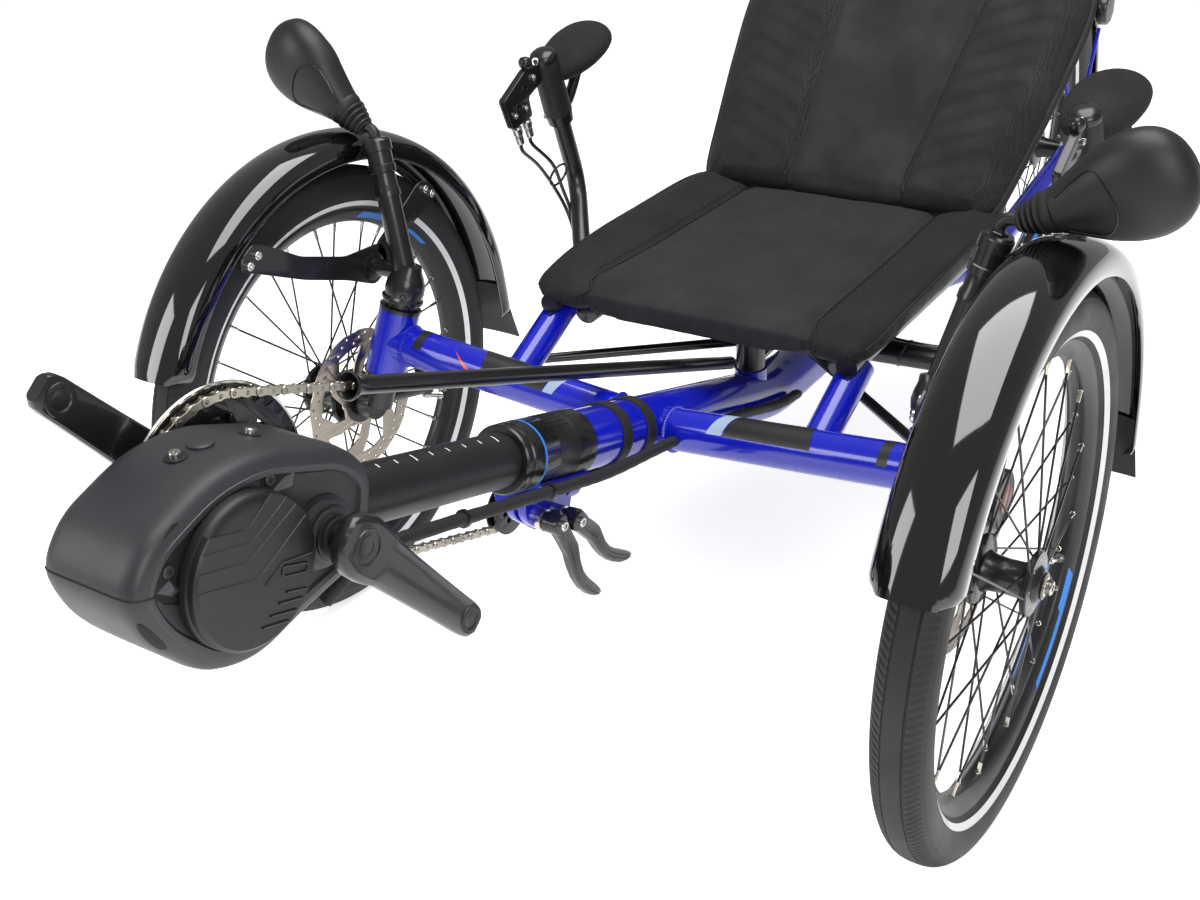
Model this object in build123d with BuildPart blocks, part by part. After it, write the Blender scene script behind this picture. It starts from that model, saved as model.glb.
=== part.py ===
from build123d import *
import math
import os

# Recumbent tadpole trike with a mid motor, in millimetres.
# +X points forward, +Y to the rider's left, +Z up; the floor is Z = 0.

os.makedirs("parts", exist_ok=True)

# ---------------------------------------------------------------- driving dimensions
TRACK = 760.0  # between the front wheels' middle planes
WHEELBASE = 1180.0  # front axle line to rear axle
TYRE_RADIUS = 251.0  # 47-406 tyre
TYRE_WIDTH = 47.0
TYRE_HEIGHT = 46.0
BEAD_RADIUS = TYRE_RADIUS - TYRE_HEIGHT  # where tyre and rim meet
RIM_DEPTH = 14.5
RIM_WIDTH = 25.0
SPOKE_COUNT = 32
SPOKE_SIZE = 2.0
AXLE_RADIUS = 7.0
STUB_FACE = 336.0  # where the knuckle's shoulder ends, from the middle
REAR_AXLE_RADIUS = 5.0
DISC_RADIUS = 80.0
DISC_THICKNESS = 2.0
DISC_SLOTS = 12

FENDER_GAP = 24.0  # tyre to the fender's inside, at its crown
FENDER_WALL = 2.0
FENDER_WIDTH = 68.0
FENDER_BACK = 12.0  # the fender's arc lies this much behind the axle
FENDER_LIFT = 6.0  # and this much above it
REAR_STAY_RADIUS = 3.0
REAR_STAY_ANGLES = (80.0, 150.0)  # of the rear fender stays above forward

BOOM_RADIUS = 24.0
BOOM_RISE = 17.5  # degrees above level, forward
BOOM_AXIS_HEIGHT = 299.5  # of the boom's axis above the floor at the front axle
BRACKET_X = 445.0  # bottom bracket ahead of the front axle
COLLAR_FRONT = 196.0
COLLAR_REAR = 92.0
COLLAR_RADIUS = 31.0
CASTING_HALF_WIDTH = 11.0
CASTING_X = 134.0  # of the casting's middle
CASTING_ROUND = 6.0
# Casting seen from the side, (along the boom, below the collar).
CASTING_OUTLINE = [(-40, 0), (36, 0), (30, 30), (-4, 44), (-40, 48)]
MAIN_RADIUS = 29.0
MAIN_REAR_X = -300.0  # where the main tube turns level under the seat
YOKE_X = -600.0  # where it splits around the rear wheel
YOKE_PROUD = 3.0  # yoke sleeve beyond the main tube
ARM_RADIUS = 15.0  # of the rear frame arms
FORK_HALF_WIDTH = 76.0

CRANK_LENGTH = 150.0
CRANK_ANGLE = 51.0  # of the right crank above level, forward
CRANK_INNER_Y = 69.0
SPINDLE_RADIUS = 11.0
CRANK_THICKNESS = 15.0
CRANK_END = CRANK_LENGTH + 15.0
CRANK_BOSS_RADIUS = 23.0
CRANK_CHAMFER = 2.5
PEDAL_HOLE_RADIUS = 7.1  # tapping size for a 9/16 in pedal thread
MOTOR_HALF_WIDTH = 44.0
COVER_RADIUS = 53.0
COVER_PROUD = 14.0
COVER_ALONG = 73.0  # of the cover's middle, along and across the boom from the bracket
COVER_ACROSS = -9.0
COVER_EDGE = 6.0
RIB_WIDTH = 2.6
RIB_HEIGHT = 1.2
MOTOR_CORNER = 22.0
MOTOR_EDGE = 9.0
POCKET_DEPTH = 5.0

TEETH = 38
CHAIN_PITCH = 12.7
CHAIN_Y = -52.0
CHAIN_WIDTH = 6.6
CHAIN_HEIGHT = 8.4
GUARD_RADIUS = 84.0
SPIDER_RADIUS = 58.0
SPIDER_ARMS = 5
CASSETTE_TEETH = 26
POWER_IDLER_X = -372.0
UNDER_IDLER_X = 128.0
CHAIN_TUBE_RADIUS = 7.6
CHAIN_TUBE_BORE = 5.9

CROSS_RADIUS = 21.0
CROSS_X = -40.0
CROSS_HEIGHT = 286.0  # of its axis at the middle
STRUT_Y = 172.0
STRUT_RADIUS = 16.5

KINGPIN_LEAN = 12.0  # degrees, top inboard
CASTER = 16.0  # degrees, top back
SCRUB = 6.0  # the kingpin axis meets the floor this far inboard of the tyre
HEAD_TUBE_HEIGHT = 322.0
HEAD_TUBE_LENGTH = 70.0
HEAD_TUBE_RADIUS = 22.0
POST_RISE = 206.0  # of the post's top above the head tube's middle
STEM_RADIUS = 13.0

PIVOT_X = -260.0  # handlebar pivot
BAR_HEIGHT = 299.0
BAR_RADIUS = 11.0
STEER_ARM = 75.0  # pitman arm and knuckle arms alike
ROD_RADIUS = 5.0
ROD_HEIGHTS = {"left": 275.0, "right": 260.0}

RAIL_HEIGHT = 348.0  # seat frame tubes under the seat
RAIL_RADIUS = 11.0
SEAT_WIDTH = 418.0
SEAT_FRONT_X = -118.0
SEAT_LENGTH = 372.0
SEAT_THICKNESS = 38.0
SEAT_PAN = 120.0  # half the flat middle of the seat
SEAT_TOP = 400.0
BACK_ANGLE = 44.0  # of the seat back above level
BACK_LENGTH = 640.0
BACK_WIDTH = 452.0
BACK_THICKNESS = 40.0

BATTERY_FOOTPRINT = (128.0, 92.0)
BATTERY_HEIGHT = 124.0

PLAY = 0.3  # clearance between pieces that seat on each other

# ---------------------------------------------------------------- derived places
MOTOR_NOSE = 163.0  # motor housing ahead of the bottom bracket, along the boom
RISE = math.radians(BOOM_RISE)
NOSE_X = BRACKET_X + MOTOR_NOSE * math.cos(RISE)
REAR_X = -WHEELBASE - TYRE_RADIUS - FENDER_GAP - FENDER_WALL - FENDER_BACK
AXLE_X = -(NOSE_X + REAR_X) / 2  # the front axle in the model's frame
HALF_TRACK = TRACK / 2


def at(x, y, z):
    """A point given ahead of the front axle, left of the middle and above the floor."""
    return Vector(AXLE_X + x, y, z)


def boom_point(x, y=0.0, rise=0.0):
    """A point beside the boom's axis: x ahead of the axle, raised across the boom."""
    z = BOOM_AXIS_HEIGHT + x * math.tan(RISE)
    return at(x - rise * math.sin(RISE), y, z + rise * math.cos(RISE))


def kingpin_point(side, z):
    """A point of one kingpin axis at height z; side is +1 left, -1 right."""
    lift = z - TYRE_RADIUS
    foot = HALF_TRACK - SCRUB - TYRE_RADIUS * math.tan(math.radians(KINGPIN_LEAN))
    x = -lift * math.tan(math.radians(CASTER))
    y = side * (foot - lift * math.tan(math.radians(KINGPIN_LEAN)))
    return at(x, y, z)


YOKE_HEIGHT = boom_point(MAIN_REAR_X).Z  # the main tube runs level from its bend
BRACKET = boom_point(BRACKET_X)
REAR_AXLE = at(-WHEELBASE, 0, TYRE_RADIUS)
SIDES = {"left": 1, "right": -1}


def save(part, name):
    """Label a finished piece and write its STEP file."""
    part.label = name
    export_step(part, f"parts/{name}.step")


def bar(start, end, radius, end_radius=None):
    """Round bar from start to end, tapered when end_radius is given."""
    along = end - start
    with BuildPart() as piece:
        with BuildSketch(Plane(origin=start, z_dir=along)):
            Circle(radius)
        if end_radius is None:
            extrude(amount=along.length)
        else:
            with BuildSketch(Plane(origin=end, z_dir=along)):
                Circle(end_radius)
            loft()
    return piece.part


def bent_bar(points, radius, bends):
    """Round bar along straight runs joined by arcs."""
    with BuildPart() as piece:
        with BuildLine() as route:
            FilletPolyline(*points, radius=bends)
        with BuildSketch(Plane(origin=route.line @ 0, z_dir=route.line % 0)):
            Circle(radius)
        sweep()
    return piece.part


def sleeve(start, end, radius, bore):
    """Round tube from start to end."""
    along = end - start
    with BuildPart() as piece:
        with BuildSketch(Plane(origin=start, z_dir=along)):
            Circle(radius)
            Circle(bore, mode=Mode.SUBTRACT)
        extrude(amount=along.length)
    return piece.part


def ring(center, profile, arc=360.0, start=0.0):
    """Turn a profile of (radius, y) points about the Y direction through center."""
    angle = math.radians(start)
    out = Vector(math.cos(angle), 0, math.sin(angle))
    with BuildPart() as piece:
        with BuildSketch(Plane(origin=center, x_dir=out, z_dir=out.cross(Vector(0, 1, 0)))):
            with BuildLine():
                Polyline(*profile, close=True)
            make_face()
        revolve(axis=Axis(center, (0, -1, 0)), revolution_arc=arc)
    return piece.part


# ---------------------------------------------------------------- wheels
# Tyre section, (radius, y): crown, shoulders, sidewalls and beads.
HALF_TYRE = TYRE_WIDTH / 2
TYRE_SECTION = [
    (BEAD_RADIUS, -RIM_WIDTH / 2),
    (TYRE_RADIUS - 17, -HALF_TYRE),
    (TYRE_RADIUS, -HALF_TYRE * 0.4),
    (TYRE_RADIUS, HALF_TYRE * 0.4),
    (TYRE_RADIUS - 17, HALF_TYRE),
    (BEAD_RADIUS, RIM_WIDTH / 2),
]
RIM_OUTER = BEAD_RADIUS - PLAY
RIM_SECTION = [
    (RIM_OUTER - RIM_DEPTH, -5),
    (RIM_OUTER - RIM_DEPTH, 5),
    (RIM_OUTER - 7, RIM_WIDTH / 2),
    (RIM_OUTER, RIM_WIDTH / 2),
    (RIM_OUTER, -RIM_WIDTH / 2),
    (RIM_OUTER - 7, -RIM_WIDTH / 2),
]


def tyre(center):
    """Closed tyre ring."""
    return ring(center, TYRE_SECTION)


def rim(center):
    """Rim ring inside the tyre."""
    return ring(center, RIM_SECTION)


def spoke(center, turn, start_radius, start_y, lead):
    """One square spoke from a flange to the rim's inside, led round by an angle."""
    first = math.radians(turn)
    last = math.radians(turn + lead)
    end_radius = RIM_OUTER - RIM_DEPTH - PLAY
    start = center + Vector(start_radius * math.cos(first), start_y, start_radius * math.sin(first))
    end = center + Vector(end_radius * math.cos(last), math.copysign(3, start_y), end_radius * math.sin(last))
    with BuildPart() as piece:
        with BuildSketch(Plane(origin=start, z_dir=end - start)):
            Rectangle(SPOKE_SIZE, SPOKE_SIZE)
        extrude(amount=(end - start).length)
    return piece.part


def laced_hub(center, sections, flanges, bore):
    """Hub shell turned from (y, radius) steps, with crossed spokes on both flanges."""
    outline = [(bore, sections[0][0])]
    for y, radius in sections:
        outline.append((radius, y))
    outline.append((bore, sections[-1][0]))
    shell = ring(center, outline)
    per_flange = SPOKE_COUNT // 2
    pitch = 360.0 / per_flange
    with BuildPart() as hub:
        add(shell)
        for flange_y, flange_radius in flanges:
            shift = pitch / 2 if flange_y > 0 else 0.0
            for index in range(per_flange):
                trailing = index % 2
                lead = 2 * pitch if trailing else -2 * pitch
                lay = 2.4 if trailing else -2.4
                add(spoke(center, index * pitch + shift, flange_radius - 4, flange_y + lay, lead))
    return hub.part


def brake_disc(center, side_y):
    """Slotted disc with arms to a hub ring."""
    band = 16.0
    plane = Plane(origin=center + Vector(0, side_y, 0), x_dir=(1, 0, 0), z_dir=(0, -1, 0))
    with BuildPart() as disc:
        with BuildSketch(plane):
            Circle(DISC_RADIUS)
            Circle(DISC_RADIUS - band, mode=Mode.SUBTRACT)
            with PolarLocations(DISC_RADIUS - band / 2, DISC_SLOTS):
                Rectangle(9, 3.5, rotation=35, mode=Mode.SUBTRACT)
            with PolarLocations((DISC_RADIUS - band + 20) / 2 + 1, 6):
                Rectangle(DISC_RADIUS - band - 16, 6, rotation=24)
            Circle(25)
            Circle(19, mode=Mode.SUBTRACT)
        extrude(amount=DISC_THICKNESS / 2, both=True)
    return disc.part


FRONT_FLANGES = [(-22.0, 29.0), (22.0, 26.0)]
DISC_Y = -36.0  # disc plane inboard of the wheel's middle
# Front hub steps, (y outward, radius): disc seat, flanges, shell, end cap.
FRONT_HUB = [
    (DISC_Y + DISC_THICKNESS / 2 + PLAY, 24),
    (-25.5, 24),
    (-25.5, 31),
    (-18.5, 31),
    (-18.5, 16),
    (18.5, 16),
    (18.5, 28),
    (25.5, 28),
    (25.5, 14),
    (30, 13),
    (30, 8),
]
for side_name, side in SIDES.items():
    hub_center = at(0, side * HALF_TRACK, TYRE_RADIUS)
    save(tyre(hub_center), f"tyre_{side_name}")
    save(rim(hub_center), f"rim_{side_name}")
    steps = [(side * y, radius) for y, radius in FRONT_HUB]
    flanges = [(side * y, radius) for y, radius in FRONT_FLANGES]
    save(laced_hub(hub_center, steps, flanges, AXLE_RADIUS + PLAY), f"hub_{side_name}")
    save(brake_disc(hub_center, side * DISC_Y), f"disc_{side_name}")

REAR_FLANGES = [(-24.0, 29.0), (24.0, 27.0)]
REAR_HUB = [
    (-60, 12),
    (-30, 12),
    (-30, 17),
    (-27.5, 17),
    (-27.5, 31),
    (-20.5, 31),
    (-20.5, 17),
    (20.5, 17),
    (20.5, 29),
    (27.5, 29),
    (27.5, 17),
    (60, 12),
]
save(tyre(REAR_AXLE), "tyre_rear")
save(rim(REAR_AXLE), "rim_rear")
save(laced_hub(REAR_AXLE, REAR_HUB, REAR_FLANGES, REAR_AXLE_RADIUS + PLAY), "hub_rear")


# ---------------------------------------------------------------- chain drive
def pitch_radius(teeth):
    """Radius of the chain's pins round a toothed wheel."""
    return CHAIN_PITCH / (2 * math.sin(math.pi / teeth))


RING_RADIUS = pitch_radius(TEETH)
SPROCKET_RADIUS = pitch_radius(CASSETTE_TEETH)
POWER_IDLER_RADIUS = 24.0
IDLER_RADIUS = 18.0
# Chain wheels in the order of the chain's run, (x, z, radius, turn): turn is +1
# where the chain goes anticlockwise seen from the right, -1 where clockwise.
CHAIN_WHEELS = [
    (BRACKET_X, BRACKET.Z, RING_RADIUS, 1),
    (POWER_IDLER_X, 229.0, POWER_IDLER_RADIUS, -1),
    (-WHEELBASE, TYRE_RADIUS, SPROCKET_RADIUS, 1),
    (-WHEELBASE + 20, TYRE_RADIUS - 78, 20.0, -1),
    (-WHEELBASE + 55, TYRE_RADIUS - 128, 20.0, 1),
    (UNDER_IDLER_X, 263.0, IDLER_RADIUS, 1),
]


def contact(first, second, offset):
    """Where a line beside the chain leaves the first wheel and meets the second.

    offset is how far the line lies outside the chain's middle; the points are
    (x, z) pairs.
    """
    x1, z1, r1, t1 = first
    x2, z2, r2, t2 = second
    lever1 = t1 * r1 + offset
    lever2 = t2 * r2 + offset
    gap = math.hypot(x2 - x1, z2 - z1)
    normal = math.atan2(z2 - z1, x2 - x1) - math.pi / 2 + math.asin((lever1 - lever2) / gap)
    across = (math.cos(normal), math.sin(normal))
    leave = (x1 + lever1 * across[0], z1 + lever1 * across[1])
    meet = (x2 + lever2 * across[0], z2 + lever2 * across[1])
    return leave, meet


def runs(offset):
    """Straight runs between the chain wheels, wheel by wheel."""
    pairs = zip(CHAIN_WHEELS, CHAIN_WHEELS[1:] + CHAIN_WHEELS[:1])
    return [contact(first, second, offset) for first, second in pairs]


def add_loop(offset):
    """Draw the closed line of runs and arcs at an offset from the chain's middle."""
    straight = runs(offset)
    for index, (x, z, radius, turn) in enumerate(CHAIN_WHEELS):
        meet = straight[index - 1][1]
        leave = straight[index][0]
        first = math.atan2(meet[1] - z, meet[0] - x)
        last = math.atan2(leave[1] - z, leave[0] - x)
        opening = (last - first) % (2 * math.pi)
        if turn < 0:
            opening -= 2 * math.pi
        middle = first + opening / 2
        reach = radius + turn * offset
        crown = (x + reach * math.cos(middle), z + reach * math.sin(middle))
        ThreePointArc(meet, crown, leave)
        Line(*straight[index])


CHAIN_PLANE = Plane(origin=(AXLE_X, CHAIN_Y, 0), x_dir=(1, 0, 0), z_dir=(0, -1, 0))
CHAIN_RUNS = runs(0)

with BuildPart() as chain:
    with BuildSketch(CHAIN_PLANE):
        with BuildLine():
            add_loop(CHAIN_HEIGHT / 2)
        make_face()
        with BuildLine():
            add_loop(-CHAIN_HEIGHT / 2)
        make_face(mode=Mode.SUBTRACT)
    extrude(amount=CHAIN_WIDTH / 2, both=True)
save(chain.part, "chain")


def chain_space(x, z):
    """A point of the chain's middle plane."""
    return at(x, CHAIN_Y, z)


def along_run(run, share):
    """A point of one straight chain run, by its share of the run's length."""
    (x1, z1), (x2, z2) = CHAIN_RUNS[run]
    return chain_space(x1 + share * (x2 - x1), z1 + share * (z2 - z1))


TUBE_MOUTH_SHARE = 0.14
mouth = along_run(0, TUBE_MOUTH_SHARE)
flare = along_run(0, TUBE_MOUTH_SHARE + 0.012)
with BuildPart() as chain_tubes:
    add(sleeve(flare, along_run(0, 0.93), CHAIN_TUBE_RADIUS, CHAIN_TUBE_BORE))
    add(sleeve(mouth, flare, CHAIN_TUBE_RADIUS + 4, CHAIN_TUBE_BORE + 1))
    add(sleeve(along_run(4, 0.12), along_run(4, 0.93), CHAIN_TUBE_RADIUS, CHAIN_TUBE_BORE))
save(chain_tubes.part, "chain_tubes")


# ---------------------------------------------------------------- crank set
crank_up = math.radians(CRANK_ANGLE)
CRANK_DIRECTION = Vector(math.cos(crank_up), 0, math.sin(crank_up))
CHAINRING_THICKNESS = 2.4
with BuildPart() as chainring:
    ring_plane = Plane(
        origin=BRACKET + Vector(0, CHAIN_Y, 0), x_dir=CRANK_DIRECTION, z_dir=(0, -1, 0)
    )
    with BuildSketch(ring_plane):
        Circle(RING_RADIUS - CHAIN_HEIGHT / 2 - 0.6)
        Circle(16, mode=Mode.SUBTRACT)
    extrude(amount=CHAINRING_THICKNESS / 2, both=True)
    guard_offset = CHAIN_WIDTH / 2 + 1.2
    with BuildSketch(ring_plane.offset(guard_offset)):
        Circle(GUARD_RADIUS)
        Circle(16, mode=Mode.SUBTRACT)
    extrude(amount=2.0)
    with BuildSketch(ring_plane):
        Circle(SPIDER_RADIUS)
        Circle(16, mode=Mode.SUBTRACT)
    extrude(amount=guard_offset)
    with BuildSketch(ring_plane.offset(-CHAINRING_THICKNESS)):
        with PolarLocations(SPIDER_RADIUS * 0.64, SPIDER_ARMS):
            SlotOverall(30, 15, rotation=90, mode=Mode.ADD)
    extrude(amount=2 * CHAINRING_THICKNESS + guard_offset, mode=Mode.SUBTRACT)
save(chainring.part, "chainring")


def crank_arm(side, direction):
    """Tapered crank with a round boss at the spindle and a threaded pedal eye."""
    tip = BRACKET + direction * CRANK_LENGTH
    inner = Vector(0, side * CRANK_INNER_Y, 0)
    outer = Vector(0, side * (CRANK_INNER_Y + CRANK_THICKNESS), 0)
    plane = Plane(origin=BRACKET + inner, x_dir=direction, z_dir=(0, side, 0))
    with BuildPart() as arm:
        with BuildSketch(plane):
            with BuildLine():
                Polyline((0, 21), (CRANK_END, 14), (CRANK_END, -14), (0, -21), close=True)
            make_face()
            fillet(vertices().group_by(Axis.X)[-1], radius=6)
            Circle(CRANK_BOSS_RADIUS)
        extrude(amount=CRANK_THICKNESS)
        face = arm.faces().sort_by(Axis.Y)[-1 if side > 0 else 0]
        chamfer(face.edges(), length=CRANK_CHAMFER)
        with BuildSketch(Plane(origin=tip + outer, z_dir=(0, -side, 0))):
            Circle(PEDAL_HOLE_RADIUS)
        extrude(amount=CRANK_THICKNESS, mode=Mode.SUBTRACT)
    return arm.part


with BuildPart() as cranks:
    add(crank_arm(-1, CRANK_DIRECTION))
    add(crank_arm(1, CRANK_DIRECTION * -1))
    add(
        bar(
            BRACKET + Vector(0, CRANK_INNER_Y + CRANK_THICKNESS, 0),
            BRACKET - Vector(0, CRANK_INNER_Y + CRANK_THICKNESS, 0),
            SPINDLE_RADIUS,
        )
    )
save(cranks.part, "cranks")

# ---------------------------------------------------------------- motor
BOOM_PLANE = Plane(
    origin=BRACKET, x_dir=(math.cos(RISE), 0, math.sin(RISE)), z_dir=(0, -1, 0)
)
# Housing outline in the boom's own directions, (along, across) from the bracket.
MOTOR_OUTLINE = [
    (-52, -30),
    (-52, 36),
    (-20, 58),
    (60, 66),
    (104, 54),
    (150, 20),
    (MOTOR_NOSE, -14),
    (140, -48),
    (92, -80),
    (48, -80),
    (10, -58),
]
# Panel pockets in the housing's left side, beside the border strip and the cover.
MOTOR_POCKETS = [
    [(30, 48), (78, 52), (96, 45), (60, 36), (40, 24)],
    [(134, 22), (148, -12), (132, -38), (124, -26), (126, -2)],
]
with BuildPart() as motor_housing:
    with BuildSketch(BOOM_PLANE):
        with BuildLine():
            Polyline(*MOTOR_OUTLINE, close=True)
        make_face()
        fillet(vertices(), radius=MOTOR_CORNER)
    extrude(amount=MOTOR_HALF_WIDTH, both=True)
    sides = motor_housing.faces().filter_by(Axis.Y)
    chamfer(sides.edges(), length=MOTOR_EDGE, length2=MOTOR_EDGE * 0.8)
    for pocket in MOTOR_POCKETS:
        with BuildSketch(BOOM_PLANE.offset(-MOTOR_HALF_WIDTH)):
            with BuildLine():
                Polyline(*pocket, close=True)
            make_face()
        extrude(amount=POCKET_DEPTH, mode=Mode.SUBTRACT)
    with BuildSketch(BOOM_PLANE):
        Circle(SPINDLE_RADIUS + PLAY)
    extrude(amount=MOTOR_HALF_WIDTH, both=True, mode=Mode.SUBTRACT)
save(motor_housing.part, "motor_housing")

# Ribs standing on the cover, (along, across) from its middle.
COVER_RIBS = [
    [(41, -3), (-2, -3), (-35, 33)],
    [(42, 7), (-2, 7), (-29, 36)],
    [(38, 18), (-2, 18), (-22, 41)],
    [(-10, -10), (-23, 6), (-46, 6)],
]
cover_plane = BOOM_PLANE.offset(-MOTOR_HALF_WIDTH - PLAY)
with BuildPart() as motor_cover:
    with BuildSketch(cover_plane):
        with Locations((COVER_ALONG, COVER_ACROSS)):
            Circle(COVER_RADIUS)
    extrude(amount=-COVER_PROUD)
    chamfer(motor_cover.faces().sort_by(Axis.Y)[-1].edges(), length=COVER_EDGE)
    with BuildSketch(cover_plane.offset(-COVER_PROUD + 1)):
        for rib in COVER_RIBS:
            with BuildLine():
                Polyline(*[(COVER_ALONG + u, COVER_ACROSS + v) for u, v in rib])
            trace(line_width=RIB_WIDTH)
    extrude(amount=-1 - RIB_HEIGHT)
save(motor_cover.part, "motor_cover")

# ---------------------------------------------------------------- boom and clamp
BOOM_END_X = COLLAR_REAR + 8
boom_front = BOOM_PLANE.from_local_coords((-52 - PLAY, 0))
save(bar(boom_point(BOOM_END_X), boom_front, BOOM_RADIUS), "boom")
save(
    sleeve(boom_point(COLLAR_REAR), boom_point(COLLAR_FRONT), COLLAR_RADIUS, BOOM_RADIUS + PLAY),
    "boom_collar",
)

# Casting under the collar, with the quick-release levers' barrels.
casting_seat = boom_point(CASTING_X, 0, -COLLAR_RADIUS - PLAY)
with BuildPart() as clamp_casting:
    add(bar(boom_point(172, 0, -COLLAR_RADIUS - 4), boom_point(96, 0, -COLLAR_RADIUS - 8), 15))
    with BuildSketch(Plane(casting_seat, x_dir=BOOM_PLANE.x_dir, z_dir=(0, 1, 0))):
        with BuildLine():
            Polyline(*CASTING_OUTLINE, close=True)
        make_face()
        fillet(vertices().sort_by(Axis.Y)[2:], radius=CASTING_ROUND)
    extrude(amount=CASTING_HALF_WIDTH, both=True)
    with BuildSketch(Plane(boom_point(CASTING_X), x_dir=(0, 1, 0), z_dir=BOOM_PLANE.x_dir)):
        Circle(COLLAR_RADIUS + PLAY)
    extrude(amount=60, both=True, mode=Mode.SUBTRACT)
save(clamp_casting.part, "clamp_casting")

LEVER_Y = 27.0
LEVER_DROP = 108.0  # of the lever's tip below its pivot
LEVER_THICKNESS = 11.0
LEVER_ROUND = 3.0
# Lever blade seen from the side, (along, across) from its pivot: a cam head, a
# stepped neck and a hollow-backed finger end.
LEVER_OUTLINE = [
    (-9, -6),
    (-9, 8),
    (12, 13),
    (44, 12),
    (52, 6),
    (84, 2),
    (122, 13),
    (120, 2),
    (86, -10),
    (40, -7),
    (10, -9),
]
LEVER_PLACES = [  # (x, drop below the boom's axis, swing back of the tip)
    (142.0, 60.0, 48.0),
    (114.0, 62.0, 92.0),
]
with BuildPart() as clamp_levers:
    for lever_x, drop, swing in LEVER_PLACES:
        head = boom_point(lever_x, 0, -drop)
        add(bar(head + Vector(0, CASTING_HALF_WIDTH + PLAY, 0), head + Vector(0, LEVER_Y + 7, 0), 10))
        reach = Vector(-swing, 0, -LEVER_DROP)
        blade_plane = Plane(origin=head + Vector(0, LEVER_Y, 0), x_dir=reach, z_dir=(0, -1, 0))
        with BuildSketch(blade_plane):
            with BuildLine():
                Polyline(*LEVER_OUTLINE, close=True)
            make_face()
            fillet(vertices(), radius=LEVER_ROUND)
        extrude(amount=LEVER_THICKNESS / 2, both=True)
save(clamp_levers.part, "clamp_levers")

# ---------------------------------------------------------------- main frame
main_route = [
    boom_point(COLLAR_REAR - PLAY),
    boom_point(MAIN_REAR_X),
    at(YOKE_X, 0, YOKE_HEIGHT),
]
save(bent_bar(main_route, MAIN_RADIUS, 180), "main_tube")

with BuildPart() as cross_member:
    for side in SIDES.values():
        head = kingpin_point(side, HEAD_TUBE_HEIGHT)
        top = kingpin_point(side, HEAD_TUBE_HEIGHT + HEAD_TUBE_LENGTH / 2)
        bottom = kingpin_point(side, HEAD_TUBE_HEIGHT - HEAD_TUBE_LENGTH / 2)
        add(bar(at(CROSS_X, side * 8, CROSS_HEIGHT), head, CROSS_RADIUS))
        add(bar(bottom, top, HEAD_TUBE_RADIUS))
        with BuildSketch(Plane(origin=bottom, z_dir=top - bottom)):
            Circle(STEM_RADIUS + PLAY)
        extrude(amount=(top - bottom).length, mode=Mode.SUBTRACT)
    with BuildSketch(Plane(boom_point(0), x_dir=(0, 1, 0), z_dir=BOOM_PLANE.x_dir)):
        Circle(MAIN_RADIUS + PLAY)
    extrude(amount=90, both=True, mode=Mode.SUBTRACT)
save(cross_member.part, "cross_member")

# Struts from the cross member back and up to the seat.
with BuildPart() as seat_struts:
    for side in SIDES.values():
        foot = at(-44, side * STRUT_Y, 284)
        crown = at(-154, side * STRUT_Y, 338)
        add(bar(foot, crown, STRUT_RADIUS))
        rail_front = at(SEAT_FRONT_X, side * STRUT_Y, RAIL_HEIGHT)
        add(bar(rail_front, rail_front - Vector(120, 0, 0), RAIL_RADIUS + PLAY), mode=Mode.SUBTRACT)
        beam = kingpin_point(side, HEAD_TUBE_HEIGHT)
        add(bar(at(CROSS_X, side * 8, CROSS_HEIGHT), beam, CROSS_RADIUS + PLAY), mode=Mode.SUBTRACT)
save(seat_struts.part, "seat_struts")

# Rear frame: a yoke on the main tube, two arms and their dropouts.
DROPOUT_HALF_THICKNESS = 4.0
with BuildPart() as rear_frame:
    add(bar(at(YOKE_X - PLAY, 0, YOKE_HEIGHT), at(YOKE_X - 40, 0, YOKE_HEIGHT), MAIN_RADIUS + YOKE_PROUD))
    for side in SIDES.values():
        start = at(YOKE_X - 22, side * 12, YOKE_HEIGHT)
        elbow = at(YOKE_X - 190, side * FORK_HALF_WIDTH, YOKE_HEIGHT - 4)
        tail = at(-WHEELBASE + 30, side * FORK_HALF_WIDTH, TYRE_RADIUS + 2)
        add(bent_bar([start, elbow, tail], ARM_RADIUS, 90))
        plate = Plane(
            origin=REAR_AXLE + Vector(0, side * FORK_HALF_WIDTH, 0), x_dir=(1, 0, 0), z_dir=(0, 1, 0)
        )
        with BuildSketch(plate):
            with Locations((20, 0)):
                RectangleRounded(74, 34, 12)
        extrude(amount=DROPOUT_HALF_THICKNESS, both=True)
        # Stays that carry the rear fender at its sides.
        stay_foot = REAR_AXLE + Vector(-6, side * FORK_HALF_WIDTH, 10)
        for stay_angle in REAR_STAY_ANGLES:
            turn = math.radians(stay_angle)
            reach = TYRE_RADIUS + FENDER_GAP - 20
            seat_y = side * (FENDER_WIDTH / 2 + PLAY + REAR_STAY_RADIUS)
            arc_middle = REAR_AXLE + Vector(-FENDER_BACK, 0, FENDER_LIFT)
            tip = arc_middle + Vector(reach * math.cos(turn), seat_y, reach * math.sin(turn))
            add(bar(stay_foot, tip, REAR_STAY_RADIUS))
    add(
        bar(
            REAR_AXLE - Vector(0, FORK_HALF_WIDTH + 8, 0),
            REAR_AXLE + Vector(0, FORK_HALF_WIDTH + 8, 0),
            REAR_AXLE_RADIUS,
        )
    )
save(rear_frame.part, "rear_frame")

# ---------------------------------------------------------------- idlers and derailleur
def chain_wheel(index, root, half_width=2.2):
    """A plain toothed pulley under the chain, with a bore."""
    x, z, radius, _ = CHAIN_WHEELS[index]
    rim_radius = radius - CHAIN_HEIGHT / 2 - PLAY
    outline = [(root, -half_width), (root, half_width), (rim_radius, half_width), (rim_radius, -half_width)]
    return ring(chain_space(x, z), outline)


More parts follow.
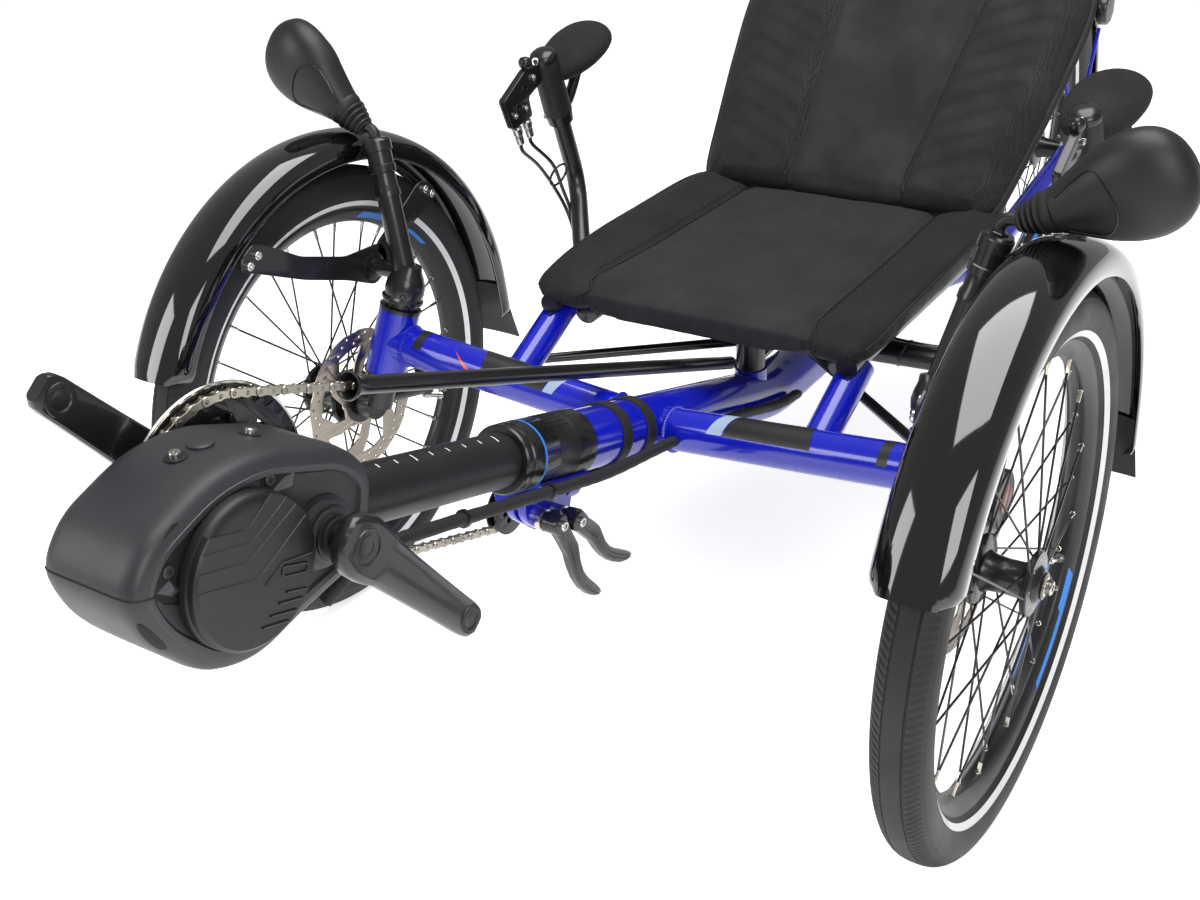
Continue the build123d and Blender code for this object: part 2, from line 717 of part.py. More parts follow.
def pulley_flange(index, extra, offset):
    """Thin guide flange beside the chain."""
    x, z, radius, _ = CHAIN_WHEELS[index]
    outer = radius + extra
    outline = [(4, offset - 0.9), (4, offset + 0.9), (outer, offset + 0.9), (outer, offset - 0.9)]
    return ring(chain_space(x, z), outline)


CHEEK = CHAIN_WIDTH / 2 + 1.6
with BuildPart() as idlers:
    for index, extra, post_end in ((1, 7.0, -MAIN_RADIUS + 3), (5, 6.0, -15.0)):
        x, z = CHAIN_WHEELS[index][:2]
        add(chain_wheel(index, 0.0))
        add(pulley_flange(index, extra, -CHEEK))
        add(pulley_flange(index, extra, CHEEK))
        add(bar(chain_space(x, z) - Vector(0, CHEEK + 2.5, 0), at(x, post_end, z), 5))
save(idlers.part, "idlers")

with BuildPart() as idler_arm:
    low = at(UNDER_IDLER_X, -22, CHAIN_WHEELS[5][1])
    with BuildSketch(Plane(origin=low, x_dir=(1, 0, 0), z_dir=(0, 1, 0))):
        Circle(11)
        with BuildLine():
            Polyline((-9, 0), (9, 0), (15, -36), (-13, -36), close=True)
        make_face()
        Circle(5 + PLAY, mode=Mode.SUBTRACT)
    extrude(amount=6)
save(idler_arm.part, "idler_arm")

cassette_rings = [(11, -58.0), (14, -54.5), (CASSETTE_TEETH, CHAIN_Y), (22, -47.5), (26, -43.5), (30, -39.5)]
with BuildPart() as cassette:
    for teeth, y in cassette_rings:
        outer = pitch_radius(teeth) - CHAIN_HEIGHT / 2 - PLAY
        add(ring(REAR_AXLE, [(14, y - 1.1), (14, y + 1.1), (outer, y + 1.1), (outer, y - 1.1)]))
    add(ring(REAR_AXLE, [(12 + PLAY, -59), (12 + PLAY, -33), (16, -33), (16, -59)]))
save(cassette.part, "cassette")

with BuildPart() as derailleur:
    guide_x, guide_z = CHAIN_WHEELS[3][:2]
    tension_x, tension_z = CHAIN_WHEELS[4][:2]
    add(chain_wheel(3, 0.0))
    add(chain_wheel(4, 0.0))
    for side_offset in (-CHEEK - 1, CHEEK + 1):
        start = chain_space(guide_x, guide_z) + Vector(0, side_offset, 0)
        finish = chain_space(tension_x, tension_z) + Vector(0, side_offset, 0)
        along = finish - start
        with BuildSketch(Plane(origin=start, x_dir=along, z_dir=(0, 1, 0))):
            with Locations((along.length / 2, 0)):
                SlotOverall(along.length + 22, 22)
        extrude(amount=1, both=True)
    half_pin = Vector(0, CHEEK + 1, 0)
    for x, z in ((guide_x, guide_z), (tension_x, tension_z)):
        add(bar(chain_space(x, z) - half_pin, chain_space(x, z) + half_pin, 4))
    outboard = -FORK_HALF_WIDTH - 14
    knuckle_spot = at(guide_x, outboard, guide_z)
    hanger_x = -WHEELBASE + 10
    hanger_z = TYRE_RADIUS - 14
    add(bar(chain_space(guide_x, guide_z) - Vector(0, CHEEK, 0), knuckle_spot, 9))
    add(bar(knuckle_spot, at(hanger_x, outboard, hanger_z), 9))
    dropout_face = -FORK_HALF_WIDTH - DROPOUT_HALF_THICKNESS - PLAY
    add(bar(at(hanger_x, outboard, hanger_z), at(hanger_x, dropout_face, hanger_z), 7))
save(derailleur.part, "derailleur")

# ---------------------------------------------------------------- steered ends
FENDER_INNER = TYRE_RADIUS + FENDER_GAP


def fender_section(inner, half_width):
    """U section of a fender as (radius, y) points, open towards the wheel."""
    wall = FENDER_WALL
    outer = [(inner - 22, half_width), (inner - 8, half_width - 1), (inner + 3, half_width - 12)]
    outer += [(inner + 3 + wall * 2, 0.0)]
    points = outer + [(radius, -y) for radius, y in reversed(outer[:-1])]
    crown = [(radius - wall, y * (half_width - wall) / half_width) for radius, y in outer]
    crown[0] = (inner - 22, half_width - wall)
    points += [(radius, -y) for radius, y in crown[:-1]] + [crown[-1]] + list(reversed(crown[:-1]))
    return points


def fender(center, half_width, first, last):
    """Fender round a wheel from the first to the last angle above forward."""
    middle = center + Vector(-FENDER_BACK, 0, FENDER_LIFT)
    return ring(middle, fender_section(FENDER_INNER, half_width), last - first, first)


def arm_eye(side, z):
    """Place of a knuckle arm's ball joint, straight behind the kingpin axis."""
    pivot = kingpin_point(side, z)
    return Vector(pivot.X - STEER_ARM, pivot.Y, z)


# Fender stay seen from the side, (x, z): front tab, middle by the post, rear tab.
STAY_OUTLINE = [
    (138, 463),
    (122, 482),
    (104, 474),
    (-50, 478),
    (-138, 474),
    (-160, 484),
    (-168, 464),
    (-140, 452),
    (-50, 448),
    (100, 452),
]
FENDER_FRONT = 24.0
ARM_DROP = 22.5  # of a knuckle arm's boss below its tie rod
ARM_ROOT = 30.0  # of the arm's root below the head tube
MIRROR_WIDTH = 112.0
MIRROR_HEIGHT = 80.0
# Mirror shell from its glass forward: (ahead, shrink of the half axes).
MIRROR_STEPS = [(-18, 1), (4, 3), (18, 16)]
FENDER_TAIL = 184.0
for side_name, side in SIDES.items():
    hub_center = at(0, side * HALF_TRACK, TYRE_RADIUS)
    head_top = kingpin_point(side, HEAD_TUBE_HEIGHT + HEAD_TUBE_LENGTH / 2)
    head_bottom = kingpin_point(side, HEAD_TUBE_HEIGHT - HEAD_TUBE_LENGTH / 2)
    pin = (head_top - head_bottom).normalized()
    # Steering axle, stub axle and arm, turning in the head tube.
    rod_z = ROD_HEIGHTS[side_name]
    eye = arm_eye(side, rod_z)
    arm_z = rod_z - ARM_DROP
    block = head_bottom - pin * 2
    with BuildPart() as knuckle:
        add(bar(head_bottom - pin * 12, head_top + pin * 20, STEM_RADIUS))
        add(bar(block, block - pin * 36, 16))
        inner = block - pin * 20
        add(bar(inner, at(0, side * (STUB_FACE - 15), TYRE_RADIUS), 13))
        add(bar(at(0, side * (STUB_FACE - 16), TYRE_RADIUS), at(0, side * STUB_FACE, TYRE_RADIUS), 17.5))
        add(bar(at(0, side * 330, TYRE_RADIUS), at(0, side * (HALF_TRACK + 26), TYRE_RADIUS), AXLE_RADIUS))
        add(bar(block - pin * ARM_ROOT, Vector(eye.X, eye.Y, arm_z), 7))
        add(bar(Vector(eye.X, eye.Y, arm_z - 5), Vector(eye.X, eye.Y, rod_z + 18), 4))
        add(bar(Vector(eye.X, eye.Y, rod_z + 15.5), Vector(eye.X, eye.Y, rod_z + 18), 11))
        add(bar(Vector(eye.X, eye.Y, arm_z - 5), Vector(eye.X, eye.Y, arm_z + 5), 9))
    save(knuckle.part, f"knuckle_{side_name}")

    save(fender(hub_center, FENDER_WIDTH / 2, FENDER_FRONT, FENDER_TAIL), f"fender_{side_name}")

    # Post above the head tube, with the mirror's arm and the fender's stays.
    post_foot = head_top + pin * 6
    post_top = at(-58, side * 328, HEAD_TUBE_HEIGHT + POST_RISE)
    with BuildPart() as post:
        add(bar(head_top + pin * 1, post_foot + pin * 22, 21, 17))
        add(bar(post_foot + pin * 20, post_top, 11))
        with BuildSketch(Plane(origin=head_top + pin * 1, z_dir=pin)):
            Circle(STEM_RADIUS + PLAY)
        extrude(amount=19, mode=Mode.SUBTRACT)
        stay_face = side * (HALF_TRACK - FENDER_WIDTH / 2 - PLAY)
        middle = hub_center + Vector(-FENDER_BACK, 0, FENDER_LIFT)
        with BuildSketch(Plane(origin=(AXLE_X, stay_face, 0), x_dir=(1, 0, 0), z_dir=(0, -1, 0))):
            with BuildLine():
                Polyline(*STAY_OUTLINE, close=True)
            make_face()
        extrude(amount=4 * side)
        lug = at(-50, side * 318, 462)
        add(bar(lug, Vector(lug.X, stay_face - side * 1, lug.Z), 9))
    save(post.part, f"post_{side_name}")

    # Mirror: bent arm, ribbed boot and an egg-shaped shell.
    with BuildPart() as mirror:
        lift = (post_top - post_foot).normalized()
        start = post_top + lift * PLAY
        bend = start + lift * 34
        add(bent_bar([start, bend, bend + Vector(0, side * 40, 2)], 6, 16))
        boot = post_top + Vector(0, side * 40, 36)
        add(bar(boot, boot + Vector(0, side * 34, 10), 10, 19))
        shell_center = boot + Vector(4, side * 78, 20)
        for ahead, shrink in MIRROR_STEPS:
            level = shell_center + Vector(ahead, 0, 0)
            with BuildSketch(Plane(origin=level, x_dir=(0, 1, 0), z_dir=(1, 0, 0))):
                Ellipse(MIRROR_WIDTH / 2 - shrink, MIRROR_HEIGHT / 2 - shrink)
        loft(ruled=True)
    save(mirror.part, f"mirror_{side_name}")

    # Brake caliper hugging the disc's upper rear.
    disc_center = at(0, side * (HALF_TRACK + DISC_Y), TYRE_RADIUS)
    angle = math.radians(148)
    spot = disc_center + Vector(66 * math.cos(angle), 0, 66 * math.sin(angle))
    out = Vector(math.cos(angle), 0, math.sin(angle))
    with BuildPart() as caliper:
        with BuildSketch(Plane(origin=spot + out * 6, x_dir=(0, 1, 0), z_dir=out.cross(Vector(0, 1, 0)))):
            Rectangle(21, 44)
        extrude(amount=27, both=True)
        bracket = at(0, side * (STUB_FACE + PLAY), TYRE_RADIUS)
        with BuildSketch(Plane(origin=bracket, x_dir=out, z_dir=(0, side, 0))):
            with Locations((30, 0)):
                SlotOverall(88, 28)
        extrude(amount=3.5)
        with BuildSketch(Plane(origin=bracket, x_dir=out, z_dir=(0, side, 0))):
            Circle(AXLE_RADIUS + PLAY)
        extrude(amount=3.5, mode=Mode.SUBTRACT)
        with BuildSketch(Plane(origin=disc_center, x_dir=(1, 0, 0), z_dir=(0, 1, 0))):
            Circle(DISC_RADIUS + 1.5)
        extrude(amount=DISC_THICKNESS / 2 + 1, both=True, mode=Mode.SUBTRACT)
    save(caliper.part, f"caliper_{side_name}")

save(fender(REAR_AXLE, FENDER_WIDTH / 2, 38.0, 196.0), "fender_rear")

# ---------------------------------------------------------------- steering
MAIN_TOP = boom_point(PIVOT_X, 0, MAIN_RADIUS).Z
PIVOT_SEAT = MAIN_TOP + 10
with BuildPart() as steering_pivot:
    add(bar(at(PIVOT_X, 0, MAIN_TOP - 14), at(PIVOT_X, 0, PIVOT_SEAT), 18))
    add(bar(at(PIVOT_X, 0, PIVOT_SEAT - 4), at(PIVOT_X, 0, BAR_HEIGHT + 14), 7))
    with BuildSketch(Plane(boom_point(PIVOT_X), x_dir=(0, 1, 0), z_dir=BOOM_PLANE.x_dir)):
        Circle(MAIN_RADIUS + PLAY)
    extrude(amount=60, both=True, mode=Mode.SUBTRACT)
save(steering_pivot.part, "steering_pivot")

HANDLE_ROUTE = [(-260, 0, 0), (-268, 110, 0), (-292, 240, -6), (-400, 316, 84), (-338, 312, 256)]
PLATE_Z = (ROD_HEIGHTS["left"] + ROD_HEIGHTS["right"]) / 2
with BuildPart() as handlebar:
    for side in SIDES.values():
        route = [at(x, side * y, BAR_HEIGHT + rise) for x, y, rise in HANDLE_ROUTE]
        route[0] = at(-262, -side * 6, BAR_HEIGHT)
        add(bent_bar(route, BAR_RADIUS, 42))
    add(bar(at(PIVOT_X, 0, PIVOT_SEAT + PLAY), at(PIVOT_X, 0, BAR_HEIGHT + 13), 16))
    with BuildSketch(Plane.XY.offset(PLATE_Z)):
        with BuildLine():
            Polyline(
                (AXLE_X + PIVOT_X, 15),
                (AXLE_X + PIVOT_X - STEER_ARM, 11),
                (AXLE_X + PIVOT_X - STEER_ARM, -11),
                (AXLE_X + PIVOT_X, -15),
                close=True,
            )
        make_face()
        with Locations((AXLE_X + PIVOT_X - STEER_ARM, 0)):
            Circle(11)
    extrude(amount=2.2, both=True)
    with BuildSketch(Plane.XY.offset(PIVOT_SEAT - 1)):
        with Locations((AXLE_X + PIVOT_X, 0)):
            Circle(7 + PLAY)
    extrude(amount=BAR_HEIGHT + 16 - PIVOT_SEAT, mode=Mode.SUBTRACT)
    add(bar(at(PIVOT_X - STEER_ARM, 0, PLATE_Z - 13), at(PIVOT_X - STEER_ARM, 0, PLATE_Z + 13), 3.6))
save(handlebar.part, "handlebar")

for side_name, side in SIDES.items():
    rod_z = ROD_HEIGHTS[side_name]
    inner_eye = at(PIVOT_X - STEER_ARM, 0, rod_z)
    outer_eye = arm_eye(side, rod_z)
    along = (outer_eye - inner_eye).normalized()
    with BuildPart() as rod:
        add(bar(inner_eye + along * 8, outer_eye - along * 9, ROD_RADIUS - 0.4))
        add(sleeve(inner_eye - Vector(0, 0, 5), inner_eye + Vector(0, 0, 5), 10, 3.6 + PLAY))
        add(sleeve(outer_eye - Vector(0, 0, 5), outer_eye + Vector(0, 0, 5), 10.5, 7.5))
    save(rod.part, f"tie_rod_{side_name}")

GRIP_RADIUS = 17.0
with BuildPart() as grips:
    for side in SIDES.values():
        low = at(-360, side * 313.4, BAR_HEIGHT + 196)
        high = at(-339, side * 312.1, BAR_HEIGHT + 252)
        add(bar(low, high, GRIP_RADIUS))
        add(bar(high - Vector(14, 0, 6), high + Vector(-66, 0, 14), 15, 17))
    for side in SIDES.values():
        route = [at(x, side * y, BAR_HEIGHT + rise) for x, y, rise in HANDLE_ROUTE]
        along = (route[-1] - route[-2]).normalized()
        add(bar(route[-2] + along * 60, route[-1] + along * 4, BAR_RADIUS + PLAY), mode=Mode.SUBTRACT)
save(grips.part, "grips")

# Brake lever as (x, height above the bar): clamp, pivot, elbow and tip.
LEVER_ROUTE = [(-350, 177), (-292, 186), (-262, 217), (-306, 246)]
with BuildPart() as brake_levers:
    for side in SIDES.values():
        route = [at(x, side * y, BAR_HEIGHT + rise) for x, y, rise in HANDLE_ROUTE]
        along = (route[-1] - route[-2]).normalized()
        clamp = route[-2] + along * (89 / along.Z)
        add(sleeve(clamp - along * 9, clamp + along * 9, BAR_RADIUS + 6, BAR_RADIUS + PLAY))
        blade = [at(x, side * 314, BAR_HEIGHT + rise) for x, rise in LEVER_ROUTE]
        add(bar(blade[0], blade[1], 7))
        add(bar(blade[1], blade[2], 6))
        add(bar(blade[2], blade[3], 6, 5))
save(brake_levers.part, "brake_levers")

# ---------------------------------------------------------------- seat
half_seat = SEAT_WIDTH / 2
seat_rear_x = SEAT_FRONT_X - SEAT_LENGTH
# Seat section on one side, (out from the middle, above the seat's middle height):
# a flat pan between raised side bolsters.
SEAT_SECTION = [(SEAT_PAN, -30), (half_seat, -4), (half_seat, 22), (SEAT_PAN, 2)]
seat_outline = SEAT_SECTION + [(-out, up) for out, up in reversed(SEAT_SECTION)]
seat_front = at(SEAT_FRONT_X, 0, SEAT_TOP - SEAT_THICKNESS / 2 - 6)
with BuildPart() as seat_cushion:
    with BuildSketch(Plane(origin=seat_front, x_dir=(0, -1, 0), z_dir=(-1, 0, 0))):
        with BuildLine():
            Polyline(*seat_outline, close=True)
        make_face()
    extrude(amount=SEAT_LENGTH)
save(seat_cushion.part, "seat_cushion")

recline = math.radians(BACK_ANGLE)
back_dir = Vector(-math.cos(recline), 0, math.sin(recline))
back_foot = at(seat_rear_x - 15, 0, SEAT_TOP - 16)
# Width of the seat back at shares of its length.
BACK_WIDTHS = {0.0: BACK_WIDTH - 60, 0.4: BACK_WIDTH, 1.0: BACK_WIDTH - 142}
with BuildPart() as back_cushion:
    for share, width in BACK_WIDTHS.items():
        middle = back_foot + back_dir * (BACK_LENGTH * share)
        with BuildSketch(Plane(origin=middle, x_dir=(0, 1, 0), z_dir=back_dir)):
            Rectangle(width, BACK_THICKNESS)
    loft(ruled=True)
save(back_cushion.part, "back_cushion")

back_normal = Vector(math.sin(recline), 0, math.cos(recline))
with BuildPart() as seat_frame:
    for side in SIDES.values():
        rail = Vector(0, side * STRUT_Y, 0)
        behind = back_foot - back_normal * (BACK_THICKNESS / 2 + RAIL_RADIUS + PLAY)
        knee = behind + back_dir * ((RAIL_HEIGHT - behind.Z) / back_dir.Z)
        head = behind + back_dir * (BACK_LENGTH - 30)
        front = at(SEAT_FRONT_X - 8, 0, RAIL_HEIGHT)
        head_in = Vector(0, side * (STRUT_Y - 32), 0)
        add(bent_bar([front + rail, knee + rail, head + head_in], RAIL_RADIUS, 60))
    low_bar = behind + back_dir * 120
    top_bar = head - back_dir * 20
    seat_bar = at(SEAT_FRONT_X - 90, 0, RAIL_HEIGHT - 11.5)
    for spot, half in ((low_bar, STRUT_Y - 4), (top_bar, STRUT_Y - 30), (seat_bar, STRUT_Y - 4)):
        add(bar(spot - Vector(0, half, 0), spot + Vector(0, half, 0), 8))
save(seat_frame.part, "seat_frame")

battery_seat = at(YOKE_X - 30, 0, YOKE_HEIGHT + MAIN_RADIUS + YOKE_PROUD + PLAY)
with BuildPart() as battery:
    with BuildSketch(Plane(origin=battery_seat, x_dir=(1, 0, 0), z_dir=(0, 0, 1))):
        RectangleRounded(*BATTERY_FOOTPRINT, 14)
    extrude(amount=BATTERY_HEIGHT)
    fillet(battery.faces().sort_by(Axis.Z)[-1].edges(), radius=8)
save(battery.part, "battery")
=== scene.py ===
"""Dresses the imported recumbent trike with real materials, soft goods and fine parts.

Lengths in this file are millimetres in the trike's own directions (x ahead of the front
axle, y to the rider's left, z above the floor) until ``Place`` turns them into metres.
"""

import logging
import math
from dataclasses import dataclass
from enum import Enum
from typing import Callable, Iterable, Optional, Sequence

import bmesh
import bpy
from mathutils import Matrix, Vector

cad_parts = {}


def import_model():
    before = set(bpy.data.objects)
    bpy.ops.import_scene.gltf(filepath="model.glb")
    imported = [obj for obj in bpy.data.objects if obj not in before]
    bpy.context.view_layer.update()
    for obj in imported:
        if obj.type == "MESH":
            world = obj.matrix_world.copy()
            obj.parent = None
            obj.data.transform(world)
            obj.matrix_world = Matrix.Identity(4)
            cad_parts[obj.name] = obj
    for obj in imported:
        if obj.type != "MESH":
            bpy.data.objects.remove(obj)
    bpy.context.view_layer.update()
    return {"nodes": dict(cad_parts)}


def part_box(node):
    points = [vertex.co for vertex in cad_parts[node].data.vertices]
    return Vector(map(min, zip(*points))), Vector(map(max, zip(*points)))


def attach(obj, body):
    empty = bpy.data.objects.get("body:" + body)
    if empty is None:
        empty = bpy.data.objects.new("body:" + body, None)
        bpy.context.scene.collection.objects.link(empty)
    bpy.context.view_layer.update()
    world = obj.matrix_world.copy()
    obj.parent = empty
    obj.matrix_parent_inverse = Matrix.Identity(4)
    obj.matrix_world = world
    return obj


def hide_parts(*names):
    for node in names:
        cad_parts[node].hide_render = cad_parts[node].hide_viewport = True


logging.basicConfig(level=logging.INFO, format="%(levelname)s %(message)s")
LOG = logging.getLogger("trike")

MM = 0.001
AHEAD = Vector((1, 0, 0)).freeze()
LEFT = Vector((0, 1, 0)).freeze()
UP = Vector((0, 0, 1)).freeze()
Point = tuple[float, float, float]


# ------------------------------------------------------------------ driving dimensions
TRACK = 760.0
WHEELBASE = 1180.0
AXLE_HEIGHT = 251.0
TYRE_RADIUS = 251.0
SPOKE_COUNT = 32
SPOKE_RADIUS = 1.1
NIPPLE_RADIUS = 191.0
DISC_RADIUS = 80.0
DISC_OFFSET = -36.0
BOOM_RISE = math.radians(17.5)
BOOM_HEIGHT = 299.5
BRACKET_X = 445.0
CRANK_LENGTH = 150.0
CRANK_ANGLE = math.radians(51.0)
CHAIN_PITCH = 12.7
CHAIN_Y = -52.0
RING_TEETH = 38
CASTER = math.radians(16.0)
KINGPIN_LEAN = math.radians(12.0)
SCRUB = 6.0
BACK_ANGLE = math.radians(44.0)


class Texture(Enum):
    """What a material's surface is like close up."""

    COATED = "orange peel of a powder coat"
    GLOSSY = "even gloss with faint waviness"
    MOULDED = "spark-eroded grain of moulded plastic"
    BRUSHED = "fine drawn lines of bare metal"
    RUBBER = "dull skin with fine pores"
    SPACER_MESH = "rows of open cells of spacer cloth"
    WOVEN = "tight weave"
    WEBBING = "ribs of a woven tape"


@dataclass(frozen=True)
class Finish:
    """Looks of one real material.

    Args:
        name: The real material, which also names the Blender material.
        colour: sRGB colour as six hex digits.
        texture: Kind of surface.
        roughness: Mean roughness of the shader.
        metallic: 1 for bare metal, otherwise 0.
        coat: Weight of a clear coat.
        relief: Height of the surface's bumps in millimetres.
        pitch: Distance between the texture's repeats in millimetres.
        slot: Material slot of the record that matches it; not used.
        tilt: Turn of a cloth's rows about Y, in radians.
    """

    name: str
    colour: str
    texture: Texture
    roughness: float = 0.5
    metallic: float = 0.0
    coat: float = 0.0
    relief: float = 0.05
    pitch: float = 1.0
    slot: Optional[str] = None
    tilt: float = 0.0


BLUE_COAT = Finish("powder_coat_blue", "0716B4", Texture.COATED, 0.2, 0.0, 0.7, 0.02, 3.0, "blue_paint")
BLACK_COAT = Finish(
    "powder_coat_black", "161617", Texture.COATED, 0.3, 0.0, 0.3, 0.02, 2.0, "frame_black",
)
BOOM_ANODISED = Finish(
    "anodised_aluminium_satin_black", "19191A", Texture.BRUSHED, 0.42, 0.0, 0.0, 0.01, 0.6,
    "boom_black",
)
BLACK_ANODISED = Finish(
    "anodised_aluminium_black", "131314", Texture.BRUSHED, 0.28, 0.0, 0.3, 0.01, 0.8, "hub_black",
)
RIM_ANODISED = Finish(
    "anodised_rim_black", "1B1B1C", Texture.BRUSHED, 0.4, 0.0, 0.1, 0.01, 0.8, "rim_black",
)
MOTOR_NYLON = Finish(
    "glass_filled_nylon_grey", "2D2E31", Texture.MOULDED, 0.46, 0.0, 0.0, 0.04, 0.9, "motor_grey",
)
# Lighter grey of the motor's raised side strip and of its wedges: painted highlight.
MOTOR_PAINTED_HIGHLIGHT = Finish(
    "nylon_grey_painted_highlight", "3A3C3F", Texture.MOULDED, 0.35, 0.0, 0.0, 0.02, 0.8, "motor_grey",
)
COVER_NYLON = Finish(
    "glass_filled_nylon_black", "141517", Texture.MOULDED, 0.42, 0.0, 0.0, 0.04, 0.9, "motor_grey",
)
# Near-black that stands for shade: painted shade in the recess plates, screw sockets, bearing bore and
# chin slot; the dark joint line over the motor's nose uses it too.
PAINTED_SHADE_AND_JOINT_BLACK = Finish(
    "nylon_in_shadow_black", "0B0B0C", Texture.MOULDED, 0.7, 0.0, 0.0, 0.02, 0.9, "motor_grey",
)
FENDER_GLOSS = Finish(
    "polycarbonate_gloss_black", "060607", Texture.GLOSSY, 0.07, 0.0, 1.0, 0.01, 60.0,
    "fender_gloss",
)
SHELL_PLASTIC = Finish(
    "moulded_abs_black", "161718", Texture.MOULDED, 0.45, 0.0, 0.0, 0.03, 0.8, "mirror_shell",
)
TYRE_RUBBER = Finish("tyre_rubber_black", "1D1D1E", Texture.RUBBER, 0.62, 0.0, 0.0, 0.05, 1.4, "tyre")
TYRE_WALL = Finish("tyre_sidewall_rubber", "1A1A1B", Texture.RUBBER, 0.55, 0.0, 0.0, 0.03, 1.0, "tyre")
REFLECTIVE = Finish("reflective_tape_white", "F2F3F2", Texture.GLOSSY, 0.3, 0.0, 0.0, 0.01, 3.0, "tyre")
BOOT_RUBBER = Finish(
    "rubber_boot_black", "1A1A1B", Texture.RUBBER, 0.55, 0.0, 0.0, 0.02, 0.8, "grip_rubber",
)
TUBE_POLY = Finish(
    "polyethylene_tube_black", "151516", Texture.GLOSSY, 0.3, 0.0, 0.2, 0.01, 12.0, "tube_plastic",
)
SPOKE_STEEL = Finish(
    "stainless_spoke_black", "101011", Texture.BRUSHED, 0.3, 0.0, 0.2, 0.005, 0.5, "hub_black",
)
NIPPLE_BRASS = Finish(
    "nickel_plated_brass", "D2CCBE", Texture.BRUSHED, 0.25, 1.0, 0.0, 0.005, 0.5, "chain_steel",
)
DISC_STEEL = Finish(
    "ground_stainless_steel", "B9B0A2", Texture.BRUSHED, 0.32, 1.0, 0.0, 0.01, 0.5, "disc_steel",
)
CHAIN_STEEL = Finish(
    "nickel_plated_chain_steel", "C9C4B6", Texture.BRUSHED, 0.3, 1.0, 0.0, 0.01, 0.5, "chain_steel",
)
BOLT_STEEL = Finish(
    "zinc_plated_steel", "D8D8D4", Texture.BRUSHED, 0.22, 1.0, 0.0, 0.005, 0.5, "chain_steel",
)
SEAT_MESH = Finish(
    "spacer_mesh_black", "121214", Texture.SPACER_MESH, 0.8, 0.0, 0.0, 1.1, 3.4, "seat_fabric",
)
BACK_MESH = Finish(
    "spacer_mesh_black_back", "121214", Texture.SPACER_MESH, 0.8, 0.0, 0.0, 1.1, 3.4, "seat_fabric",
    BACK_ANGLE,
)
SEAT_CLOTH = Finish(
    "woven_polyester_black", "1D1D20", Texture.WOVEN, 0.9, 0.0, 0.0, 0.12, 1.1, "seat_fabric",
)
BACK_CLOTH = Finish(
    "woven_polyester_black_back", "1D1D20", Texture.WOVEN, 0.9, 0.0, 0.0, 0.12, 1.1, "seat_fabric",
    BACK_ANGLE,
)
RIB_CLOTH = Finish(
    "ribbed_polyester_black", "1A1A1D", Texture.WEBBING, 0.85, 0.0, 0.0, 0.5, 3.2, "seat_fabric",
)
EDGE_CLOTH = Finish(
    "coated_nylon_cloth_black", "19191B", Texture.WOVEN, 0.7, 0.0, 0.0, 0.06, 0.8, "seat_fabric",
)
PIPING = Finish(
    "braided_polyester_black", "101012", Texture.WEBBING, 0.75, 0.0, 0.0, 0.1, 1.2, "seat_fabric",
)
MIRROR_GLASS = Finish(
    "silvered_glass", "E8EEF0", Texture.GLOSSY, 0.03, 1.0, 0.0, 0.0, 50.0, "mirror_shell",
)
CALIPER_RED = Finish(
    "anodised_aluminium_red", "8E1A14", Texture.BRUSHED, 0.3, 0.0, 0.4, 0.01, 0.7, "lever_black",
)
DECAL_BLUE = Finish(
    "vinyl_film_light_blue", "1E86F0", Texture.GLOSSY, 0.35, 0.0, 0.1, 0.005, 8.0, "rim_black",
)
DECAL_GREY = Finish(
    "vinyl_film_pale_grey", "9FB0CC", Texture.GLOSSY, 0.4, 0.0, 0.1, 0.005, 8.0, "blue_paint",
)
DECAL_WHITE = Finish("screen_ink_white", "E6E6E4", Texture.GLOSSY, 0.5, 0.0, 0.0, 0.0, 8.0, "boom_black")
REFLECTOR_ORANGE = Finish(
    "reflector_acrylic_orange", "F0570A", Texture.GLOSSY, 0.2, 0.0, 0.5, 0.01, 4.0, "blue_paint",
)
BRAID_SLEEVE = Finish(
    "braided_cable_sleeve", "17171A", Texture.WEBBING, 0.7, 0.0, 0.0, 0.25, 1.8, "tube_plastic",
)


def linear(colour: str) -> tuple[float, float, float, float]:
    """Turn six sRGB hex digits into Blender's linear colour.

    Args:
        colour: Hex digits without a leading mark.

    Returns:
        Red, green, blue and alpha.
    """
    channels = [int(colour[i : i + 2], 16) / 255 for i in (0, 2, 4)]
    bent = [c / 12.92 if c <= 0.04045 else ((c + 0.055) / 1.055) ** 2.4 for c in channels]
    return bent[0], bent[1], bent[2], 1.0


def add_node(tree: bpy.types.NodeTree, kind: str, **values: object) -> bpy.types.Node:
    """Add a shader node and set its sockets or properties by name.

    Args:
        tree: Node tree to add to.
        kind: Blender's node type.
        **values: Socket names (with spaces as underscores) or node properties. A socket
            of another node links, and any other value is set.

    Returns:
        The new node.
    """
    node = tree.nodes.new(kind)
    for key, value in values.items():
        socket = node.inputs.get(key.replace("_", " ")) if not hasattr(node, key) else None
        if socket is None:
            setattr(node, key, value)
        elif isinstance(value, bpy.types.NodeSocket):
            tree.links.new(value, socket)
        else:
            socket.default_value = value
    return node


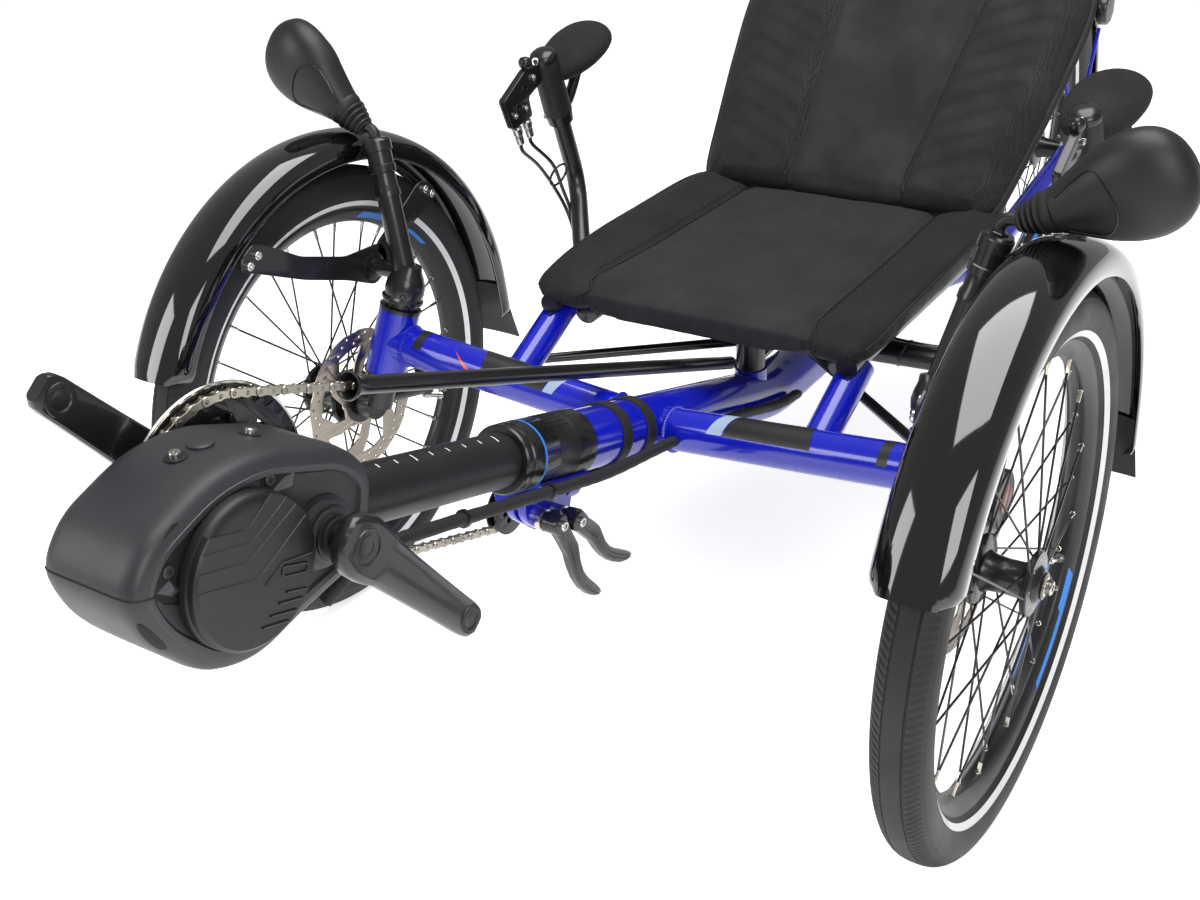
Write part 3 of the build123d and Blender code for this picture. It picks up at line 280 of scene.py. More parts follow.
class MaterialShelf:
    """Builds each finish's node material once and keeps it."""

    def __init__(self) -> None:
        self._made: dict[str, bpy.types.Material] = {}

    def get(self, finish: Finish) -> bpy.types.Material:
        """Return the material of a finish, built on first use.

        Args:
            finish: The looks wanted.

        Returns:
            A node material.
        """
        if finish.name not in self._made:
            self._made[finish.name] = self._build(finish)
        return self._made[finish.name]

    def _build(self, finish: Finish) -> bpy.types.Material:
        material = bpy.data.materials.new(finish.name)
        material.use_nodes = True
        tree = material.node_tree
        shader = tree.nodes["Principled BSDF"]
        shader.inputs["Metallic"].default_value = finish.metallic
        shader.inputs["Coat Weight"].default_value = finish.coat
        shader.inputs["Coat Roughness"].default_value = 0.05
        place = add_node(tree, "ShaderNodeTexCoord").outputs["Object"]
        repeats = 1.0 / (finish.pitch * MM)
        height, shade = self._pattern(tree, finish, place, repeats)
        base = linear(finish.colour)
        dark = tuple(c * 0.72 for c in base[:3]) + (1.0,)
        pale = tuple(min(1.0, c * 1.22 + 0.002) for c in base[:3]) + (1.0,)
        colour = add_node(tree, "ShaderNodeMix", data_type="RGBA")
        tree.links.new(shade, colour.inputs["Factor"])
        for socket in colour.inputs:
            if socket.type == "RGBA":
                socket.default_value = {"A": dark, "B": pale}[socket.name]
        result = next(s for s in colour.outputs if s.type == "RGBA")
        tree.links.new(result, shader.inputs["Base Color"])
        wear = add_node(tree, "ShaderNodeTexNoise", Scale=18.0, Detail=4.0, Vector=place)
        rough = add_node(
            tree,
            "ShaderNodeMapRange",
            Value=wear.outputs["Fac"],
            From_Min=0.3,
            From_Max=0.7,
            To_Min=max(0.02, finish.roughness * 0.85),
            To_Max=min(1.0, finish.roughness * 1.15),
        )
        tree.links.new(rough.outputs["Result"], shader.inputs["Roughness"])
        if finish.relief > 0:
            bump = add_node(
                tree, "ShaderNodeBump", Strength=1.0, Distance=finish.relief * MM, Height=height
            )
            tree.links.new(bump.outputs["Normal"], shader.inputs["Normal"])
        return material

    def _pattern(
        self,
        tree: bpy.types.NodeTree,
        finish: Finish,
        place: bpy.types.NodeSocket,
        repeats: float,
    ) -> tuple[bpy.types.NodeSocket, bpy.types.NodeSocket]:
        """Return the height and shade sockets of a finish's texture."""
        if finish.texture in (Texture.SPACER_MESH, Texture.WOVEN, Texture.WEBBING):
            turned = add_node(
                tree, "ShaderNodeMapping", Vector=place, Rotation=(0.0, finish.tilt, 0.0)
            )
            vector = turned.outputs["Vector"]
            if finish.texture is Texture.SPACER_MESH:
                cells = add_node(
                    tree,
                    "ShaderNodeTexBrick",
                    Vector=vector,
                    Scale=repeats,
                    Mortar_Size=0.16,
                    Mortar_Smooth=0.6,
                    Brick_Width=0.62,
                    Row_Height=0.4,
                    Color1=(0.0, 0.0, 0.0, 1.0),
                    Color2=(0.12, 0.12, 0.12, 1.0),
                    Mortar=(1.0, 1.0, 1.0, 1.0),
                )
                # The open cells come out darker than the walls between them: painted shade in the holes.
                return cells.outputs["Color"], cells.outputs["Color"]
            warp = add_node(
                tree, "ShaderNodeTexWave", Vector=vector, Scale=repeats / 6.28, bands_direction="X"
            )
            weft = add_node(
                tree, "ShaderNodeTexWave", Vector=vector, Scale=repeats / 6.28, bands_direction="Y"
            )
            weave = add_node(
                tree,
                "ShaderNodeMath",
                operation="MAXIMUM" if finish.texture is Texture.WOVEN else "ADD",
            )
            tree.links.new(warp.outputs["Fac"], weave.inputs[0])
            tree.links.new(weft.outputs["Fac"], weave.inputs[1])
            fluff = add_node(tree, "ShaderNodeTexNoise", Scale=320.0, Detail=3.0, Vector=place)
            return weave.outputs["Value"], fluff.outputs["Fac"]
        if finish.texture is Texture.BRUSHED:
            drawn = add_node(tree, "ShaderNodeMapping", Vector=place, Scale=(1.0, 0.08, 1.0))
            lines = add_node(
                tree, "ShaderNodeTexNoise", Scale=repeats, Detail=3.0, Vector=drawn.outputs["Vector"]
            )
            return lines.outputs["Fac"], lines.outputs["Fac"]
        grain = add_node(tree, "ShaderNodeTexNoise", Scale=repeats, Detail=4.0, Vector=place)
        patch = add_node(tree, "ShaderNodeTexNoise", Scale=9.0, Detail=2.0, Vector=place)
        return grain.outputs["Fac"], patch.outputs["Fac"]


SHELF = MaterialShelf()


class Place:
    """Turns trike millimetres into Blender metres; set up once the frame is loaded."""

    axle_x = 0.0

    @classmethod
    def at(cls, x: float, y: float, z: float) -> Vector:
        """Return the Blender point of a place given in trike millimetres."""
        return Vector((cls.axle_x + x * MM, y * MM, z * MM))

    @classmethod
    def boom(cls, x: float, y: float = 0.0, rise: float = 0.0) -> Vector:
        """Return a point beside the boom's axis, raised across the boom."""
        z = BOOM_HEIGHT + x * math.tan(BOOM_RISE)
        return cls.at(x - rise * math.sin(BOOM_RISE), y, z + rise * math.cos(BOOM_RISE))

    @classmethod
    def kingpin(cls, side: int, z: float) -> Vector:
        """Return the point of one kingpin axis at a height."""
        lift = z - AXLE_HEIGHT
        foot = TRACK / 2 - SCRUB - TYRE_RADIUS * math.tan(KINGPIN_LEAN)
        return cls.at(
            -lift * math.tan(CASTER), side * (foot - lift * math.tan(KINGPIN_LEAN)), z
        )


@dataclass
class Basis:
    """Directions of a flat drawing in space.

    Args:
        origin: Where the drawing's zero lies, in metres.
        u: Direction of the drawing's first axis.
        v: Direction of its second axis.
    """

    origin: Vector
    u: Vector
    v: Vector

    @property
    def w(self) -> Vector:
        """Normal of the drawing."""
        return self.u.cross(self.v).normalized()

    def point(self, a: float, b: float, c: float = 0.0) -> Vector:
        """Return a drawing point in space, all in millimetres."""
        return self.origin + (self.u * a + self.v * b + self.w * c) * MM


CRANK_U = Vector((math.cos(CRANK_ANGLE), 0, math.sin(CRANK_ANGLE)))
CRANK_V = Vector((-math.sin(CRANK_ANGLE), 0, math.cos(CRANK_ANGLE)))
SIDE_VIEW_U = AHEAD
SIDE_VIEW_V = UP
BOOM_U = Vector((math.cos(BOOM_RISE), 0, math.sin(BOOM_RISE)))
BOOM_V = Vector((-math.sin(BOOM_RISE), 0, math.cos(BOOM_RISE)))


# ------------------------------------------------------------------ mesh making
def make_piece(
    name: str,
    mesh: bmesh.types.BMesh,
    finishes: Sequence[Finish],
    body: str,
    replaces: Iterable[str] = (),
    crease: float = 32.0,
) -> bpy.types.Object:
    """Turn a bmesh into a shaded object that rides on a CAD body.

    Args:
        name: Object name.
        mesh: Geometry in metres; freed here.
        finishes: Materials in the order of the faces' material indices.
        body: CAD body that carries the piece.
        replaces: CAD nodes that the piece stands for.
        crease: Edges sharper than this many degrees stay hard.

    Returns:
        The new object.
    """
    bmesh.ops.remove_doubles(mesh, verts=mesh.verts, dist=1e-6)
    bmesh.ops.recalc_face_normals(mesh, faces=mesh.faces)
    limit = math.radians(crease)
    for face in mesh.faces:
        face.smooth = True
    for edge in mesh.edges:
        edge.smooth = len(edge.link_faces) != 2 or edge.calc_face_angle(0.0) < limit
    data = bpy.data.meshes.new(name)
    mesh.to_mesh(data)
    mesh.free()
    piece = bpy.data.objects.new(name, data)
    bpy.context.scene.collection.objects.link(piece)
    for finish in finishes:
        data.materials.append(SHELF.get(finish))
    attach(piece, body)
    nodes = list(replaces)
    if nodes:
        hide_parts(*nodes)
    return piece


def add_rings(
    mesh: bmesh.types.BMesh,
    rings: Sequence[Sequence[Vector]],
    closed: bool = True,
    capped: bool = True,
    around: bool = False,
    index: int = 0,
) -> None:
    """Skin a row of point rings with quads.

    Args:
        mesh: Mesh to add to.
        rings: Rings of equal length, in metres.
        closed: Whether each ring closes on itself.
        capped: Whether the first and last ring get a face.
        around: Whether the last ring joins the first.
        index: Material index of the new faces.
    """
    rows = [[mesh.verts.new(p) for p in ring] for ring in rings]
    pairs = list(zip(rows, rows[1:]))
    if around:
        pairs.append((rows[-1], rows[0]))
    for first, second in pairs:
        count = len(first)
        steps = count if closed else count - 1
        for i in range(steps):
            j = (i + 1) % count
            face = mesh.faces.new((first[i], first[j], second[j], second[i]))
            face.material_index = index
    if capped and not around:
        mesh.faces.new(list(reversed(rows[0]))).material_index = index
        mesh.faces.new(rows[-1]).material_index = index


def circle(origin: Vector, axis: Vector, radius: float, count: int, turn: float = 0.0) -> list[Vector]:
    """Return points of a circle; radius in millimetres, turn in radians."""
    axis = axis.normalized()
    helper = UP if abs(axis.z) < 0.9 else AHEAD
    u = axis.cross(helper).normalized()
    v = axis.cross(u).normalized()
    angles = [turn + math.tau * i / count for i in range(count)]
    return [origin + (u * math.cos(a) + v * math.sin(a)) * radius * MM for a in angles]


def add_turned(
    mesh: bmesh.types.BMesh,
    origin: Vector,
    axis: Vector,
    steps: Sequence[tuple[float, float]],
    count: int = 24,
    index: int = 0,
) -> None:
    """Add a closed turned solid.

    Args:
        mesh: Mesh to add to.
        origin: Where along = 0.
        axis: Direction of the turning axis.
        steps: (along, radius) pairs in millimetres, from one end to the other.
        count: Points round the circle.
        index: Material index.
    """
    axis = axis.normalized()
    rings = [circle(origin + axis * a * MM, axis, max(r, 0.01), count) for a, r in steps]
    add_rings(mesh, rings, index=index)


def add_ring_section(
    mesh: bmesh.types.BMesh,
    center: Vector,
    section: Sequence[tuple[float, float]],
    count: int,
    index: int | Callable[[int], int] = 0,
    start: float = 0.0,
    arc: float = math.tau,
) -> None:
    """Turn a closed (radius, y) section about the Y direction through center.

    Args:
        mesh: Mesh to add to.
        center: Point on the axis, in metres.
        section: Closed outline in millimetres.
        count: Steps round the arc.
        index: Material index, or a function of the section's edge number.
        start: First angle above forward, in radians.
        arc: Angle turned through.
    """
    whole = arc > math.tau - 1e-6
    angles = [start + arc * i / count for i in range(count if whole else count + 1)]
    rows = [
        [
            mesh.verts.new(
                center + Vector((r * math.cos(a), y, r * math.sin(a))) * MM
            )
            for r, y in section
        ]
        for a in angles
    ]
    pairs = list(zip(rows, rows[1:])) + ([(rows[-1], rows[0])] if whole else [])
    size = len(section)
    for first, second in pairs:
        for i in range(size):
            j = (i + 1) % size
            face = mesh.faces.new((first[i], second[i], second[j], first[j]))
            face.material_index = index(i) if callable(index) else index
    if not whole:
        mesh.faces.new(rows[0])
        mesh.faces.new(list(reversed(rows[-1])))


def smooth_path(points: Sequence[Vector], steps: int = 8) -> list[Vector]:
    """Return a Catmull-Rom line through the points."""
    padded = [points[0] * 2 - points[1], *points, points[-1] * 2 - points[-2]]
    line: list[Vector] = []
    for i in range(1, len(padded) - 2):
        a, b, c, d = padded[i - 1 : i + 3]
        for step in range(steps):
            t = step / steps
            line.append(
                0.5
                * (
                    2 * b
                    + (c - a) * t
                    + (2 * a - 5 * b + 4 * c - d) * t * t
                    + (3 * b - a - 3 * c + d) * t**3
                )
            )
    line.append(points[-1].copy())
    return line


def filleted(points: Sequence[Vector], radius: float, steps: int = 10) -> list[Vector]:
    """Return straight runs joined by arcs of a radius in millimetres."""
    line = [points[0]]
    for before, corner, after in zip(points, points[1:], points[2:]):
        back = (before - corner).normalized()
        ahead = (after - corner).normalized()
        half = back.angle(ahead) / 2
        reach = radius * MM / math.tan(half)
        middle = corner + (back + ahead).normalized() * (radius * MM / math.sin(half))
        first, last = corner + back * reach, corner + ahead * reach
        start, end = (first - middle).normalized(), (last - middle).normalized()
        for step in range(steps + 1):
            line.append(middle + start.slerp(end, step / steps).normalized() * radius * MM)
    line.append(points[-1])
    return line


def add_sweep(
    mesh: bmesh.types.BMesh,
    path: Sequence[Vector],
    radius: float | Callable[[float], float],
    count: int = 14,
    flatten: float = 1.0,
    index: int = 0,
) -> None:
    """Sweep a round or oval section along a path.

    Args:
        mesh: Mesh to add to.
        path: Points in metres.
        radius: Millimetres, or a function of the share along the path.
        count: Points round the section.
        flatten: Height of the section as a share of its width.
        index: Material index.
    """
    tangents = []
    for i in range(len(path)):
        ahead = path[min(i + 1, len(path) - 1)] - path[max(i - 1, 0)]
        tangents.append(ahead.normalized())
    normal = tangents[0].orthogonal().normalized()
    rings = []
    for i, (point, tangent) in enumerate(zip(path, tangents)):
        normal = (normal - tangent * normal.dot(tangent)).normalized()
        side = tangent.cross(normal)
        share = i / (len(path) - 1)
        r = (radius(share) if callable(radius) else radius) * MM
        ring = []
        for k in range(count):
            a = math.tau * k / count
            ring.append(point + (normal * math.cos(a) + side * math.sin(a) * flatten) * r)
        rings.append(ring)
    add_rings(mesh, rings, index=index)


def add_plate(
    mesh: bmesh.types.BMesh,
    basis: Basis,
    outline: Sequence[tuple[float, float]],
    depth: float,
    bevel: float = 0.8,
    index: int = 0,
) -> None:
    """Add a plate with chamfered rims.

    Args:
        mesh: Mesh to add to.
        basis: Plane of the outline.
        outline: Points in millimetres, counter-clockwise.
        depth: Thickness along the basis normal, in millimetres.
        bevel: Chamfer width in millimetres.
        index: Material index.
    """
    center_a = sum(p[0] for p in outline) / len(outline)
    center_b = sum(p[1] for p in outline) / len(outline)

    def inset(a: float, b: float) -> tuple[float, float]:
        reach = math.hypot(a - center_a, b - center_b)
        k = 1 - bevel / max(reach, bevel * 2)
        return center_a + (a - center_a) * k, center_b + (b - center_b) * k

    levels = [(0.0, True), (bevel, False), (depth - bevel, False), (depth, True)]
    rings = []
    for c, tight in levels:
        rings.append([basis.point(*(inset(a, b) if tight else (a, b)), c) for a, b in outline])
    add_rings(mesh, rings, index=index)


def add_bolt(
    mesh: bmesh.types.BMesh, origin: Vector, axis: Vector, radius: float, index: int = 0
) -> None:
    """Add a cap screw head with a hex socket, standing on origin along axis."""
    axis = axis.normalized()
    height = radius * 0.9
    rings = [
        circle(origin, axis, radius, 18),
        circle(origin + axis * height * 0.85 * MM, axis, radius, 18),
    ]
    rings.append(circle(origin + axis * height * MM, axis, radius * 0.88, 18))
    rings.append(circle(origin + axis * height * MM, axis, radius * 0.52, 18))
    rings.append(circle(origin + axis * height * 0.4 * MM, axis, radius * 0.5, 18))
    add_rings(mesh, rings, index=index)


def on_circle(
    radius: float, angle: float, center: tuple[float, float] = (0.0, 0.0)
) -> tuple[float, float]:
    """Return the drawing point of a circle at an angle in radians."""
    return center[0] + radius * math.cos(angle), center[1] + radius * math.sin(angle)


def arc_points(
    radius: float, first: float, last: float, count: int, center: tuple[float, float] = (0.0, 0.0)
) -> list[tuple[float, float]]:
    """Return drawing points of an arc, angles in degrees."""
    points = []
    for i in range(count + 1):
        angle = math.radians(first + (last - first) * i / count)
        points.append(on_circle(radius, angle, center))
    return points


def round_hole(
    radius: float, last: float, count: int, center: tuple[float, float] = (0.0, 0.0)
) -> list[tuple[float, float]]:
    """Return a round hole's outline, which runs clockwise from the right."""
    return list(reversed(arc_points(radius, 0, last, count, center)))


def counter_clockwise(outline: Sequence[tuple[float, float]]) -> list[tuple[float, float]]:
    """Return a closed outline in the order in which plates are drawn."""
    following = [*outline[1:], outline[0]]
    area = sum(a[0] * b[1] - b[0] * a[1] for a, b in zip(outline, following))
    return list(outline) if area >= 0 else list(reversed(outline))


def add_cutout(
    mesh: bmesh.types.BMesh,
    basis: Basis,
    outlines: Sequence[Sequence[tuple[float, float]]],
    depth: float,
    bevel: float = 0.3,
    index: int = 0,
) -> None:
    """Add a flat plate with holes, centred on its basis plane.

    Args:
        mesh: Mesh to add to.
        basis: Plane of the outlines.
        outlines: Closed outlines in millimetres; inner ones become holes.
        depth: Thickness in millimetres.
        bevel: Round on the rims in millimetres.
        index: Material index.
    """
    curve = bpy.data.curves.new("cutout", "CURVE")
    curve.dimensions = "2D"
    curve.fill_mode = "BOTH"
    curve.extrude = max(depth / 2 - bevel, 0.01)
    curve.bevel_depth = bevel
    curve.bevel_resolution = 1
    curve.offset = -bevel
    for outline in outlines:
        spline = curve.splines.new("POLY")
        spline.points.add(len(outline) - 1)
        for point, (a, b) in zip(spline.points, outline):
            point.co = (a, b, 0.0, 1.0)
        spline.use_cyclic_u = True
    holder = bpy.data.objects.new("cutout", curve)
    bpy.context.scene.collection.objects.link(holder)
    bpy.context.view_layer.update()
    data = bpy.data.meshes.new_from_object(
        holder.evaluated_get(bpy.context.evaluated_depsgraph_get())
    )
    verts = [mesh.verts.new(basis.point(v.co.x, v.co.y, v.co.z)) for v in data.vertices]
    for polygon in data.polygons:
        corners = [verts[i] for i in polygon.vertices]
        if len(set(corners)) == len(corners):
            face = mesh.faces.new(corners)
            face.material_index = index
    bpy.data.objects.remove(holder)
    bpy.data.meshes.remove(data)
    bpy.data.curves.remove(curve)


def swing(center: Vector, radius: float, angle: float, y: float = 0.0) -> Vector:
    """Return a point beside a wheel's centre, angle in radians above forward."""
    return center + Vector((radius * math.cos(angle), y, radius * math.sin(angle))) * MM


# ------------------------------------------------------------------ wheels
# Half of the tyre's section from the crown to the bead, (radius, y).
TYRE_HALF = (
    (251.0, 0.0),
    (250.8, 5.0),
    (250.4, 7.4),
    (249.3, 7.9),
    (249.3, 8.9),
    (250.0, 9.4),
    (248.9, 12.2),
    (247.2, 15.0),
    (244.8, 17.6),
    (241.5, 20.2),
    (240.4, 20.5),
    (237.5, 22.0),
    (232.0, 23.4),
    (225.5, 23.4),
    (219.5, 22.0),
    (215.6, 20.2),
    (215.3, 20.5),
    (209.7, 17.2),
    (209.4, 16.6),
    (206.4, 13.8),
    (205.0, 12.2),
)
SIPED = (6, 7, 8, 9)
SIPE_COUNT = 225
SIPE_STEPS = 4
# Rows of the section, counted from the middle, at the reflective stripe and the tread's edge.
STRIPE_ROW = 17
TREAD_ROWS = 11
RIM_SECTION = (
    (191.0, 0.0),
    (191.0, 4.2),
    (192.0, 6.4),
    (202.6, 12.6),
    (204.5, 13.1),
    (208.6, 13.3),
    (208.9, 12.7),
    (208.6, 12.1),
    (204.2, 12.0),
    (201.5, 9.5),
    (201.0, 0.0),
)


@dataclass(frozen=True)
class Wheel:
    """One road wheel.

    Args:
        name: Ending of its CAD nodes' names.
        body: CAD body it turns with.
        center: Its centre in trike millimetres.
        outward: +1 where the outer side faces left, -1 right.
        decal: Angle of its first rim decal in degrees above forward.
    """

    name: str
    body: str
    center: Point
    outward: int
    decal: float

    @property
    def middle(self) -> Vector:
        """Centre in metres."""
        return Place.at(*self.center)


WHEELS = (
    Wheel("left", "wheel_left", (0.0, TRACK / 2, AXLE_HEIGHT), 1, 207.0),
    Wheel("right", "wheel_right", (0.0, -TRACK / 2, AXLE_HEIGHT), -1, 107.0),
    Wheel("rear", "wheel_rear", (-WHEELBASE, 0.0, AXLE_HEIGHT), 1, 60.0),
)


def build_tyre(wheel: Wheel) -> None:
    """Tyre with two tread grooves, slanting shoulder sipes and reflective stripes."""
    section = [(r, y) for r, y in reversed(TYRE_HALF)]
    section += [(r, -y) for r, y in TYRE_HALF[1:]]
    middle = len(TYRE_HALF) - 1
    count = SIPE_COUNT * SIPE_STEPS
    mesh = bmesh.new()
    rows = []
    for step in range(count):
        angle = math.tau * step / count
        row = []
        for place, (radius, y) in enumerate(section):
            half = abs(place - middle)
            cut = 0.0
            if half in SIPED:
                phase = (step - half + SIPED[0]) % SIPE_STEPS
                cut = 1.3 if phase == 0 and half != SIPED[-1] else 0.0
            row.append(mesh.verts.new(swing(wheel.middle, radius - cut, angle, y)))
        rows.append(row)
    stripe = {middle - STRIPE_ROW, middle + STRIPE_ROW - 1}
    for first, second in zip(rows, rows[1:] + rows[:1]):
        for place in range(len(section) - 1):
            face = mesh.faces.new(
                (first[place], second[place], second[place + 1], first[place + 1])
            )
            if place in stripe:
                face.material_index = 1
            elif min(place, 2 * middle - 1 - place) < middle - TREAD_ROWS:
                face.material_index = 2
        mesh.faces.new((first[-1], second[-1], second[0], first[0])).material_index = 2
    make_piece(
        f"tread_{wheel.name}",
        mesh,
        (TYRE_RUBBER, REFLECTIVE, TYRE_WALL),
        wheel.body,
        (f"tyre_{wheel.name}",),
        24.0,
    )


def build_rim(wheel: Wheel) -> None:
    """Hooked box rim with a valve and film decals on its inner slopes."""
    section = [(r, y) for r, y in RIM_SECTION] + [(r, -y) for r, y in reversed(RIM_SECTION[1:-1])]
    mesh = bmesh.new()
    add_ring_section(mesh, wheel.middle, section, 144)
    valve = math.radians(205)
    foot = swing(wheel.middle, 191.0, valve)
    add_turned(
        mesh,
        foot,
        wheel.middle - foot,
        ((0, 4.5), (2.5, 4.5), (2.6, 2.6), (26, 2.6), (26.1, 3.4), (36, 3.0), (37, 1.5)),
        12,
        1,
    )
    slope_low, slope_high = RIM_SECTION[2], RIM_SECTION[3]
    # Arc from the decal's wide tip in degrees, and its low and high edge as shares of the slope.
    marks = [
        (wheel.decal + turn + first, wheel.decal + turn + last, low, 0.98)
        for turn in (0.0, 180.0)
        for first, last, low in ((0.0, 12.0, 0.36), (12.0, 34.0, 0.66))
    ]
    for face_side in (1, -1):
        for first, last, low, high in marks:
            steps = 14
            rings = []
            for i in range(steps + 1):
                share = i / steps
                lead = math.radians(first + (last - first) * share)
                skew = math.radians(2.0)
                row = []
                for part, turn in ((low, 0.0), (high, skew)):
                    radius = slope_low[0] + (slope_high[0] - slope_low[0]) * part
                    y = slope_low[1] + (slope_high[1] - slope_low[1]) * part + 0.25
                    row.append(
                        mesh.verts.new(
                            swing(wheel.middle, radius - 0.15, lead + turn, y * face_side)
                        )
                    )
                rings.append(row)
            for one, two in zip(rings, rings[1:]):
                mesh.faces.new((one[0], one[1], two[1], two[0])).material_index = 2
    make_piece(
        f"rim_{wheel.name}_finished",
        mesh,
        (RIM_ANODISED, BOLT_STEEL, DECAL_BLUE),
        wheel.body,
        (f"rim_{wheel.name}",),
        40.0,
    )


FRONT_SHELL = (
    (-34.5, 19), (-34.5, 24), (-27, 24), (-26.5, 21), (-26, 31), (-24.6, 32), (-20.4, 32), (-19, 30),
    (-18, 19), (-12, 16.5), (0, 15.5), (12, 16), (18, 18), (19, 27), (20.2, 29), (24, 29), (25.2, 28),
    (26, 17), (29, 15), (31, 12), (31.2, 6),
)
REAR_SHELL = (
    (-60, 10), (-60, 12), (-31, 12), (-30, 17), (-28, 18), (-27, 31), (-25.6, 32), (-22.4, 32), (-21, 30),
    (-19, 18), (-8, 15), (8, 15), (19, 17), (21, 28), (22.4, 30), (25.6, 30), (27, 28), (28, 17),
    (40, 14), (60, 12), (60, 6),
)


def build_hub(wheel: Wheel) -> None:
    """Hub shell with crossed spokes, nipples and an axle bolt."""
    front = wheel.name != "rear"
    shell = FRONT_SHELL if front else REAR_SHELL
    flanges = ((-22.5, 28.0), (22.0, 25.5)) if front else ((-24.0, 28.0), (24.0, 26.5))
    axis = Vector((0, wheel.outward, 0))
    mesh = bmesh.new()
    add_turned(mesh, wheel.middle, axis, shell, 48)
    per_flange = SPOKE_COUNT // 2
    pitch = math.tau / per_flange
    for flange_y, flange_radius in flanges:
        shift = pitch / 2 if flange_y > 0 else 0.0
        for number in range(per_flange):
            lead = (2 if number % 2 else -2) * pitch
            lay = 2.6 if number % 2 else -2.6
            turn = number * pitch + shift
            y = wheel.outward * flange_y
            start = swing(wheel.middle, flange_radius - 3.5, turn, y + lay)
            cross = swing(wheel.middle, flange_radius - 3.5, turn, y - lay)
            near_rim = swing(wheel.middle, NIPPLE_RADIUS, turn + lead, math.copysign(3.0, y))
            add_sweep(mesh, [cross, start, near_rim], SPOKE_RADIUS, 6, index=1)
            inward = (start - near_rim).normalized()
            add_turned(
                mesh,
                near_rim,
                inward,
                ((-1, 2.6), (0.6, 2.6), (1.0, 2.0), (10.5, 1.75), (12, 1.4)),
                8,
                2,
            )
            add_turned(mesh, cross, cross - start, ((-0.6, 1.9), (0.8, 1.7), (1.2, 0.6)), 8, 2)
    if front:
        end = wheel.middle + axis * 31.2 * MM
        add_turned(mesh, end, axis, ((0, 12), (1.2, 12), (1.6, 10.8)), 32, 0)
        add_turned(mesh, end + axis * 1.4 * MM, axis, ((0, 8.6), (0.8, 8.6), (1.1, 7.8)), 32, 2)
        add_bolt(mesh, end + axis * 1.9 * MM, axis, 6.4, 2)
    make_piece(
        f"hub_{wheel.name}_laced",
        mesh,
        (BLACK_ANODISED, SPOKE_STEEL, NIPPLE_BRASS),
        wheel.body,
        (f"hub_{wheel.name}",),
        38.0,
    )


def disc_outlines() -> list[list[tuple[float, float]]]:
    """Return the brake disc's rim and its cut-outs."""
    rim = []
    for i in range(144):
        a = math.tau * i / 144
        wave = 1.0 if math.cos(a * 12) > 0.5 else 0.0
        rim.append(((DISC_RADIUS - wave) * math.cos(a), (DISC_RADIUS - wave) * math.sin(a)))
    outlines = [rim, round_hole(19.5, 354, 58)]
    for window in range(6):
        first = window * 60
        opening = [
            (63.0, 6.0), (63.0, 22.0), (63.0, 40.0), (46.0, 27.0), (31.0, 12.0), (28.0, -8.0),
            (30.0, -22.0), (45.0, -12.0),
        ]
        outlines.append(
            [
                (r * math.cos(math.radians(first + a)), r * math.sin(math.radians(first + a)))
                for r, a in reversed(opening)
            ]
        )
    for hole in range(48):
        a = math.tau * hole / 48
        radius = (67.5, 72.0, 75.8)[hole % 3]
        spot = (radius * math.cos(a), radius * math.sin(a))
        outlines.append(round_hole(1.7, 324, 9, spot))
    return outlines


def build_disc(wheel: Wheel) -> None:
    """Drilled brake disc with swept arms, a black carrier and its lock ring."""
    center = wheel.middle + Vector((0, wheel.outward * DISC_OFFSET, 0)) * MM
    basis = Basis(center, AHEAD, UP)
    mesh = bmesh.new()
    add_cutout(mesh, basis, disc_outlines(), 1.9, 0.2)
    inboard = Vector((0, -wheel.outward, 0))
    add_turned(mesh, center, inboard, ((1.0, 24), (1.0, 25), (2.6, 25), (3.0, 23), (3.0, 17)), 40, 1)
    for rivet in range(6):
        spot = swing(center, 29.5, math.radians(8 + rivet * 60))
        add_turned(mesh, spot, inboard, ((0.8, 2.6), (1.8, 2.6), (2.3, 1.8)), 12, 2)
    make_piece(
        f"brake_disc_{wheel.name}",
        mesh,
        (DISC_STEEL, BLACK_ANODISED, BOLT_STEEL),
        wheel.body,
        (f"disc_{wheel.name}",),
        30.0,
    )


# ------------------------------------------------------------------ fenders and stays
FENDER_INNER = TYRE_RADIUS + 24.0
FENDER_SHAPE = (
    (-22.0, 34.0), (-16.0, 34.0), (-9.0, 33.2), (-3.5, 30.0), (0.8, 24.5), (3.6, 17.5), (5.4, 9.0),
    (6.2, 0.0),
)


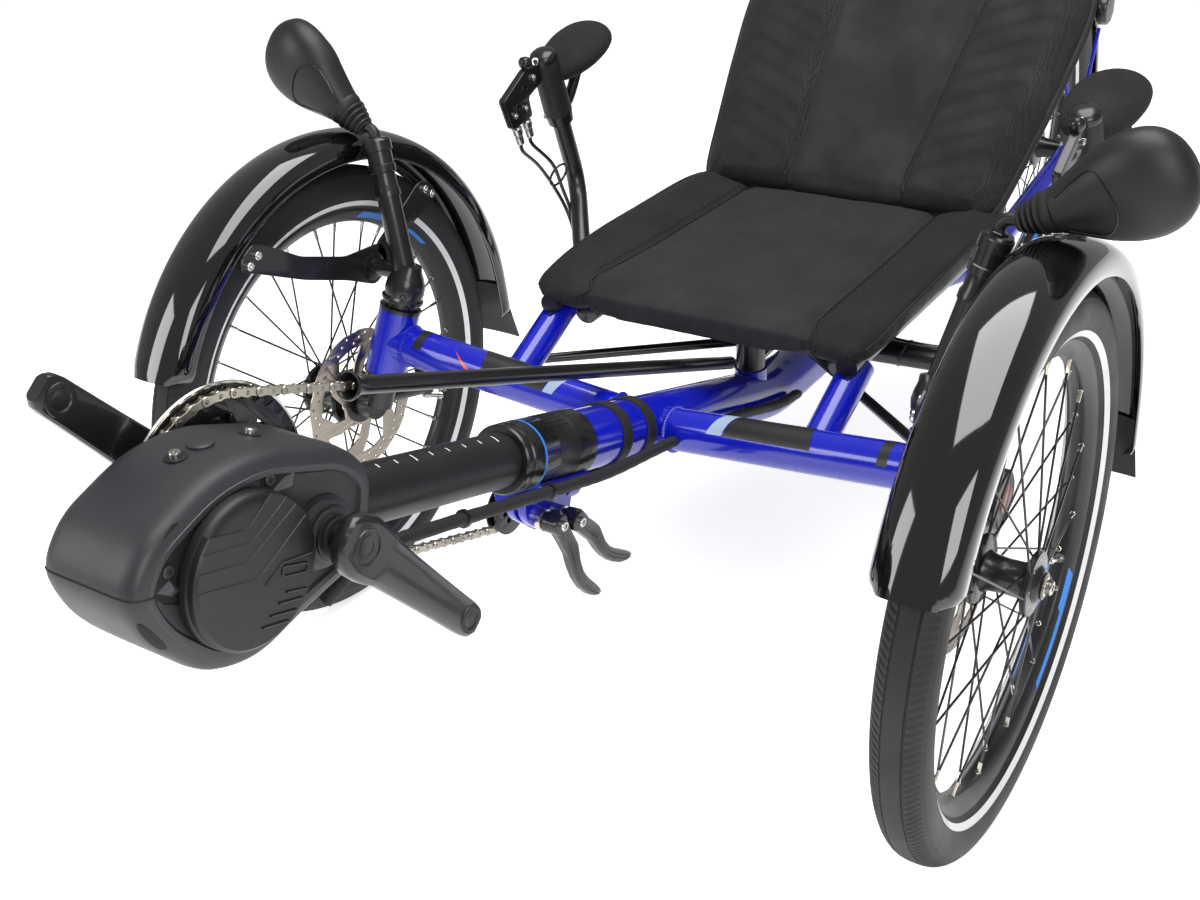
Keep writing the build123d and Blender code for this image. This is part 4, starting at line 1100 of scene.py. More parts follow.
def build_fender(name: str, body: str, center: Vector, first: float, last: float) -> None:
    """Glossy fender of curved section with rolled lips and rounded ends.

    Args:
        name: Ending of the CAD node's name.
        body: CAD body that carries it.
        center: Centre of its arc, in metres.
        first: Front end in degrees above forward.
        last: Rear end in degrees.
    """
    half = list(FENDER_SHAPE)
    outer = half + [(r, -y) for r, y in reversed(half[:-1])]
    lip = [(-23.2, 33.2), (-22.8, 32.0), (-21.4, 31.6)]
    inner = [(r - 2.0, y * 0.94) for r, y in half[1:]]
    ring = outer + [(r, -y) for r, y in lip]
    ring += [(r, -y) for r, y in inner] + [(r, y) for r, y in reversed(inner[:-1])]
    ring += [(r, y) for r, y in reversed(lip)]
    steps = 120
    rings = []
    for i in range(steps + 1):
        angle = first + (last - first) * i / steps
        edge = min(angle - first, last - angle)
        corner = 1.0 if edge > 3.2 else math.sqrt(max(0.0, 1 - ((3.2 - edge) / 3.2) ** 2))
        flare = max(0.0, (angle - (last - 12)) / 12) ** 2 * 5.0
        row = []
        for radius, y in ring:
            narrow = max(0.0, abs(y) - 22) * (1 - corner) if abs(y) > 22 else 0.0
            row.append(
                swing(
                    center,
                    FENDER_INNER + radius + flare + (1 - corner) * (6 if abs(y) > 30 else 0),
                    math.radians(angle),
                    math.copysign(max(0.0, abs(y) - narrow), y) if y else 0.0,
                )
            )
        rings.append(row)
    mesh = bmesh.new()
    add_rings(mesh, rings)
    make_piece(f"fender_{name}_shell", mesh, (FENDER_GLOSS,), body, (f"fender_{name}",), 50.0)


# ------------------------------------------------------------------ motor, cranks and chain
MOTOR_OUTLINE = (
    (-52, -30), (-52, 36), (-20, 58), (60, 66), (104, 54), (150, 20), (163, -14), (140, -48),
    (92, -80), (48, -80), (10, -58),
)
MOTOR_HALF_WIDTH = 44.0
COVER_MIDDLE = (73.0, -9.0)


def boom_basis(y: float) -> Basis:
    """Return the side plane of the boom at a distance left of the middle."""
    return Basis(Place.boom(BRACKET_X, y), BOOM_U, BOOM_V)


def rounded(
    outline: Sequence[tuple[float, float]], radius: float, steps: int = 5
) -> list[tuple[float, float]]:
    """Return a closed outline with its corners rounded."""
    points = []
    count = len(outline)
    for i, corner in enumerate(outline):
        before, after = outline[i - 1], outline[(i + 1) % count]
        to_before = Vector(before) - Vector(corner)
        to_after = Vector(after) - Vector(corner)
        reach = min(radius, to_before.length * 0.45, to_after.length * 0.45)
        first = Vector(corner) + to_before.normalized() * reach
        last = Vector(corner) + to_after.normalized() * reach
        for step in range(steps + 1):
            t = step / steps
            point = first * (1 - t) ** 2 + Vector(corner) * 2 * t * (1 - t) + last * t * t
            points.append((point.x, point.y))
    return points


def resample(outline: Sequence[tuple[float, float]], count: int) -> list[tuple[float, float]]:
    """Return points spaced evenly round a closed outline."""
    ends = list(outline) + [outline[0]]
    lengths = [math.dist(a, b) for a, b in zip(ends, ends[1:])]
    total = sum(lengths)
    points = []
    for i in range(count):
        along = total * i / count
        for (a, b), length in zip(zip(ends, ends[1:]), lengths):
            if along <= length:
                t = along / max(length, 1e-9)
                points.append((a[0] + (b[0] - a[0]) * t, a[1] + (b[1] - a[1]) * t))
                break
            along -= length
    return points


def shrunk(outline: Sequence[tuple[float, float]], amount: float) -> list[tuple[float, float]]:
    """Return a closed anticlockwise outline moved inward along its normals."""
    count = len(outline)
    points = []
    for i, (a, b) in enumerate(outline):
        before, after = Vector(outline[i - 1]), Vector(outline[(i + 1) % count])
        along = (after - before).normalized()
        points.append((a - along.y * amount, b + along.x * amount))
    return points


def add_inlay(
    mesh: bmesh.types.BMesh, skin: bpy.types.Object, outline: Sequence[Vector], lift: float, index: int
) -> None:
    """Add a thin patch that follows another piece's surface.

    Args:
        mesh: Mesh to add to.
        skin: Piece the patch lies on.
        outline: Points near the surface, in metres.
        lift: Height over the surface in millimetres.
        index: Material index.
    """
    middle = sum(outline, Vector()) / len(outline)
    rings = []
    for share, height in ((1.0, -0.8), (1.0, lift), (0.7, lift), (0.35, lift), (0.08, lift)):
        rings.append([near(skin, middle.lerp(spot, share), height) for spot in outline])
    add_rings(mesh, rings, index=index)


def add_wedge(
    mesh: bmesh.types.BMesh, basis: Basis, base: Sequence[
        tuple[float, float]
    ], ridge: tuple[float, float], height: float
) -> None:
    """Add a low pyramid with its ridge point over one corner of a side.

    Args:
        mesh: Mesh to add to.
        basis: Plane of the base.
        base: Corners in millimetres.
        ridge: Place of the highest point.
        height: Height of the highest point in millimetres.
    """
    low = [basis.point(a, b) for a, b in base]
    top = [
        basis.point(ridge[0] + (a - ridge[0]) * 0.06, ridge[1] + (b - ridge[1]) * 0.06, height)
        for a, b in base
    ]
    # The wedges take the lighter grey: a painted highlight.
    add_rings(mesh, [low, top], index=1)


MOTOR_PROFILE = (
    # (distance in from the outline, distance from the middle plane)
    (17.5, 41.2), (16.4, 42.4), (15.6, 43.4), (11.8, 43.7), (11.4, 43.1), (6.4, 42.0), (2.8, 39.2),
    (0.8, 34.8),
    (0.0, 28.0), (0.0, 0.0),
)
MOTOR_RECESSES = (
    ((60.3, 53.7), (28.9, 54.2), (29.1, 40.8), (39.1, 28.0), (53.4, 35.3), (59.0, 37.7)),
    (
        (130.5, 31.0), (117.8, 30.4), (95.6, 26.9), (110, 19), (117, 10), (122, -4), (124, -22),
        (143.5, -14.6), (141, 11.4), (137, 22),
    ),
)


def build_motor() -> None:
    """Moulded motor housing: rounded shell, border strip, recesses, wedges, screws and chin slot."""
    basis = boom_basis(0.0)
    outer = counter_clockwise(resample(rounded(MOTOR_OUTLINE, 24), 144))
    steps = list(MOTOR_PROFILE) + [(inset, -y) for inset, y in reversed(MOTOR_PROFILE[:-1])]
    mesh = bmesh.new()
    rings = []
    for inset, y in steps:
        ring = shrunk(outer, inset)
        rings.append([basis.point(a, b) + Vector((0, y, 0)) * MM for a, b in ring])
    add_rings(mesh, rings)
    # Faces on the outermost side strip take the lighter grey: a painted highlight on the raised strip.
    for face in mesh.faces:
        if abs(face.calc_center_median().y) > 43.3 * MM:
            face.material_index = 1
    finishes = (MOTOR_NYLON, MOTOR_PAINTED_HIGHLIGHT, COVER_NYLON, BOLT_STEEL, PAINTED_SHADE_AND_JOINT_BLACK)
    shell = make_piece("motor_shell", mesh, finishes, "frame", ("motor_housing",), 36.0)
    # The joint between cap and belly follows the shell over its nose.
    nose = min(range(len(outer)), key=lambda k: math.dist(outer[k], (163.0, -14.0)))
    trim = motor_trim(shell, [ring[nose] for ring in rings])
    make_piece("motor_trim", trim, finishes, "frame", (), 36.0)


def motor_trim(shell: bpy.types.Object, over_nose: list[Vector]) -> bmesh.types.BMesh:
    """Return the recesses, wedges, screws, joint, bearing cup and chin slot of the motor.

    Args:
        shell: Finished motor housing.
        over_nose: Points of the housing's surface from its left to its right side.
    """
    trim = bmesh.new()
    left = boom_basis(41.0)
    out = LEFT
    # Each recess is a thin near-black plate on the side, not a hollow: painted shade.
    for pocket in MOTOR_RECESSES:
        add_plate(trim, boom_basis(41.7), rounded(pocket, 2), 0.9, 0.2, 4)
    add_wedge(trim, left, ((28.3, 53.7), (38.8, 27.9), (53.4, 35.3)), (36.5, 40.0), -6.0)
    add_wedge(
        trim,
        left,
        ((141.5, -11.0), (131.1, -3.2), (119.4, -13.9), (128.0, -16.5)),
        (130.5, -9.0),
        -5.0,
    )
    for a, b in ((52.3, 45.5), (132.6, 1.5)):
        add_turned(trim, left.point(a, b, -0.6), out, ((0, 4.2), (1.2, 4.2), (1.8, 3.4)), 24, 0)
        # A near-black hexagon stands for the screw's socket: painted shade.
        add_turned(trim, left.point(a, b, -0.8), out, ((0, 2.0), (1.9, 2.0), (2.0, 1.8)), 6, 4)
    joint = [left.point(a, b, -0.4) for a, b in ((117.0, -23.5), (134.0, -19.0))]
    add_sweep(trim, [*joint, *over_nose, boom_basis(-41.0).point(134.0, -19.0)], 0.75, 6, 1.0, 4)
    # Bearing cup round the crank axle; its innermost ring is near-black, painted shade in the bore.
    hub = Place.boom(BRACKET_X, MOTOR_HALF_WIDTH - 4)
    cup = (
        (27.0, 3.4, 2), (24.0, 8.6, 0), (21.4, 9.6, 2), (19.0, 12.0, 0), (16.0, 15.0, 2),
        (13.5, 18.0, 4),
    )
    for radius, reach, index in cup:
        add_turned(trim, hub, out, ((0, radius), (reach - 0.8, radius), (reach, radius - 1.2)), 48, index)
    # Two capped screws and a blind plug on top.
    for a, b, plug in ((29.7, 64.3, False), (92.7, 57.0, False), (72.5, 60.2, True)):
        spot = near(shell, boom_basis(0.0).point(a, b))
        normal = (near(shell, spot, 5.0) - spot).normalized()
        if plug:
            add_turned(trim, spot - normal * MM, normal, ((0, 9.0), (2.4, 9.0), (3.2, 7.6)), 28, 0)
        else:
            add_turned(trim, spot - normal * MM, normal, ((0, 7.6), (1.9, 7.6), (2.2, 6.4)), 28, 2)
            add_bolt(trim, spot + normal * 0.8 * MM, normal, 4.0, 3)
    # Chin slot on the lower left: a near-black patch on the shell, painted shade where the slot opens.
    middle = boom_basis(38.0).point(139.0, -38.0)
    slot = []
    for k in range(24):
        turn = math.tau * k / 24
        reach = (BOOM_U * 0.73 + BOOM_V * 0.68) * math.cos(turn) * 15
        slot.append(middle + (reach + out * math.sin(turn) * 4) * MM)
    add_inlay(trim, shell, slot, 0.35, 4)
    return trim


COVER_STEPS = (
    # Edge of each raised step of the side cover: from its front rim to its upper rim.
    ((53.0, 31.5), (10.6, 31.6), (-8.0, 52.0)),
    ((53.0, 22.0), (6.2, 23.0), (-21.0, 47.0)),
    ((53.0, 10.5), (8.9, 10.5), (-30.0, 42.0)),
    ((53.0, -1.5), (0.1, -2.4), (-40.0, 34.0)),
)
COVER_RIBS = (
    ((-6, -9), (-21, 4), (-46, 5.5)), ((-25, -17.5), (-43, -19)), ((-19, -24), (-40, -24.8)),
    ((-12, -31), (-35, -32)),
    ((-5, -37.5), (-28, -38)), ((-20, 1), (-43, -1), (-43, -7), (-20, -6), (-20, 1)),
)


def build_motor_cover() -> None:
    """Round side cover with four raised steps and short ribs."""
    base = boom_basis(MOTOR_HALF_WIDTH + 0.3)
    middle = base.point(*COVER_MIDDLE)
    out = LEFT
    mesh = bmesh.new()
    dome = (
        (0, 53), (5.0, 53), (7.6, 52.2), (9.8, 50.2), (11.0, 47.2), (11.5, 44.0), (11.8, 36.0),
        (12.0, 0.4),
    )
    add_turned(mesh, middle, out, dome, 96)
    for level, (front, bend, top) in enumerate(COVER_STEPS):
        reach = 52.4 - level * 0.7
        first = math.atan2(top[1], top[0])
        last = math.atan2(front[1], math.sqrt(reach * reach - front[1] * front[1])) + 2 * math.pi
        edge = []
        for k in range(61):
            turn = first + (last - first) * k / 60
            edge.append((reach * math.cos(turn), reach * math.sin(turn)))
        edge += [edge[-1], (bend[0] + 3, bend[1]), (bend[0] - 2, bend[1] + 2)][1:]
        plane = Basis(middle + out * (12.6 + level * 0.7) * MM, BOOM_U, BOOM_V)
        add_plate(mesh, plane, edge, 8.0, 0.7)
    side_plane = Basis(middle + out * 14.7 * MM, BOOM_U, BOOM_V)
    for rib in COVER_RIBS:
        path = [side_plane.point(a, b) + out * 0.3 * MM for a, b in rib]
        add_sweep(mesh, filleted(path, 3.0, 5) if len(path) > 2 else path, 0.9, 8)
    make_piece("motor_side_cover", mesh, (COVER_NYLON,), "frame", ("motor_cover",), 30.0)


CRANK_STATIONS = (
    # (along the arm, half height, depth)
    (-23.0, 5.0, 11.0), (-21.0, 12.0, 13.5), (-14.0, 18.5, 14.8), (0.0, 22.6, 15.0),
    (16.0, 22.0, 15.0), (30.0, 18.6, 14.6), (60.0, 17.0, 14.2), (100.0, 15.4, 14.2),
    (138.0, 14.2, 14.6), (154.0, 13.8, 14.6), (161.0, 12.6, 14.2), (165.0, 9.4, 13.0),
)
CRANK_BOSS = (
    # (height over the arm, radius) of the collar and the self-extracting bolt
    (-0.4, 14.0), (0.6, 13.4), (0.7, 11.6), (-0.6, 11.2), (-0.8, 8.8), (0.2, 8.4), (0.3, 5.2),
    (-3.0, 5.0), (-3.1, 0.1),
)


def add_pedal_eye(mesh: bmesh.types.BMesh, eye: Vector, out: Vector) -> None:
    """Add the faced rings round a crank's dark threaded bore.

    Args:
        mesh: Mesh to add to.
        eye: Middle of the eye on the crank's inner face.
        out: Direction away from the trike's middle.
    """
    for face_at, direction in ((15.0, out), (0.0, -out)):
        seat = eye + out * face_at * MM
        rows = []
        for reach, radius in ((-0.4, 11.8), (0.5, 11.4), (0.6, 8.2), (-0.2, 7.4)):
            rows.append(circle(seat + direction * reach * MM, direction, radius, 36))
        add_rings(mesh, rows, capped=False, index=2)
        thread = []
        for k in range(16):
            depth = -0.2 - k * 0.45
            thread.append(circle(seat + direction * depth * MM, direction, 7.4 - 0.5 * (k % 2), 36))
        add_rings(mesh, thread, capped=False, index=2)
        floor = [
            circle(seat - direction * depth * MM, direction, radius, 36)
            for depth, radius in ((7.2, 7.3), (7.3, 0.05))
        ]
        add_rings(mesh, floor, capped=False, index=1)


def build_cranks() -> None:
    """Forged cranks with faceted faces, a centre bolt and threaded pedal eyes."""
    mesh = bmesh.new()
    center = Place.boom(BRACKET_X)
    for side in (-1, 1):
        u = CRANK_U * -side
        out = Vector((0, side, 0))
        inner = center + out * 69 * MM

        def place(a: float, b: float, c: float) -> Vector:
            return inner + (u * a + CRANK_V * b + out * c) * MM

        rings = []
        for along, half, depth in CRANK_STATIONS:
            bevel = min(5.0, half * 0.35)
            low = 15.0 - depth
            ring = [
                (half, low + 2.5), (half - 1.6, low + 0.6), (half - 4.0, low), (-half + 4.0, low),
                (-half + 1.6, low + 0.6), (-half, low + 2.5), (-half, depth - bevel),
                (-half + 1.4, depth - bevel * 0.5),
                (-half + bevel, depth), (0.0, depth + (0.5 if 30 < along < 130 else 0.0)),
                (half - bevel, depth),
                (half - 1.4, depth - bevel * 0.5), (half, depth - bevel),
            ]
            rings.append([place(along, b, c) for b, c in ring])
        add_rings(mesh, rings)
        add_pedal_eye(mesh, place(CRANK_LENGTH, 0, 0), out)
        # Boss collar and self-extracting bolt.
        boss = place(0, 0, 15.0)
        rows = [circle(boss + out * reach * MM, out, radius, 40) for reach, radius in CRANK_BOSS]
        add_rings(mesh, rows, capped=False, index=1)
        add_turned(mesh, inner - out * 3 * MM, out, ((0, 15), (3.4, 17)), 36, 1)
    spindle = center - Vector((0, 69, 0)) * MM
    add_turned(mesh, spindle, LEFT, ((0, 11), (138, 11)), 32, 1)
    make_piece(
        "forged_cranks", mesh, (BLACK_COAT, BLACK_ANODISED, RIM_ANODISED), "crank", ("cranks",), 34.0
    )


def build_chainring() -> None:
    """Toothed chainring with a black guard whose rim is polished."""
    center = Place.boom(BRACKET_X, CHAIN_Y)
    ahead, across = CRANK_U, CRANK_V
    basis = Basis(center, ahead, across)
    pitch_radius = CHAIN_PITCH / (2 * math.sin(math.pi / RING_TEETH))
    teeth = []
    for tooth in range(RING_TEETH):
        for share, lift in (
            (0.0, -4.2), (0.12, -4.0), (0.3, -1.0), (0.42, 2.6), (0.5, 3.2), (0.58, 2.6),
            (0.7, -1.0), (0.88, -4.0),
        ):
            teeth.append(on_circle(pitch_radius + lift, math.tau * (tooth + share) / RING_TEETH))
    windows = []
    for k in range(5):
        first = 72 * k + 12
        outer = arc_points(62, first, first + 48, 12)
        windows.append(list(reversed(outer + arc_points(36, first + 42, first + 6, 8))))
    bore = round_hole(16, 350, 35)
    mesh = bmesh.new()
    add_cutout(mesh, basis, [teeth, bore, *windows], 2.2, 0.3, 0)
    outboard = Vector((0, -1, 0))
    guard_at = center + outboard * 4.8 * MM
    guard = Basis(guard_at + outboard * 0.6 * MM, ahead, across)
    rim = arc_points(84, 0, 357, 119)
    holes = [round_hole(6.0, 340, 17, on_circle(67, math.tau * (k + 0.5) / 10)) for k in range(10)]
    add_cutout(mesh, guard, [rim, bore, *holes], 1.4, 0.3, 0)
    edge = [
        circle(guard_at + outboard * d * MM, outboard, r, 144)
        for d, r in ((-0.6, 82.6), (-0.8, 84.4), (0.6, 85.0), (2.2, 84.4), (2.3, 82.6))
    ]
    add_rings(mesh, edge, capped=False, index=1)
    for k in range(5):
        a = math.tau * (k + 0.5) / 5 + 0.3
        bolt = center + (ahead * math.cos(a) + across * math.sin(a)) * 52 * MM
        add_bolt(mesh, bolt + outboard * 6.6 * MM, outboard, 4.6, 1)
        add_turned(mesh, bolt, outboard, ((0, 5.2), (6.8, 5.2)), 16, 0)
    for reach, radius in ((6.8, 34.0), (8.6, 24.0)):
        add_turned(mesh, center, outboard, ((0, radius), (reach - 1, radius), (reach, radius - 2)), 48, 0)
    finishes = (BLACK_ANODISED, BOLT_STEEL, CHAIN_STEEL)
    make_piece("chainring_toothed", mesh, finishes, "crank", ("chainring",), 34.0)


# Chain wheels in the order of the chain's run: (x, z, pitch radius, turn).
def chain_wheels() -> list[tuple[float, float, float, int]]:
    """Return the wheels that the chain runs round."""
    ring = CHAIN_PITCH / (2 * math.sin(math.pi / RING_TEETH))
    sprocket = CHAIN_PITCH / (2 * math.sin(math.pi / 26))
    bracket_z = BOOM_HEIGHT + BRACKET_X * math.tan(BOOM_RISE)
    return [
        (BRACKET_X, bracket_z, ring, 1),
        (-372.0, 229.0, 24.0, -1),
        (-WHEELBASE, AXLE_HEIGHT, sprocket, 1),
        (-WHEELBASE + 20, AXLE_HEIGHT - 78, 20.0, -1),
        (-WHEELBASE + 55, AXLE_HEIGHT - 128, 20.0, 1),
        (128.0, 263.0, 18.0, 1),
    ]


def chain_runs() -> list[tuple[tuple[float, float], tuple[float, float]]]:
    """Return the straight runs between the chain wheels as (x, z) pairs."""
    wheels = chain_wheels()
    runs = []
    for (x1, z1, r1, t1), (x2, z2, r2, t2) in zip(wheels, wheels[1:] + wheels[:1]):
        gap = math.hypot(x2 - x1, z2 - z1)
        normal = math.atan2(z2 - z1, x2 - x1) - math.pi / 2 + math.asin((t1 * r1 - t2 * r2) / gap)
        across = (math.cos(normal), math.sin(normal))
        runs.append(
            (
                (x1 + t1 * r1 * across[0], z1 + t1 * r1 * across[1]),
                (x2 + t2 * r2 * across[0], z2 + t2 * r2 * across[1]),
            )
        )
    return runs


def chain_line() -> list[tuple[float, float]]:
    """Return close points along the whole closed chain."""
    wheels = chain_wheels()
    runs = chain_runs()
    line = []
    for index, (x, z, radius, turn) in enumerate(wheels):
        meet, leave = runs[index - 1][1], runs[index][0]
        first = math.atan2(meet[1] - z, meet[0] - x)
        last = math.atan2(leave[1] - z, leave[0] - x)
        opening = (last - first) % math.tau
        if turn < 0:
            opening -= math.tau
        count = max(3, int(abs(opening) * radius / 1.5))
        line += [
            (
                x + radius * math.cos(first + opening * i / count),
                z + radius * math.sin(first + opening * i / count),
            )
            for i in range(count)
        ]
        (x1, z1), (x2, z2) = runs[index]
        count = max(2, int(math.dist((x1, z1), (x2, z2)) / 3))
        line += [(x1 + (x2 - x1) * i / count, z1 + (z2 - z1) * i / count) for i in range(count)]
    return line


def build_chain() -> None:
    """Roller chain: waisted outer and inner plates with pin heads."""
    line = chain_line()
    loop = line + [line[0]]
    lengths = [math.dist(a, b) for a, b in zip(loop, loop[1:])]
    total = sum(lengths)
    links = round(total / CHAIN_PITCH / 2) * 2
    pins: list[tuple[float, float]] = []
    walked, target = 0.0, 0.0
    for (a, b), length in zip(zip(loop, loop[1:]), lengths):
        while len(pins) < links and target <= walked + length:
            t = (target - walked) / length
            pins.append((a[0] + (b[0] - a[0]) * t, a[1] + (b[1] - a[1]) * t))
            target += total / links
        walked += length
    mesh = bmesh.new()
    waist = []
    for end, turn in ((1, 0.0), (-1, 180.0)):
        for i in range(7):
            a = math.radians(turn - 75 + 25 * i)
            waist.append((end * 0.5 * CHAIN_PITCH + 3.9 * math.cos(a), 3.9 * math.sin(a)))
        waist.append((0.0, 2.7 * end))
    for number, first in enumerate(pins):
        second = pins[(number + 1) % len(pins)]
        along = Vector((second[0] - first[0], 0, second[1] - first[1])).normalized()
        up = Vector((-along.z, 0, along.x))
        middle = Place.at((first[0] + second[0]) / 2, CHAIN_Y, (first[1] + second[1]) / 2)
        # Outer and inner plates take turns along the chain.
        inside, outside = (2.35, 3.25) if number % 2 else (1.3, 2.2)
        for face_side in (1, -1):
            low = middle + Vector((0, face_side * inside, 0)) * MM
            high = middle + Vector((0, face_side * outside, 0)) * MM
            sheet = [
                [low + (along * a + up * b) * MM for a, b in waist],
                [high + (along * a * 0.96 + up * b * 0.94) * MM for a, b in waist],
            ]
            add_rings(mesh, sheet)
        pin = Place.at(first[0], CHAIN_Y, first[1])
        add_turned(
            mesh,
            pin - Vector((0, 3.7, 0)) * MM,
            LEFT,
            ((0, 1.2), (0.3, 1.8), (7.1, 1.8), (7.4, 1.2)),
            8,
            1,
        )
        add_turned(mesh, pin - Vector((0, 1.2, 0)) * MM, LEFT, ((0, 3.1), (2.4, 3.1)), 8)
    make_piece("roller_chain", mesh, (CHAIN_STEEL, DISC_STEEL), "frame", ("chain",), 40.0)


def build_chain_tubes() -> None:
    """Chain guide tubes with flared mouths."""
    runs = chain_runs()
    mesh = bmesh.new()

    def along(run: int, share: float) -> Vector:
        (x1, z1), (x2, z2) = runs[run]
        return Place.at(x1 + (x2 - x1) * share, CHAIN_Y, z1 + (z2 - z1) * share)

    for run, first, last, flare in ((0, 0.14, 0.93, 12.2), (4, 0.12, 0.93, 7.9)):
        start, end = along(run, first), along(run, last)
        axis = (end - start).normalized()
        steps = (
            (1.2, flare - 2.2), (0.0, flare - 1.0), (0.0, flare), (1.4, flare + 0.2),
            (5.0, flare - 1.2), (12.0, 8.0), (20.0, 7.6),
        )
        rows = [circle(start + axis * a * MM, axis, r, 28) for a, r in steps]
        rows.append(circle(end, axis, 7.6, 28))
        rows.append(circle(end, axis, 5.9, 28))
        rows.append(circle(start + axis * 18 * MM, axis, 5.9, 28))
        add_rings(mesh, rows, capped=False, around=True)
    make_piece("chain_guide_tubes", mesh, (TUBE_POLY,), "frame", ("chain_tubes",), 50.0)


# ------------------------------------------------------------------ clamp and frame details
def boom_ring(x: float, radius: float) -> list[Vector]:
    """Return a circle round the boom at a place ahead of the axle."""
    return circle(Place.boom(x), BOOM_U, radius, 64)


def build_collar() -> None:
    """Clamp collar with stepped edges, a grip band, a coloured line and tightening slot ribs."""
    mesh = bmesh.new()
    # (x ahead of the front axle, radius, material) along the collar.
    steps = (
        (196.0, 24.4, 0), (196.0, 29.0, 0), (194.5, 30.4, 0), (190.0, 30.6, 0), (189.0, 29.4, 0),
        (187.0, 29.4, 0),
        (186.0, 30.8, 0), (172.5, 31.0, 0), (172.4, 31.05, 1), (169.8, 31.05, 1), (169.7, 31.0, 0),
        (150.0, 31.0, 0),
        (149.0, 30.4, 2), (120.0, 30.4, 2), (119.0, 31.0, 0), (94.0, 31.0, 0), (92.0, 29.6, 0),
        (92.0, 24.4, 0),
    )
    rows = [[mesh.verts.new(p) for p in boom_ring(x, radius)] for x, radius, _ in steps]
    for (first, second), (_, _, index) in zip(zip(rows, rows[1:]), steps):
        for i in range(len(first)):
            j = (i + 1) % len(first)
            mesh.faces.new((first[i], first[j], second[j], second[i])).material_index = index
    # Tightening slot ribs on top of the band.
    for k in range(7):
        angle = math.radians(60 + k * 10)
        out = Vector((0, math.cos(angle), 0)) + BOOM_V * math.sin(angle)
        start = Place.boom(147.0) + out * 30.5 * MM
        add_sweep(mesh, [start, Place.boom(123.0) + out * 30.5 * MM], 0.7, 6, index=2)
    finishes = (BLACK_ANODISED, DECAL_BLUE, SHELL_PLASTIC)
    make_piece("boom_clamp_collar", mesh, finishes, "frame", ("boom_collar",), 30.0)


def build_boom_ticks() -> None:
    """White length marks printed on top of the boom."""
    mesh = bmesh.new()
    for k in range(9):
        x = 214.0 + k * 20.0
        length = 9.0 if k % 5 == 0 else 5.0
        points = []
        for width in (-0.7, 0.7):
            row = []
            for i in range(4):
                angle = math.radians(74) + (length * (i / 3 - 0.5)) / 24.0
                out = Vector((0, math.cos(angle), 0)) + BOOM_V * math.sin(angle)
                row.append(mesh.verts.new(Place.boom(x + width) + out * 24.12 * MM))
            points.append(row)
        for i in range(3):
            mesh.faces.new((points[0][i], points[0][i + 1], points[1][i + 1], points[1][i]))
    make_piece("boom_length_marks", mesh, (DECAL_WHITE,), "frame")


# (ahead of the axle, below the boom, sideways reach per 108 mm of fall) of each lever.
LEVER_PLACES = ((142.0, 60.0, 48.0), (114.0, 62.0, 92.0))
LEVER_BLADE = (
    # (along, across, half width, thickness) from the pivot to the finger end
    (-9.0, 1.5, 7.0, 11.0), (0.0, 2.0, 9.5, 12.5), (10.0, 2.2, 9.0, 12.5), (18.0, 2.0, 8.2, 12.0),
    (30.0, 2.5, 8.6, 10.5), (42.0, 2.8, 8.4, 11.5), (50.0, 0.5, 7.2, 12.5), (60.0, -2.0, 6.2, 12.5),
    (74.0, -3.4, 6.0, 12.0), (90.0, -1.6, 6.6, 11.5), (106.0, 3.0, 6.6, 11.0),
    (116.0, 7.0, 5.0, 9.5), (122.0, 9.8, 2.4, 7.0),
)
LEVER_SECTION = (
    # (shares of the half width and of the half thickness), with a hollow on the outside
    (1.0, 0.55), (0.8, 0.9), (0.45, 1.0), (0.2, 0.72), (-0.2, 0.72), (-0.45, 1.0), (-0.8, 0.9),
    (-1.0, 0.55), (-1.0, -0.55), (-0.8, -0.9), (-0.45, -1.0), (0.45, -1.0), (0.8, -0.9), (1.0, -0.55),
)


def build_levers() -> None:
    """Quick-release levers: brass cam bushes, forked heads and hollow-backed blades."""
    mesh = bmesh.new()
    out = LEFT
    for x, drop, sway in LEVER_PLACES:
        head = Place.boom(x, 0.0, -drop) + out * 27 * MM
        u = Vector((-sway, 0, -108)).normalized()
        v = u.cross(out).normalized() * -1
        rings = []
        for along, across, half, thick in LEVER_BLADE:
            middle = head + (u * along + v * across) * MM
            rings.append([
                middle + (v * a * half + out * c * thick / 2) * MM for a, c in LEVER_SECTION
            ])
        smooth = []
        for i in range(len(rings) - 1):
            for step in range(3):
                t = step / 3
                smooth.append([p.lerp(q, t) for p, q in zip(rings[i], rings[i + 1])])
        smooth.append(rings[-1])
        add_rings(mesh, smooth)
        barrel = Place.boom(x, 11.3, -drop)
        add_turned(mesh, barrel, out, ((0, 10.2), (5.2, 10.2), (5.6, 9.6), (6.0, 8.0)), 36, 1)
        add_turned(mesh, barrel + out * 6 * MM, out, ((0, 8.0), (6, 8.0)), 24, 0)
        add_turned(mesh, head - out * 7 * MM, out, ((0, 9.6), (13.6, 9.6), (14.6, 8.4)), 36, 0)
        add_bolt(mesh, head + out * 7.2 * MM, out, 4.6, 2)
    make_piece(
        "quick_release_levers",
        mesh,
        (BLACK_COAT, NIPPLE_BRASS, BOLT_STEEL),
        "frame",
        ("clamp_levers",),
        28.0,
    )


